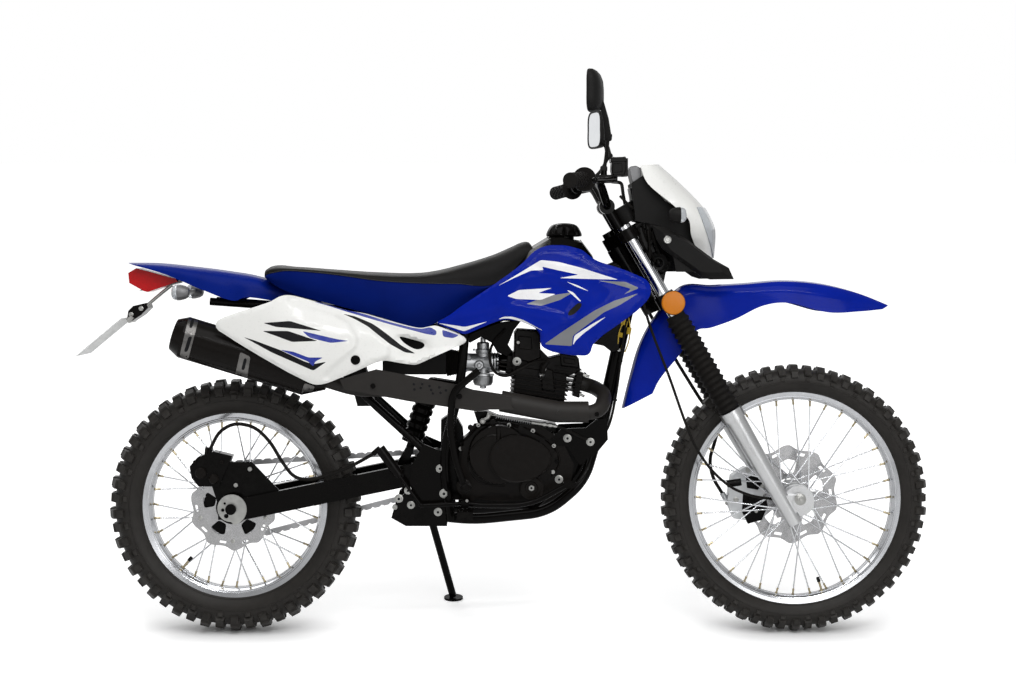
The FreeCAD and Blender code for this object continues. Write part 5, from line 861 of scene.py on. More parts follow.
# Tyres, with the knobs as blocks of their own. All places on the section are shares of the tyre's
# height over its bead and of its half width.
WALL = [(0.0, 0.50), (0.03, 0.545), (0.07, 0.56), (0.10, 0.60), (0.115, 0.645), (0.13, 0.66),
        (0.20, 0.76), (0.29, 0.865), (0.40, 0.945), (0.50, 0.965), (0.60, 0.925), (0.69, 0.83),
        (0.77, 0.68), (0.82, 0.50), (0.85, 0.28), (0.858, 0.0)]
WALL_LINES = [(0.155, 0.70), (0.44, 0.965)]
# A knob: both ends of its outer face, both ends of its foot, its shift round the tyre in half
# pitches, and its length. Even and odd rows follow each other round the tyre.
CROWN_KNOB = ((1.0, -0.33), (1.0, 0.33), (0.82, -0.38), (0.82, 0.38), 0.0, 1.0)
EVEN_KNOBS = [((0.955, 0.60), (0.86, 0.95), (0.76, 0.52), (0.64, 0.84), 0.1, 1.0),
              ((0.79, 0.985), (0.60, 1.06), (0.74, 0.74), (0.56, 0.90), 0.1, 0.8)]
ODD_KNOBS = [((0.985, 0.22), (0.945, 0.56), (0.81, 0.20), (0.76, 0.60), 0.0, 0.92),
             ((0.875, 0.76), (0.70, 1.05), (0.72, 0.66), (0.60, 0.88), 0.0, 0.9),
             ((0.60, 1.045), (0.50, 1.02), (0.58, 0.92), (0.48, 0.94), 0.0, 0.55)]
FOOT_SPREAD = 1.22
ROUND_THE_WHEEL = 120
LINE_THICK = 0.9
HOOP_SIDES = 6


def wedge_block(low, high, foot, middle, reach):
    """A knob whose outer face runs between two places of the section, on its foot in the tyre."""
    corners = []
    for (radius, y), wide in ((low, 1.0), (high, 1.0),
                              (foot[0], FOOT_SPREAD), (foot[1], FOOT_SPREAD)):
        for way in (-1, 1):
            turn = middle + way * reach * wide / radius
            corners.append(Vector((radius * math.sin(turn), y, -radius * math.cos(turn))))
    return corners, [[0, 1, 3, 2], [4, 6, 7, 5], [0, 4, 5, 1], [2, 3, 7, 6], [0, 2, 6, 4],
                     [1, 5, 7, 3]]


def knobbly_tyre(name, centre, radius, bead, half, pitches, knob, body, node):
    """A carcass of revolution under rows of knobs, in turn over the crown and down the sides."""
    height = radius - bead
    ring = [(bead + 0.6 + height * u, half * v) for u, v in WALL]
    ring = ring + [(r, -y) for r, y in ring[-2::-1]]
    turns = [2 * math.pi * i / ROUND_THE_WHEEL for i in range(ROUND_THE_WHEEL)]
    shapes = [([Vector((r * math.sin(turn), y, -r * math.cos(turn)))
                for turn in turns for r, y in ring],
               skin_over(ROUND_THE_WHEEL, len(ring), True))]

    def raise_knob(turn, way, ends, shift, length):
        low, high, *foot = [(bead + height * u, half * v * way) for u, v in ends]
        shapes.append(wedge_block(low, high, foot, turn + math.pi / pitches * shift,
                                  knob * length))

    for i in range(pitches):
        turn = 2 * math.pi * i / pitches
        if i % 2 == 0:
            raise_knob(turn, 1, CROWN_KNOB[:4], *CROWN_KNOB[4:])
        for way in (-1, 1):
            for place in (ODD_KNOBS if i % 2 else EVEN_KNOBS):
                raise_knob(turn, way, place[:4], *place[4:])
    for way in (-1, 1):
        for u, v in WALL_LINES:
            shapes.append(hoop(bead + height * u, half * v * way, LINE_THICK))
    corners, faces = together(shapes)
    made(name, [corner + centre for corner in corners], faces, tyre_rubber, body, "tyre",
         [node], 28.0)


def hoop(radius, y, thick):
    """A thin ring about the wheel's axis."""
    corners = []
    for i in range(ROUND_THE_WHEEL):
        turn = 2 * math.pi * i / ROUND_THE_WHEEL
        for k in range(HOOP_SIDES):
            bend = 2 * math.pi * k / HOOP_SIDES
            r = radius + thick * math.cos(bend)
            corners.append(Vector((r * math.sin(turn), y + thick * math.sin(bend),
                                   -r * math.cos(turn))))
    return corners, skin_over(ROUND_THE_WHEEL, HOOP_SIDES, True)


FRONT_AXLE = Vector((0.0, 0.0, AXLE_HEIGHT))
REAR_AXLE = Vector((-WHEELBASE, 0.0, 330.67))
FRONT_BEAD, REAR_BEAD = 267.0, 229.0
knobbly_tyre("front_knobbly_tyre", FRONT_AXLE, 347.0, FRONT_BEAD, 41.0, 60, 9.5, "front_wheel",
             "front_tyre")
knobbly_tyre("rear_knobbly_tyre", REAR_AXLE, 328.0, REAR_BEAD, 51.0, 50, 11.5, "rear_wheel",
             "rear_tyre")


SPOKE_END = 3.0
NIPPLE = [(3.6, -1), (3.6, 1.2), (2.6, 2.2), (2.6, 9.0), (2.9, 9.2), (2.9, 13.0), (2.3, 14.0)]


def spoke_ends(node):
    """Both ends of every spoke of a wheel, outer end first, read off the CAD spokes."""
    home = machine.inverted()
    shape = bmesh.new()
    shape.from_mesh(nodes[node].data)
    bmesh.ops.remove_doubles(shape, verts=shape.verts, dist=1e-6)
    centre = FRONT_AXLE if node == "front_spokes" else REAR_AXLE
    left, ends = set(shape.verts), []
    while left:
        found, edge = [], [min(left, key=lambda vertex: vertex.index)]
        left.discard(edge[0])
        while edge:
            vertex = edge.pop()
            found.append(home @ vertex.co / MM)
            for link in vertex.link_edges:
                other = link.other_vert(vertex)
                if other in left:
                    left.discard(other)
                    edge.append(other)
        far = [math.hypot(p.x - centre.x, p.z - centre.z) for p in found]
        outer = [p for p, r in zip(found, far) if r > max(far) - SPOKE_END]
        inner = [p for p, r in zip(found, far) if r < min(far) + SPOKE_END]
        ends.append((sum(outer, Vector()) / len(outer), sum(inner, Vector()) / len(inner)))
    shape.free()
    return ends


def nipples(name, node, body):
    """Brass nipples at the rim end of every spoke: a flanged foot, a neck and a sleeve."""
    made(name, *together([turned(NIPPLE, outer, (inner - outer).normalized(), 8)
                          for outer, inner in spoke_ends(node)]), brass, body, "alloy")


nipples("front_nipples", "front_spokes", "front_wheel")
nipples("rear_nipples", "rear_spokes", "rear_wheel")


def valve(name, centre, bead, turn, body):
    """The tyre valve on the inner side of the rim: a brass stem, its nut and a black cap."""
    out = Vector((math.sin(turn), 0, -math.cos(turn)))
    foot = centre + out * (bead - 9)
    made(name + "_stem", *together([turned([(3.0, 0), (3.0, 26)], foot, -out, 12),
                                    turned([(6.5, 0), (6.5, 4)], foot, -out, 6)]),
         brass, body, "alloy")
    made(name + "_cap", *turned([(4.2, 0), (4.6, 1), (4.6, 11), (3.4, 13)], foot - out * 25,
                                -out, 12), black_plastic, body, "black_plastic")


valve("front_valve", FRONT_AXLE, FRONT_BEAD, math.radians(17), "front_wheel")
valve("rear_valve", REAR_AXLE, REAR_BEAD, math.radians(-40), "rear_wheel")


# Fenders and mask: smooth shells through the stations of their solids. A station is the X and Z
# of its spine and of its edge, and its half width; a ring is shares out to the side and down.
FENDER_RING = [(0.0, 0.0), (0.30, 0.004), (0.55, 0.03), (0.74, 0.11), (0.85, 0.22), (0.93, 0.40),
               (0.97, 0.62), (1.0, 1.0)]
MASK_RING = [(0.0, 0.0), (0.25, 0.015), (0.45, 0.06), (0.64, 0.145), (0.80, 0.26), (0.90, 0.42),
             (0.96, 0.62), (1.0, 1.0)]
REAR_FENDER = [(-1733, 962, -1715, 956, 72), (-1650, 960, -1631, 932, 83),
               (-1547, 949, -1541, 895, 92), (-1471, 939, -1458, 865, 92),
               (-1394, 925, -1413, 873, 90), (-1285, 888, -1311, 850, 56),
               (-1183, 813, -1221, 795, 51), (-1125, 709, -1170, 702, 51),
               (-1093, 590, -1138, 590, 51)]
FRONT_FENDER = [(-448, 582, -372, 622, 41), (-427, 666, -351, 663, 44),
                (-403, 747, -303, 723, 48), (-365, 817, -261, 784, 50),
                (-296, 899, -220, 794, 52), (-213, 903, -157, 817, 56), (-130, 908, -88, 851, 67),
                (-33, 915, -19, 858, 74), (64, 908, 78, 834, 74), (161, 884, 161, 836, 63),
                (244, 851, 227, 841, 33)]
MASK = [(-214, 968, -250, 973, 55), (-210, 1038, -277, 1033, 92), (-220, 1073, -285, 1073, 101),
        (-244, 1113, -325, 1110, 105), (-297, 1168, -388, 1165, 92), (-353, 1218, -406, 1214, 65)]


SHELL_THICK = 3.0
RING_STEPS, STATION_STEPS = 3, 7


def between(rows, steps):
    """Rows of numbers with smooth bends added between them."""
    out = []
    for i in range(len(rows) - 1):
        a, b = rows[i], rows[i + 1]
        before = rows[i - 1] if i else [2 * p - q for p, q in zip(a, b)]
        after = rows[i + 2] if i + 2 < len(rows) else [2 * q - p for p, q in zip(a, b)]
        out += [[bent(*four, k / steps) for four in zip(before, a, b, after)]
                for k in range(steps)]
    return out + [list(rows[-1])]


def bent_shell(stations, ring, crease):
    """A shell open below: its outer face as a grid, and the closed shell.

    Creases are raised lines: a share of the half width, a height and a width.
    """
    shares = between(ring, RING_STEPS)
    across_row = [(-u, v) for u, v in shares[:0:-1]] + shares
    wide = len(across_row)
    outer, inward = [], []
    rows = between(stations, STATION_STEPS)
    for spine_x, spine_z, edge_x, edge_z, half in rows:
        spine = Vector((spine_x, 0, spine_z))
        drop = Vector((edge_x, 0, edge_z)) - spine
        down = drop.normalized()
        for u, v in across_row:
            relief = sum(height * math.exp(-((abs(u) - place) / width) ** 2)
                         for place, height, width in crease)
            outer.append(spine + drop * v + Vector((0, u * half, 0)) - down * relief)
            inward.append(Vector((0, -u * SHELL_THICK, 0)) + down * SHELL_THICK * (1 - abs(v)))
    faces = [[row * wide + k, row * wide + k + 1, (row + 1) * wide + k + 1, (row + 1) * wide + k]
             for row in range(len(rows) - 1) for k in range(wide - 1)]
    return outer, faces, shell(outer, faces, inward)


def cut_from(corners, faces, planes, lift, thick):
    """The part of a sheet in front of some planes, raised from it and given a thickness."""
    mesh = bpy.data.meshes.new("cut")
    mesh.from_pydata(corners, [], faces)
    shape = bmesh.new()
    shape.from_mesh(mesh)
    bpy.data.meshes.remove(mesh)
    for spot, normal in planes:
        bmesh.ops.bisect_plane(shape, geom=shape.verts[:] + shape.edges[:] + shape.faces[:],
                               plane_co=spot, plane_no=normal, clear_inner=True)
    shape.normal_update()
    middle = sum((vertex.co for vertex in shape.verts), Vector()) / len(shape.verts)
    outwards = sum((face.normal.dot(face.calc_center_median() - middle) for face in shape.faces),
                   0.0)
    way = 1 if outwards > 0 else -1
    shape.verts.ensure_lookup_table()
    shape.verts.index_update()
    spots = [vertex.co + vertex.normal * way * lift for vertex in shape.verts]
    inward = [vertex.normal * -way * thick for vertex in shape.verts]
    rings = [[vertex.index for vertex in face.verts] for face in shape.faces]
    shape.free()
    return shell(spots, rings, inward)


INNER_TOP = 800.0
*_, cover = bent_shell(REAR_FENDER, FENDER_RING, [(0.0, 1.2, 0.10), (0.62, 1.6, 0.06)])
tones = [int(max(cover[0][i].z for i in ring) < INNER_TOP) for ring in cover[1]]
made("rear_fender_skin", *cover, [tail_blue, black_plastic], "chassis", "blue", ["rear_fender"],
     tones=tones)
*_, cover = bent_shell(FRONT_FENDER, FENDER_RING, [(0.0, 1.5, 0.12), (0.66, 2.2, 0.07)])
made("front_fender_skin", *cover, blue_plastic, "steering", "blue", ["front_fender"])
outer, faces, cover = bent_shell(MASK, MASK_RING, [(0.30, 2.0, 0.07)])
made("headlamp_mask", *cover, white_plastic, "steering", "white", ["headlamp_cowl"])
LENS_PLANES = [(Vector((-264, 0, 1107)), Vector((132, 0, 51)).normalized()),
               (Vector((0, 0, 1104)), Vector((0, 0, -1))),
               (Vector((0, 0, 972)), Vector((0, 0, 1)))]
made("lamp_reflector", *cut_from(outer, faces, LENS_PLANES, 0.6, 0.5), lamp_chrome, "steering",
     "chrome")
made("lamp_lens", *cut_from(outer, faces, LENS_PLANES, 3.2, 1.6), clear_lens, "steering",
     "clear_lens", ["headlamp"])


# Wave discs: waves round the edge, and the corners of a window and a slot as shares of the
# radius and turns from its middle
WAVES, WAVE_STEPS = 10, 24
WAVE_BITE, WAVE_HOOK = 0.085, 0.7
DISC_THICK = 4.0
BORE_STEPS = 40
ONLY_RIM = 1000.0
DISC_WINDOW = [(0.42, -0.26), (0.66, -0.34), (0.72, -0.05), (0.69, 0.22), (0.44, 0.20)]
DISC_SLOT = [(0.80, -0.13), (0.86, -0.12), (0.88, 0.06), (0.82, 0.06)]


def wave_disc(name, node, centre, y, radius, bore, body):
    """A brake disc with a hooked, wavy edge, windows round its middle and slots near its edge."""
    def polar(share, turn):
        return Vector((radius * share * math.sin(turn), radius * share * math.cos(turn)))

    rim = []
    for i in range(WAVES * WAVE_STEPS):
        bite = 0.5 - 0.5 * math.cos(2 * math.pi * ((i / WAVE_STEPS) % 1) ** WAVE_HOOK)
        rim.append(polar(1 - WAVE_BITE * bite, 2 * math.pi * i / (WAVES * WAVE_STEPS)))
    holes = [[polar(bore / radius, 2 * math.pi * i / BORE_STEPS) for i in range(BORE_STEPS)]]
    for i in range(WAVES // 2):
        turn = 4 * math.pi * i / WAVES
        holes.append(softened([polar(r, turn + t) for r, t in DISC_WINDOW], 5.0, 1))
    for i in range(WAVES):
        turn = 2 * math.pi * (i + 0.5) / WAVES
        holes.append(softened([polar(r, turn + t) for r, t in DISC_SLOT], 2.0, 1))
    spots, faces = filled(rim, ONLY_RIM, holes)
    corners = [Vector((centre.x + p.x, y, centre.z + p.y)) for p in spots]
    way = Vector((0, math.copysign(DISC_THICK, y), 0))
    made(name, *shell(corners, faces, [way] * len(corners)), disc_steel, body, "steel", [node])


wave_disc("front_wave_disc", "front_disc", FRONT_AXLE, 54.0, 130.0, 42.5, "front_wheel")
wave_disc("rear_wave_disc", "rear_disc", REAR_AXLE, -66.0, 112.0, 44.0, "rear_wheel")

# The ring of the speedometer's drive on the front hub
made("speedometer_drive_ring",
     *turned([(24, 0), (39, 0), (39, 3), (36.5, 4), (36.5, 5.2), (24, 5.2)],
             FRONT_AXLE + Vector((0, -52, 0)), NEAR, 40), satin_alloy, "steering", "alloy")


def sight(tree, spot, depth=-120.0):
    """Where a line of sight meets the solids, or the nearest place on them."""
    hit = tree.ray_cast(*line_of_sight(spot))[0]
    return hit or tree.find_nearest(seen_at(spot, depth))[0]


# Bolts that the photograph shows, each on the solid it lies on: pixel and radius
SILVER_BOLTS = [(478.3, 425, 5.5), (509, 425, 5.5), (532.9, 430.7, 6), (553.9, 445.7, 5.5),
                (552.9, 471.9, 5.5), (460.7, 448.6, 5.5), (531.4, 487.9, 8), (567.4, 438.3, 8.5),
                (590.4, 441.9, 8.5), (559, 479.3, 8.5), (444, 493.6, 9.5), (440, 468.6, 8.5),
                (438, 512, 8.5), (502.4, 345, 9), (496.6, 331.4, 6), (467, 500.7, 4),
                (614.5, 350, 4.5), (619, 350, 4.5), (250, 469, 6), (236, 485, 6), (408, 490.5, 8),
                (395, 494.5, 9), (422, 334, 5), (527, 321, 5), (544, 369, 6), (411, 505, 8),
                (395, 507, 7)]
DARK_BOLTS = [(459.7, 396.4, 6.5), (557.1, 461.4, 5.5), (597, 414.3, 6), (466.4, 487.9, 11),
              (373, 386, 6.5)]
solids = tree_of("frame", "crankcase", "header_pipe", "heat_shield", "swingarm", "subframe",
                 "foot_controls", "kick_lever", "cylinder", "rear_caliper")
LARGE_BOLT = 7
BOLT_SUNK = 0.6


def bolts(name, rows, paint, slot):
    """Hexagon heads where the bolts are large and socket heads where they are small."""
    heads = []
    for px, py, r in rows:
        foot = sight(solids, (px, py)) + Vector((0, BOLT_SUNK, 0))
        heads.append(hex_bolt(foot, NEAR, r, r * 0.8) if r > LARGE_BOLT
                     else socket_bolt(foot, NEAR, r, r))
    made(name, *together(heads), paint, "chassis", slot)


bolts("silver_bolts", SILVER_BOLTS, zinc, "steel")
bolts("dark_bolts", DARK_BOLTS, gloss_black, "black_paint")

# Straps round the silencer
STRAPS = [[(189.2, 315), (199.6, 316), (188.3, 359.2), (179.6, 356)],
          [(240.3, 352), (250.5, 357), (246.7, 380), (235, 375.8)],
          [(304.5, 383), (315, 386.5), (309.2, 397.5), (300.8, 394.2)]]
STRAP_SLOTS = [[(188.6, 336.5), (192.4, 336.5), (187.6, 351.7), (184.0, 351.7)],
               [(191, 320), (194.4, 320), (192, 328.5), (189, 328)],
               [(244.4, 357.5), (247.2, 358.3), (244.4, 370.2), (241.3, 369.3)],
               [(308.6, 387.2), (310.2, 387.8), (309.4, 390), (307.9, 389.4)],
               [(305.4, 391), (307, 391.6), (306.2, 393.6), (304.7, 393)]]
# Places of the heat shield's holes: dark discs laid on its face there are painted shade of the
# holes
SHIELD_HOLES = [(414, 384.2), (420.8, 388), (422.3, 384), (429.6, 386), (431.2, 389.8),
                (439.4, 387.4), (440.6, 392.8), (446, 390.3), (414.5, 389.4), (433, 393.4)]
silencer = tree_of("muffler")
made("silencer_straps", *decal(STRAPS, silencer, 0.9, 1.4, 3.0), strap_steel, "chassis", "steel")
made("strap_slots", *decal(STRAP_SLOTS, silencer, 1.3, 0.5, 2.0), black_print_and_shade, "chassis",
     "black_plastic")
guard = tree_of("heat_shield", "header_pipe", "kick_lever")
made("shield_hole_shade", *together([turned([(3.4, -0.5), (3.4, 0.35), (2.9, 0.6)],
                                       sight(guard, spot), NEAR, 12) for spot in SHIELD_HOLES]),
     black_print_and_shade, "chassis", "black_plastic")

# Carburettor: turned parts as profile, place from its middle, axis and sides
CARB = Vector((-812.0, 0.0, 701.3))
MIDDLE = (0, 0, 0)
CARB_PARTS = [([(20, -56), (27, -56), (29, -52), (27, -46), (24, -40), (23, 12), (25, 16),
                (25, 20), (19, 20)], MIDDLE, AHEAD, 28),
              ([(18, -28), (18, 24), (20, 26), (20, 34), (16.5, 36), (16.5, 50), (13, 53),
                (7, 54), (7, 64), (4, 66)], MIDDLE, ABOVE, 24),
              ([(24, -30), (28, -30), (29, -34), (27, -36), (26, -52), (22, -60), (9, -62),
                (8, -68), (4, -69)], MIDDLE, ABOVE, 24),
              ([(13, 0), (13, 14), (10, 18), (6, 18), (6, 24), (4, 26)], (-10, -16, -6), NEAR,
               14),
              ([(5, 0), (5, 22), (3, 24)], (14, -14, -16), (0.3, -1, -0.2), 10),
              ([(6, 0), (6, 20), (4, 22)], (-34, -12, 8), (-0.2, -1, 0.4), 10)]
CARB_RIBS = (24, 31, 38)
CARB_SCREWS = ((-24, 34), (-24, -32), (22, -32), (20, 30))
MANIFOLD = [(19, 20), (24, 21), (24, 42), (21, 46), (21, 66), (28, 70), (28, 78)]
FOLDS, FOLD_PITCH, FOLD_TAPER = 8, 4.4, 0.9
CLAMP_SCREW = CARB + Vector((-60, -10, 31))


def carburettor():
    """Its body with ribs and screws, the folded boot behind it, the manifold and the clamp."""
    parts = [turned(profile, CARB + Vector(place), axis, sides)
             for profile, place, axis, sides in CARB_PARTS]
    for rib in CARB_RIBS:
        parts.append(turned([(22, rib - 2), (26, rib - 2), (26, rib + 2), (22, rib + 2)], CARB,
                            AHEAD, 24))
    for along, high in CARB_SCREWS:
        parts.append(socket_bolt(CARB + Vector((along, -20, high)), NEAR, 3.6, 7))
    made("carburettor_body", *together(parts), cast_alloy, "chassis", "alloy", ["carburettor"])
    boot = [(30, -96)]
    for i in range(FOLDS):
        boot += [(38 - i * FOLD_TAPER, -94 + i * FOLD_PITCH),
                 (35 - i * FOLD_TAPER, -91.8 + i * FOLD_PITCH)]
    made("intake_boot", *turned(boot + [(30, -57), (28, -54)], CARB, AHEAD, 32), rubber,
         "chassis", "rubber")
    made("intake_manifold", *turned(MANIFOLD, CARB, AHEAD, 24), gloss_black, "chassis",
         "black_paint")
    band = turned([(30.5, -64), (31.5, -64), (31.5, -56), (30.5, -56)], CARB, AHEAD, 36)
    made("boot_clamp", *together([band, turned([(4, 0), (4, 20)], CLAMP_SCREW, NEAR, 8),
                                  socket_bolt(CLAMP_SCREW + Vector((0, -19, 0)), NEAR, 5, 4)]),
         brass, "chassis", "steel")


carburettor()

# Cables and leads, each held at both ends: pixels and depths along their way
CLUTCH_ROUTE = [(630, 306, -30), (625, 330, -32), (621, 358, -30), (617, 388, -30),
                (612, 415, -36), (606, 431, -48), (596, 440, -62), (583, 438, -78),
                (569, 431, -92), (556, 426, -98)]
LEAD_ROUTE = [(546, 361, -74), (533, 363, -84), (519, 370, -86), (506, 376, -80), (495, 372, -70),
              (490, 361, -60), (491, 348, -48), (497, 338, -36), (505, 329, -24)]
SLEEVE, SLEEVE_END = seen_at((557, 426.4), -98), seen_at((531, 422.4), -100)
LEVER_END = seen_at((489, 414.5), -98)
PLUG = seen_at((541.5, 376), -62)
PLUG_CAP = [seen_at((543.5, 367), -76), seen_at((548, 361), -74)]
COIL_TURNS, COIL_STEPS, COIL_RADIUS = 15, 14, 5.5
CONNECTORS = [(624, 322, (10, 7, 16)), (629, 331, (8, 7, 18)), (621, 335, (7, 6, 12))]
CONNECTOR_DEPTH = -30
CLIPS = [(620.6, 361, -30), (615.2, 400, -32)]
WIRES = [[(622, 312, -26), (623, 322, -30), (619, 333, -30), (618, 345, -24)],
         [(627, 312, -24), (630, 326, -30), (629, 340, -28), (625, 352, -22)],
         [(619, 314, -24), (627, 320, -33), (624, 334, -32), (621, 350, -24)]]


def routed(rows):
    """A rounded line through pixels, each with its own depth."""
    return curved([seen_at((px, py), depth) for px, py, depth in rows])


def clutch_cable():
    """The cable, its adjuster, the spring on its bare end and the arm that it pulls."""
    made("clutch_cable", *swept(routed(CLUTCH_ROUTE), 3.4, 10), rubber, "chassis", "rubber")
    made("plug_lead", *swept(routed(LEAD_ROUTE), 3.6, 10), rubber, "chassis", "rubber")
    way = (SLEEVE_END - SLEEVE).normalized()
    made("clutch_adjuster", *together([turned([(4.5, 0), (4.5, 66)], SLEEVE, way, 12),
                                       turned([(7, 14), (7, 22)], SLEEVE, way, 6),
                                       turned([(7, 30), (7, 36)], SLEEVE, way, 6),
                                       swept([SLEEVE_END, LEVER_END], 1.2, 6)]),
         zinc, "chassis", "steel")
    run = LEVER_END - SLEEVE_END
    side, up = across(run)
    coil = []
    for i in range(COIL_TURNS * COIL_STEPS + 1):
        turn = 2 * math.pi * i / COIL_STEPS
        coil.append(SLEEVE_END + run * (0.02 + 0.80 * i / (COIL_TURNS * COIL_STEPS))
                    + (side * math.cos(turn) + up * math.sin(turn)) * COIL_RADIUS)
    made("clutch_spring", *swept(coil, 0.9, 6), plain_steel, "chassis", "steel")
    arm = [LEVER_END + Vector(reach) for reach in ((2, 4, 4), (-2, 8, -10), (-16, 14, -18))]
    made("clutch_arm", *together([swept(arm, 4.2, 8, (0.5, 1.4)),
                                  hex_bolt(arm[-1] + Vector((0, -2, 0)), NEAR, 6, 6)]),
         zinc, "chassis", "steel")


def plug_and_wires():
    """The spark plug under its cap, and the clips, plugs and wires in front of the engine."""
    made("spark_plug", *turned([(8, 0), (8, 8), (5, 9), (5, 16)], PLUG, (0.1, -0.75, 0.65), 6),
         zinc, "chassis", "steel")
    made("plug_cap", *swept([PLUG + Vector((1, -8, 8)), *PLUG_CAP], [6.5, 7.5, 5.5], 12),
         rubber, "chassis", "rubber")
    made("cable_clips", *together([turned([(5.2, -2.5), (5.2, 2.5)], seen_at((px, py), depth),
                                          (0.1, 0, 1), 14) for px, py, depth in CLIPS]),
         black_plastic, "chassis", "black_plastic")
    made("wire_connectors", *together([small_box(seen_at((px, py), CONNECTOR_DEPTH), size)
                                       for px, py, size in CONNECTORS]),
         wire_yellow, "chassis", "black_plastic")
    made("loom_wires", *together([swept(routed(route), 1.6, 6) for route in WIRES]),
         wire_yellow, "chassis", "black_plastic")


def small_box(centre, size):
    """A tilted box with bevelled ends, made by turning a square section."""
    x, y, z = size
    return turned([(x * 0.55, -z / 2), (x * 0.7, -z / 2 + 1), (x * 0.7, z / 2 - 1),
                   (x * 0.55, z / 2)], centre, (0.2, 0, 1), 4, y / x)


clutch_cable()
plug_and_wires()

# Fuel cap
CAP = Vector((-600.0, 0.0, 1030.0))
CAP_ROWS = [(38, 0), (46, 1), (47.5, 4), (46.5, 9), (43, 17), (39, 24), (34, 29.5), (27, 33),
            (16, 35.2), (4, 36)]
CAP_STEPS, NOTCHES, NOTCH_DEEP = 96, 8, 5.5
NOTCH_TOP, NOTCH_FADE, PLAIN_MIDDLE = 34, 12, 20


def fuel_cap():
    """A low dome with finger notches round its skirt, on a neck that sits in the tank."""
    corners = []
    for radius, high in CAP_ROWS:
        skirt = min(1.0, max(0.0, (NOTCH_TOP - high) / NOTCH_FADE))
        for i in range(CAP_STEPS):
            turn = 2 * math.pi * i / CAP_STEPS
            notch = max(0.0, math.cos(NOTCHES * turn)) ** 3 * NOTCH_DEEP * skirt
            r = radius - (notch if radius > PLAIN_MIDDLE else 0)
            corners.append(CAP + Vector((r * math.cos(turn), r * math.sin(turn), high)))
    made("fuel_cap_dome", *together([(corners, skin_over(len(CAP_ROWS), CAP_STEPS)),
                                     turned([(26, -22), (26, 2)], CAP, ABOVE, 32)]),
         gloss_black, "chassis", "black_plastic", ["fuel_cap"])


fuel_cap()


# Mirrors: the rows of the shell as its scale, how far back and how far down
PANE_WIDE, PANE_HIGH = 54, 53
PANE_STEPS = 48
SQUARE_CORNERS = 0.55
PANE_TAPER = 0.10
SHELL_ROWS = [(0.90, 1.5, 0), (0.93, -1.0, 0), (0.985, -1.0, 0), (1.0, 2.0, 0), (0.99, 9.0, 0),
              (0.94, 16.0, 1), (0.83, 23.0, 3), (0.64, 28.5, 6), (0.36, 31.5, 9),
              (0.10, 32.3, 11)]


def mirror(name, foot, bend, elbow, head, toe):
    """A domed shell round a flat glass, on an arm and a thin stem."""
    back = Vector((math.cos(toe), math.sin(toe), 0.0))
    wide, up = Vector((-back.y, back.x, 0.0)), Vector(ABOVE)

    def ring(scale, deep, drop=0.0):
        out = []
        for i in range(PANE_STEPS):
            turn = 2 * math.pi * i / PANE_STEPS
            c, s = math.cos(turn), math.sin(turn)
            y = math.copysign(abs(c) ** SQUARE_CORNERS, c) * PANE_WIDE * scale
            z = math.copysign(abs(s) ** SQUARE_CORNERS, s) * PANE_HIGH * scale
            y *= 1 - PANE_TAPER * (z / PANE_HIGH) * (1 if z < 0 else -0.4)
            out.append(head + wide * y + up * (z - drop) + back * deep)
        return out

    corners = [spot for row in SHELL_ROWS for spot in ring(*row)]
    neck = head + back * 27 - up * 26
    arm = swept([neck, neck.lerp(elbow, 0.5) + back * 3, elbow], [6.5, 7.5, 9.0], 12)
    collar = turned([(9, -8), (10, -6), (10, 6), (8, 8)], elbow, elbow - bend, 14)
    stem = swept(curved([foot, bend, elbow]), 4.6, 12)
    nut = turned([(9, 0), (9, 9), (7, 12)], foot, ABOVE, 6)
    made(name, *together([(corners, skin_over(len(SHELL_ROWS), PANE_STEPS)), arm, collar, stem,
                          nut]), black_plastic, "steering", "black_plastic", ["mirrors"])
    glass = shell([*ring(0.895, 0.6), head + back * 0.6],
                  [[i, (i + 1) % PANE_STEPS, PANE_STEPS] for i in range(PANE_STEPS)],
                  [back * 0.8] * (PANE_STEPS + 1))
    made(name + "_glass", *glass, mirror_glass, "steering", "chrome")


TOE = math.radians(12)
mirror("right_mirror", Vector((-513.7, -263.4, 1190)), Vector((-508, -266, 1225)),
       Vector((-505, -288, 1272)), Vector((-552, -330, 1382)), -TOE)
mirror("left_mirror", Vector((-513.7, 263.4, 1190)), Vector((-486, 268, 1216)),
       Vector((-462, 286, 1258)), Vector((-500, 330, 1334)), TOE * 1.3)


# Indicators: profiles of the housing and the lens, and the stalk's radius from foot to housing
HOUSING = [(6, -24), (12, -22), (17, -14), (20, -2), (20.5, 6), (19, 7)]
LENS_DOME = [(19, 6), (19.5, 8), (19, 13), (16, 18), (10, 21), (3, 22)]
STALK = [7.5, 6.0, 6.5, 8.5]


def indicator(name, centre, ahead, body, node, foot_out):
    """A pair of rounded housings on rubber stalks, with their lenses turned ahead or back."""
    way = Vector((1 if ahead else -1, 0, 0))
    housing, lens, stalk = [], [], []
    for side in (-1, 1):
        spot = Vector((centre.x, centre.y * side, centre.z))
        foot = Vector((centre.x, foot_out * side, centre.z))
        housing.append(turned(HOUSING, spot, way, 24))
        lens.append(turned(LENS_DOME, spot, way, 24))
        stalk.append(swept([foot, foot.lerp(spot, 0.35), foot.lerp(spot, 0.7), spot], STALK, 12))
    made(name + "_housings", *together(housing + stalk), black_plastic if ahead else satin_grey,
         body, "black_plastic", [node])
    made(name + "_lenses", *together(lens), clear_lens, body, "clear_lens")


indicator("front_indicator", Vector((-318.0, -152.0, 1083.0)), True, "steering",
          "front_indicators", 96.0)
indicator("rear_indicator", Vector((-1586.0, -125.0, 886.0)), False, "chassis",
          "rear_indicators", 16.0)


REFLECTOR = seen_at((673.3, 302.9), -128)
GUARD_BOLT = (667.6, 239.7)


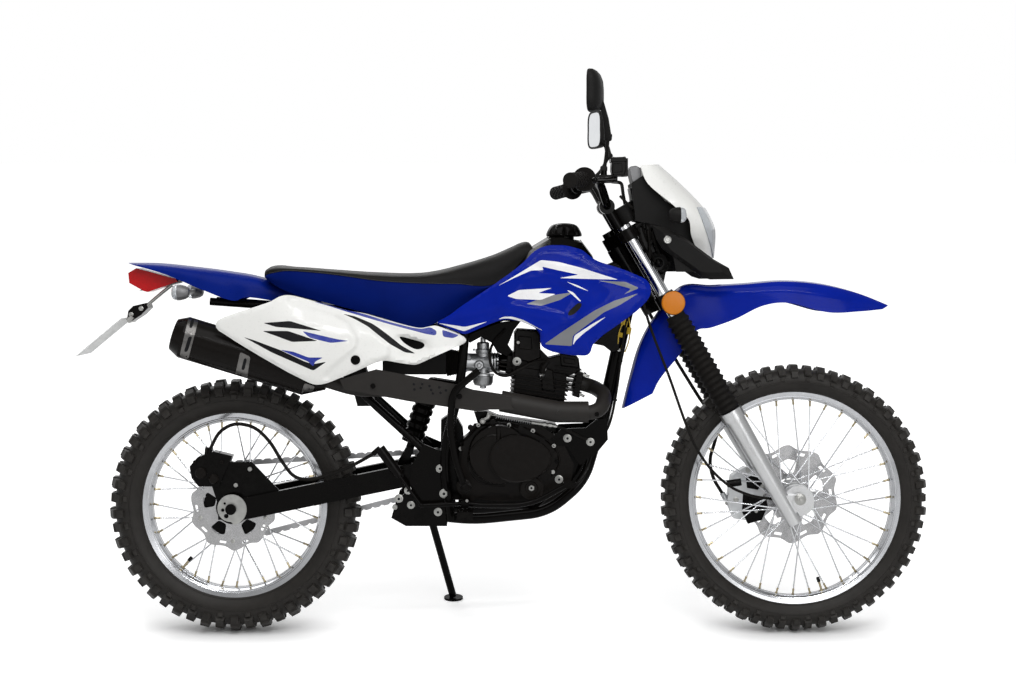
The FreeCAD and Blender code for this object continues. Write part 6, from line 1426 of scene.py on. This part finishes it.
def side_reflector():
    """The round reflector beside the lower fork clamp, and the cup and arm that hold it."""
    made("side_reflector", *turned([(28.5, 0), (30, 1), (30, 3), (28, 5.5), (20, 6.6), (5, 7.0)],
                                   REFLECTOR, NEAR, 40), amber_lens, "steering", "red_lens")
    cup = turned([(31.5, -3), (31.5, 1.5), (30.2, 2)], REFLECTOR, NEAR, 40)
    arm = swept([REFLECTOR + Vector((0, 3, 0)), REFLECTOR + Vector((-14, 12, 6))], 7, 8,
                (0.5, 1.2))
    made("reflector_mount", *together([cup, arm]), black_plastic, "steering", "black_plastic")


def guard_bolts():
    """The bolts on the guards beside the headlamp."""
    spot = sight(tree_of("side_guards"), GUARD_BOLT)
    made("guard_bolts", *both_sides(turned([(10, -1), (10, 1.5), (8.5, 2.5), (7, 2.2)], spot,
                                           NEAR, 24),
                                    socket_bolt(spot + Vector((0, -1.5, 0)), NEAR, 5.5, 4)),
         zinc, "steering", "steel")


GRIP_START, GRIP_END = Vector((-562.7, -287.0, 1167.9)), Vector((-604.0, -405.0, 1160.0))
PAD_ROWS, PADS_ROUND, PAD_PITCH = 9, 10, 11.5
FIRST_PAD, PAD_OUT = 16, 16.6


def grip_pads():
    """Rings of raised pads round the grips, and their end caps with a small hole."""
    way = (GRIP_END - GRIP_START).normalized()
    side, up = across(way)
    pads = []
    for row in range(PAD_ROWS):
        for k in range(PADS_ROUND):
            turn = 2 * math.pi * (k + 0.5 * (row % 2)) / PADS_ROUND
            out = side * math.cos(turn) + up * math.sin(turn)
            pads.append(turned([(5.4, -1.0), (5.2, 1.3), (4.2, 1.9)],
                               GRIP_START + way * (FIRST_PAD + row * PAD_PITCH) + out * PAD_OUT,
                               out, 4))
    cap = turned([(17.2, 0), (19, 1), (19, 4), (16, 6.5), (5, 7), (4.5, 5)],
                 GRIP_END - way * 4, way, 24)
    made("grip_pads", *both_sides(*pads, cap), rubber, "steering", "rubber")


side_reflector()
guard_bolts()
grip_pads()


# Plates and castings seen from the side
def slab(loop, near, far, edge=2.0):
    """A plate with bevelled edges that shows a line of pixels and runs straight back."""
    spots = [seen_at(spot, near) for spot in loop]
    count = len(spots)
    area = sum(a.x * b.z - b.x * a.z for a, b in zip(spots, spots[1:] + spots[:1]))
    turn = 1 if area > 0 else -1
    inner = []
    for i, spot in enumerate(spots):
        before = (spot - spots[i - 1]).normalized()
        after = (spots[(i + 1) % count] - spot).normalized()
        inwards = Vector((-before.z - after.z, 0, before.x + after.x)).normalized() * turn
        inner.append(spot + inwards * edge)
    corners = []
    for ring, depth in ((inner, near), (spots, near + edge), (spots, far - edge), (inner, far)):
        corners += [Vector((spot.x, depth, spot.z)) for spot in ring]
    return corners, skin_over(4, count)


def slabs(rows):
    """Several such plates as one: each row is a line, its near and far depth and its bevel."""
    return together([slab(*row) for row in rows])


def fin(left, right, near, far):
    """A cooling fin, seen on its edge."""
    (x1, y1), (x2, y2) = left, right
    return slab([(x1, y1 - 0.6), (x2, y2 - 0.6), (x2 + 0.5, y2 + 0.1), (x2, y2 + 0.8),
                 (x1, y1 + 0.8), (x1 - 0.5, y1 + 0.1)], near, far, 0.8)


# Barrel and head: castings, and rows of fins as the first fin's two ends, the step from fin to
# fin at each end, the number and the reach to each side
CASTINGS = [([(514.5, 333), (517.5, 329), (536.5, 330.5), (540, 335), (541, 358), (529, 363),
              (514, 358)], -52, 52, 4),
            ([(518.5, 336), (531.5, 337), (532, 350), (519, 349)], -57, -48, 2.5),
            ([(512, 352), (541, 350), (549, 358), (560, 355.5), (579, 358.5), (580.5, 371),
              (569, 376), (512, 372)], -44, 44, 3),
            ([(560, 353.5), (577.5, 356.5), (579, 359), (579, 368), (561, 366)], -52, 52, 3),
            ([(563.5, 357.5), (575, 359.5), (575.5, 364.5), (564, 363)], -56, -48, 2),
            ([(516, 366), (567, 374), (563.5, 410), (512, 404)], -47, 47, 3),
            ([(541, 372), (546, 368), (553, 370), (555, 392), (542, 390)], -58, -40, 3),
            ([(507.5, 355), (513.5, 356), (511.5, 375), (505.5, 373)], -30, 30, 2),
            ([(577, 371), (583.5, 373), (579, 398), (572.5, 396)], -52, 8, 2)]
FINS = [((512, 374), (569, 383), (-0.2, 4.2), (-0.6, 4.2), 7, 66),
        ((496, 361), (516, 364.5), (1, 4.2), (0, 4.2), 4, 52),
        ((556, 366), (581.5, 370), (0, 4.4), (-0.3, 4.4), 6, 64)]
STUDS = [((578, 373), (589.5, 376.5)), ((573, 391), (584.5, 396.5))]
HEAD_SCREWS = [(518.2, 342.5), (541, 378)]


def barrel_and_head():
    """The cast blocks of barrel and head with their cooling fins, and the studs and screws."""
    parts = [slab(*row) for row in CASTINGS]
    for (x1, y1), (x2, y2), (dx1, dy1), (dx2, dy2), count, reach in FINS:
        parts += [fin((x1 + dx1 * k, y1 + dy1 * k), (x2 + dx2 * k, y2 + dy2 * k), -reach, reach)
                  for k in range(count)]
    made("cylinder_and_head", *together(parts), engine_black, "chassis", "engine_black",
         ["cylinder"])
    studs = []
    for ends in STUDS:
        foot, end = [seen_at(spot, -40) for spot in ends]
        reach = (end - foot).length
        studs += [turned([(3.4, 0), (3.4, reach)], foot, end - foot, 10),
                  turned([(6.8, reach * 0.45), (6.8, reach * 0.68)], foot, end - foot, 6)]
    studs += [socket_bolt(seen_at(spot, -58), NEAR, 4.2, 4) for spot in HEAD_SCREWS]
    made("head_studs", *together(studs), zinc, "chassis", "steel")


barrel_and_head()

# Gussets and the small black parts that close the frame's corners
GUSSETS = [([(463, 337), (480, 329.5), (497, 323), (522, 320), (514, 330), (508, 345), (513, 352),
             (507, 357), (497, 352), (492, 343), (481, 337), (470, 343)], -22, 22, 2),
           ([(594, 344), (606, 332), (621, 321), (624, 324), (619, 350), (613, 353), (604, 346)],
            -26, 26, 2),
           ([(441, 420), (447, 416), (458, 419), (463, 428), (464, 447), (460, 470), (466, 480),
             (462, 500), (440, 500)], -30, 30, 2),
           ([(560, 442), (571, 440), (580, 462), (572, 482), (558, 484)], -34, 34, 2),
           ([(468, 494), (536, 494), (548, 488), (556, 492), (536, 510), (468, 508)], -52, 40, 3),
           ([(474, 412), (486, 411), (500, 417), (556, 424), (556, 432), (480, 430)], -40, 30, 2)]
made("frame_gussets", *slabs(GUSSETS), gloss_black, "chassis", "black_paint")

# What stands out on the right cover of the engine: raised lines through pixels, a round lid of
# which the lower half shows, a drum, a filler boss and a sight glass
cases = tree_of("crankcase")
COVER_LINE = [(461, 446), (467, 438), (477.5, 427), (484, 425), (508, 425), (518, 427),
              (532, 431), (541, 436), (551, 444), (557, 452), (559.5, 462), (556, 471),
              (551.5, 477)]
DRUM_LINE = [(497, 435), (488, 436), (479, 441), (471, 450), (468, 461), (471, 472), (478, 481),
             (490, 485), (505, 486)]
LID_MIDDLE, LID_WIDE, LID_HIGH, LID_FLAT = (520.7, 458.6), 30.2, 23.2, 0.14
LID_STEPS = 40
DRUM_POST, FILLER_BOSS, SIGHT_GLASS = (498.6, 436), (531.4, 487.9), (464, 487)


def laid(line, radius):
    """A raised line on the engine's cover, through pixels."""
    return swept(curved([sight(cases, spot, -110.0) for spot in line], 5.0), radius, 8)


def cover_ridges():
    """Ribs, lid, post, boss and sight glass of the cover, and dark discs on the heads of its
    large bolts: painted shade where a recess would be.
    """
    lid = []
    for k in range(LID_STEPS + 1):
        turn = 2 * math.pi * k / LID_STEPS
        lid.append((LID_MIDDLE[0] + LID_WIDE * math.cos(turn),
                    LID_MIDDLE[1] + LID_HIGH * math.sin(turn) * (1 - LID_FLAT * math.cos(turn))))
    boss, post = sight(cases, FILLER_BOSS), sight(cases, DRUM_POST)
    made("cover_ridges", *together([
        laid(COVER_LINE, 3.2), laid(lid, 2.2), laid(DRUM_LINE, 2.4),
        swept([post + Vector((0, 2, 22)), post + Vector((0, 2, -10))], 6.5, 14),
        turned([(31, -1), (31, 3), (27, 6), (17, 6), (15, 4)], boss, NEAR, 36),
        turned([(20, -2), (20, 3), (17, 5), (9, 5), (8, 3.4)], sight(cases, SIGHT_GLASS), NEAR,
               28)]), engine_black, "chassis", "engine_black")
    # Painted shade: a flat dark disc on top of each large silver bolt's head stands in for a
    # recess
    painted_hollow_shade = [turned([(r * 0.42, 0), (r * 0.42, r * 0.1)],
                      sight(solids, (px, py)) + Vector((0, 0.62 - r * 0.8, 0)), NEAR, 6)
               for px, py, r in SILVER_BOLTS if r > LARGE_BOLT]
    made("bolt_painted_shade", *together(painted_hollow_shade), black_print_and_shade, "chassis", "black_plastic")


cover_ridges()

# Horn, lamp wires and lamp stays in front of the fork
HORN = seen_at((658.5, 263), -20)
HORN_DISC = [(30, 6), (31, 3), (31, -2), (26, -5), (22, -3), (12, -3), (8, -7), (5, -8)]
made("horn", *together([turned(HORN_DISC, HORN, FAR, 36),
                        turned([(20, 6), (19, 22), (10, 26)], HORN, FAR, 24),
                        swept([HORN + Vector((0, 10, 20)), HORN + Vector((-18, 14, 48))], 5, 8,
                              (0.5, 1.5))]), gloss_black, "steering", "black_plastic")
LOOM = [[(636, 196, -30), (641, 214, -42), (644, 232, -40), (650, 250, -34), (655, 262, -28)],
        [(640, 196, -20), (646, 216, -52), (650, 236, -46), (648, 256, -30), (654, 270, -18)],
        [(630, 206, -20), (637, 222, -46), (641, 240, -44), (649, 256, -20)],
        [(644, 205, 10), (650, 226, -30), (655, 244, -38), (660, 256, -24)],
        [(620, 196, -50), (630, 206, -58), (640, 214, -40), (646, 226, -20)]]
STAYS = [([(630, 188), (641, 178), (645, 190), (652, 203), (655, 226), (650, 233), (640, 226),
           (634, 208)], -44, 44, 3),
         ([(634, 226), (648, 228), (654, 240), (648, 252), (640, 240)], -40, 40, 2),
         ([(651, 232), (660, 236), (668, 262), (664, 282), (655, 280), (650, 258)], -14, 26, 2)]
made("lamp_wires", *together([swept(routed(route), 3.6, 8) for route in LOOM]), rubber,
     "steering", "rubber")
made("lamp_stays", *slabs(STAYS), gloss_black, "steering", "black_paint")

# Brake reservoir round the solid block of the lever's perch; its depths start at the block
CUP_BODY = [(611.8, 161), (626, 160.5), (626.4, 170), (624.5, 175.5), (613, 175.5), (611.4, 170)]
CUP_LID = [(610.8, 158.6), (613, 157.2), (624.5, 156.8), (626.6, 158), (626.8, 161.6),
           (610.9, 162)]
CUP_WINDOW = [(613.5, 163.5), (622, 163), (622.5, 172), (614, 172.5)]
CUP_FACE, CUP_HOSE = (618, 166), (626.2, 166.5)
LID_SCREWS = [(613.2, 157.6), (624.6, 157.3)]
SCREEN = [(629.2, 169), (630.8, 166.4), (636, 165.6), (640.6, 168), (641.5, 178), (632.5, 182.5)]


def brake_reservoir():
    """A cup with a screwed lid, a flat window and a hose end."""
    cup = sight(tree_of("hand_levers"), CUP_FACE, -300.0).y
    hose_end = turned([(7.5, 0), (7.5, 3), (6, 4.2), (4.5, 3.2)], seen_at(CUP_HOSE, cup + 14),
                      (1, -0.15, 0), 20)
    made("brake_reservoir", *together([slab(CUP_BODY, cup - 2.5, cup + 52, 3),
                                       slab(CUP_LID, cup - 4, cup + 54, 2),
                                       slab(CUP_WINDOW, cup - 4.5, cup, 1.5), hose_end]),
         gloss_black, "steering", "black_plastic")
    made("lid_screws", *together([turned([(3.2, -0.5), (3.2, 1.4), (2.2, 2.0)],
                                         seen_at(spot, cup + 8), ABOVE, 12)
                                  for spot in LID_SCREWS]), zinc, "steering", "steel")


brake_reservoir()
made("screen_edge", *slab(SCREEN, -46, 46, 2), satin_grey, "steering", "clear_lens")

# Plate's arm: two slim rods with a crossbar, a black clamp and its bolts; the lamp's base
ARM = [(172, 285), (163, 292), (150, 303), (136, 316), (128, 322)]
CROSSBAR = [(126, 319), (131, 315), (134, 318), (129, 323)]
CLAMP = [(128, 311), (133, 306), (146, 303), (148, 308), (141, 315), (132, 321), (127, 318)]
CLAMP_BOLTS = [(131, 314.5), (141, 308.5)]
LAMP_BASE = [(139, 290.5), (146, 291), (178, 283), (178.5, 280), (170, 281.5), (148, 287)]
rods = [swept([seen_at(spot, depth) for spot in ARM], 4.5, 10) for depth in (-34, 34)]
made("plate_rods", *together([*rods, slab(CROSSBAR, -48, 48, 1.5)]), zinc, "chassis", "steel",
     ["plate_bracket"])
made("plate_clamp", *slab(CLAMP, -42, 42, 2), gloss_black, "chassis", "black_plastic")
made("plate_bolts", *together([hex_bolt(seen_at(spot, -42), NEAR, 5, 4)
                               for spot in CLAMP_BOLTS]), zinc, "chassis", "steel")
made("tail_lamp_base", *slab(LAMP_BASE, -38, 38, 1.5), satin_grey, "chassis", "black_plastic")

# Beads on the rims
BEAD_THICK = 1.3


def rim_beads(name, node, centre, radii, body):
    """The edges of a rim, drawn as thin round beads where its sides have these radii."""
    rim = tree_of(node)
    rings = []
    for radius in radii:
        hit = rim.ray_cast(centre + Vector((0, -300, -radius)), FAR)[0]
        if hit:
            rings += [hoop(radius, way * hit.y, BEAD_THICK) for way in (-1, 1)]
    corners, faces = together(rings)
    made(name, [corner + centre for corner in corners], faces, chrome, body, "alloy")


rim_beads("front_rim_beads", "front_rim", FRONT_AXLE, (243.0, 250.0, 257.0, 264.0), "front_wheel")
rim_beads("rear_rim_beads", "rear_rim", REAR_AXLE, (205.0, 212.0, 219.0, 226.0), "rear_wheel")

# Small parts of hubs and brakes
CARRIER_ARMS = 5
DIAL_MARKS, LONG_EVERY = 20, 5
PAD_BLOCKS = [([(743, 494), (766, 497), (768, 506), (762, 520), (748, 524), (742, 512)], 2, 10),
              ([(746, 478), (756, 474), (764, 482), (758, 490), (747, 488)], 2, 10)]
CALIPER_BOLTS = [((748, 470), 5.5), ((736, 500), 6), ((756, 511), 5), ((762, 486), 5),
                 ((727, 503), 4.5)]
PIN_BOOT = [(727, 484), (741, 482)]
AXLE_END = (800.3, 499.5)
LARGE_PISTON, SMALL_PISTON = (201, 473), (214, 479)
REAR_CALIPER_BOLTS, BLEED_SCREW = [(195, 462), (222, 462)], (206, 454)


def spokes_of(count, shift=0.0):
    """Directions that divide the wheel evenly, seen from its side."""
    turns = [2 * math.pi * (i + shift) / count for i in range(count)]
    return [Vector((math.sin(turn), 0, math.cos(turn))) for turn in turns]


def disc_carrier():
    """The dark carrier behind the rear disc: a ring with arms, and a rivet on each arm."""
    carrier = [turned([(46, -60), (78, -60), (78, -57), (46, -57)], REAR_AXLE, FAR, 40)]
    rivets = []
    behind = REAR_AXLE + Vector((0, -60, 0))
    for out in spokes_of(CARRIER_ARMS, 0.5):
        rivets.append(turned([(5.5, 0), (5.5, 2), (3.5, 3)],
                             REAR_AXLE + out * 88 + Vector((0, -70, 0)), NEAR, 14))
        carrier.append(swept([behind + out * 40, behind + out * 92], [13.0, 7.0], 10, (0.3, 1.0)))
    made("disc_carrier", *together(carrier), gloss_black, "rear_wheel", "black_paint")
    made("disc_rivets", *together(rivets), zinc, "rear_wheel", "steel")


def speedometer_drive():
    """The marks round the speedometer's drive, and the front axle's nut with its washer."""
    hub = FRONT_AXLE + Vector((0, -57.4, 0))
    marks = [swept([hub + out * 28.5, hub + out * (33 if i % LONG_EVERY else 35)], 0.9, 4)
             for i, out in enumerate(spokes_of(DIAL_MARKS))]
    made("dial_marks", *together(marks), thread_grey, "steering", "black_plastic")
    leg = tree_of("fork_legs", "front_caliper", "front_hub", "speedometer")
    end = sight(leg, AXLE_END, -60.0)
    made("axle_nut", *together([turned([(15, -3), (15, 1.5), (13.5, 2.5)], end, NEAR, 28),
                                hex_bolt(end + Vector((0, -2, 0)), NEAR, 10, 8),
                                turned([(5, -8), (5, -13), (4, -14)], end, FAR, 14)]),
         zinc, "steering", "steel")


def front_caliper_parts():
    """Dark pads that stand proud of the front caliper, its pin's boot and its bolts."""
    caliper = tree_of("front_caliper")
    pads = []
    for loop, proud, deep in PAD_BLOCKS:
        depth = sight(caliper, loop[0], -60.0).y
        pads.append(slab(loop, depth - proud, depth + deep, 1.5))
    boot = swept([seen_at(spot, -66) for spot in PIN_BOOT], 9.5, 14)
    made("caliper_pads", *together([*pads, boot]), gloss_black, "steering", "black_paint")
    heads = [hex_bolt(sight(caliper, spot, -60.0) + Vector((0, -0.5, 0)), NEAR, r, r * 0.8)
             for spot, r in CALIPER_BOLTS]
    made("caliper_bolts", *together(heads), zinc, "steering", "steel")


def rear_caliper_parts():
    """The two round pistons of the rear caliper, its two bolts and its bleed screw."""
    caliper = tree_of("rear_caliper")
    made("rear_caliper_parts", *together([
        turned([(15, -6), (15, 7), (12, 10), (8, 10)], sight(caliper, LARGE_PISTON), NEAR, 20),
        turned([(13, -6), (13, 6), (10, 9)], sight(caliper, SMALL_PISTON), NEAR, 20),
        *(socket_bolt(sight(caliper, spot), NEAR, 5, 6) for spot in REAR_CALIPER_BOLTS),
        turned([(4, 0), (4, 16), (2.5, 18)], sight(caliper, BLEED_SCREW), (0.1, -0.2, 1), 10)]),
         engine_black, "chassis", "black_paint")


disc_carrier()
speedometer_drive()
front_caliper_parts()
rear_caliper_parts()


# Studio, in the row frame's metres
def soft_lamp(name, spot, aim, power, width, height):
    """A large soft lamp that looks at a point of the machine."""
    lamp = bpy.data.objects.new(name, bpy.data.lights.new(name, "AREA"))
    bpy.context.scene.collection.objects.link(lamp)
    lamp.data.shape = "RECTANGLE"
    lamp.data.size, lamp.data.size_y = width, height
    lamp.data.energy = power
    lamp.location = spot
    lamp.rotation_euler = (Vector(aim) - Vector(spot)).to_track_quat("-Z", "Y").to_euler()


EVEN_LIGHT = 0.42
HORIZON, OVERHEAD = 0.9, 0.25
FLOOR_REACH = 14.0
FLOOR_GREY = (0.9, 0.9, 0.9, 1)
NEAR_LIFT, FAR_LIFT = 0.44, 0.68
CONTACT_SHAPE = (1.0, 2.4, 0.0)


def studio_world():
    """White to the camera and through glass, white low and grey overhead to metal, even light."""
    world = bpy.data.worlds.new("studio")
    bpy.context.scene.world = world
    world.use_nodes = True
    tree = world.node_tree
    tree.nodes.clear()
    path = wired(tree, "ShaderNodeLightPath").outputs
    where = wired(tree, "ShaderNodeTexCoord")
    up = wired(tree, "ShaderNodeSeparateXYZ", [(0, where.outputs["Generated"])])
    room = spread(tree, up.outputs["Z"], 0.05, 0.6, HORIZON, OVERHEAD)
    glossy = blended(tree, path["Is Glossy Ray"], EVEN_LIGHT, room)
    clear = worked(tree, "MAXIMUM", path["Is Camera Ray"], path["Is Transmission Ray"])
    level = blended(tree, clear, glossy, 1.0)
    sky = wired(tree, "ShaderNodeBackground", [("Color", (1, 1, 1, 1)), ("Strength", level)])
    out = wired(tree, "ShaderNodeOutputWorld")
    tree.links.new(sky.outputs[0], out.inputs["Surface"])


def measured(tree, operation, *sources):
    """A vector worked out from others; a length comes out as a value."""
    node = wired(tree, "ShaderNodeVectorMath", list(enumerate(sources)), operation=operation)
    return node.outputs["Value" if operation == "LENGTH" else "Vector"]


def studio_floor():
    """A pale floor, lifted to white for the camera but for an oval round each wheel's contact,
    where the missing lift paints a shadow over the real one.
    """
    floor = bpy.data.objects.new("floor", bpy.data.meshes.new("floor"))
    bpy.context.scene.collection.objects.link(floor)
    floor.data.from_pydata([(x * FLOOR_REACH, y * FLOOR_REACH, 0)
                            for x, y in ((-1, -1), (1, -1), (1, 1), (-1, 1))], [], [(0, 1, 2, 3)])
    paper = bpy.data.materials.new("floor_paper")
    paper.use_nodes = True
    tree = paper.node_tree
    skin = tree.nodes["Principled BSDF"]
    skin.inputs["Base Color"].default_value = FLOOR_GREY
    skin.inputs["Roughness"].default_value = 0.9
    skin.inputs["Specular IOR Level"].default_value = 0.0
    path = wired(tree, "ShaderNodeLightPath")
    where = wired(tree, "ShaderNodeTexCoord").outputs["Object"]
    glow = spread(tree, measured(tree, "LENGTH", where), 1.2, 4.0, NEAR_LIFT, FAR_LIFT)
    away = []
    # Painted shadow: within an oval round each contact the camera's lift fades to nothing, so the
    # floor there is darker even where light reaches it
    for contact in (at(0, 0, 0), at(-WHEELBASE, 0, 0)):
        place = measured(tree, "SUBTRACT", where, contact)
        away.append(measured(tree, "LENGTH", measured(tree, "MULTIPLY", place, CONTACT_SHAPE)))
    wheel = worked(tree, "MINIMUM", *away)
    under = spread(tree, wheel, 0.05, 0.36, interpolation_type="SMOOTHSTEP")
    both = worked(tree, "MULTIPLY", glow, under)
    lift = worked(tree, "MULTIPLY", path.outputs["Is Camera Ray"], both)
    skin.inputs["Emission Color"].default_value = (1, 1, 1, 1)
    tree.links.new(lift, skin.inputs["Emission Strength"])
    floor.data.materials.append(paper)


soft_lamp("high_lamp", (-0.3, -1.6, 4.2), (0, 0, 0.5), 70, 4.5, 2.6)
soft_lamp("near_lamp", (1.6, -4.6, 2.4), (0, 0, 0.7), 46, 2.6, 2.0)
soft_lamp("far_lamp", (-1.5, 4.0, 3.0), (0, 0, 0.6), 52, 3.4, 2.0)
soft_lamp("edge_lamp", (0.5, -2.4, 3.0), (0, 0, 0.6), 24, 2.6, 0.12)
soft_lamp("back_edge_lamp", (-1.6, 0.8, 3.4), (0, 0, 0.6), 16, 2.0, 0.12)
studio_world()
studio_floor()
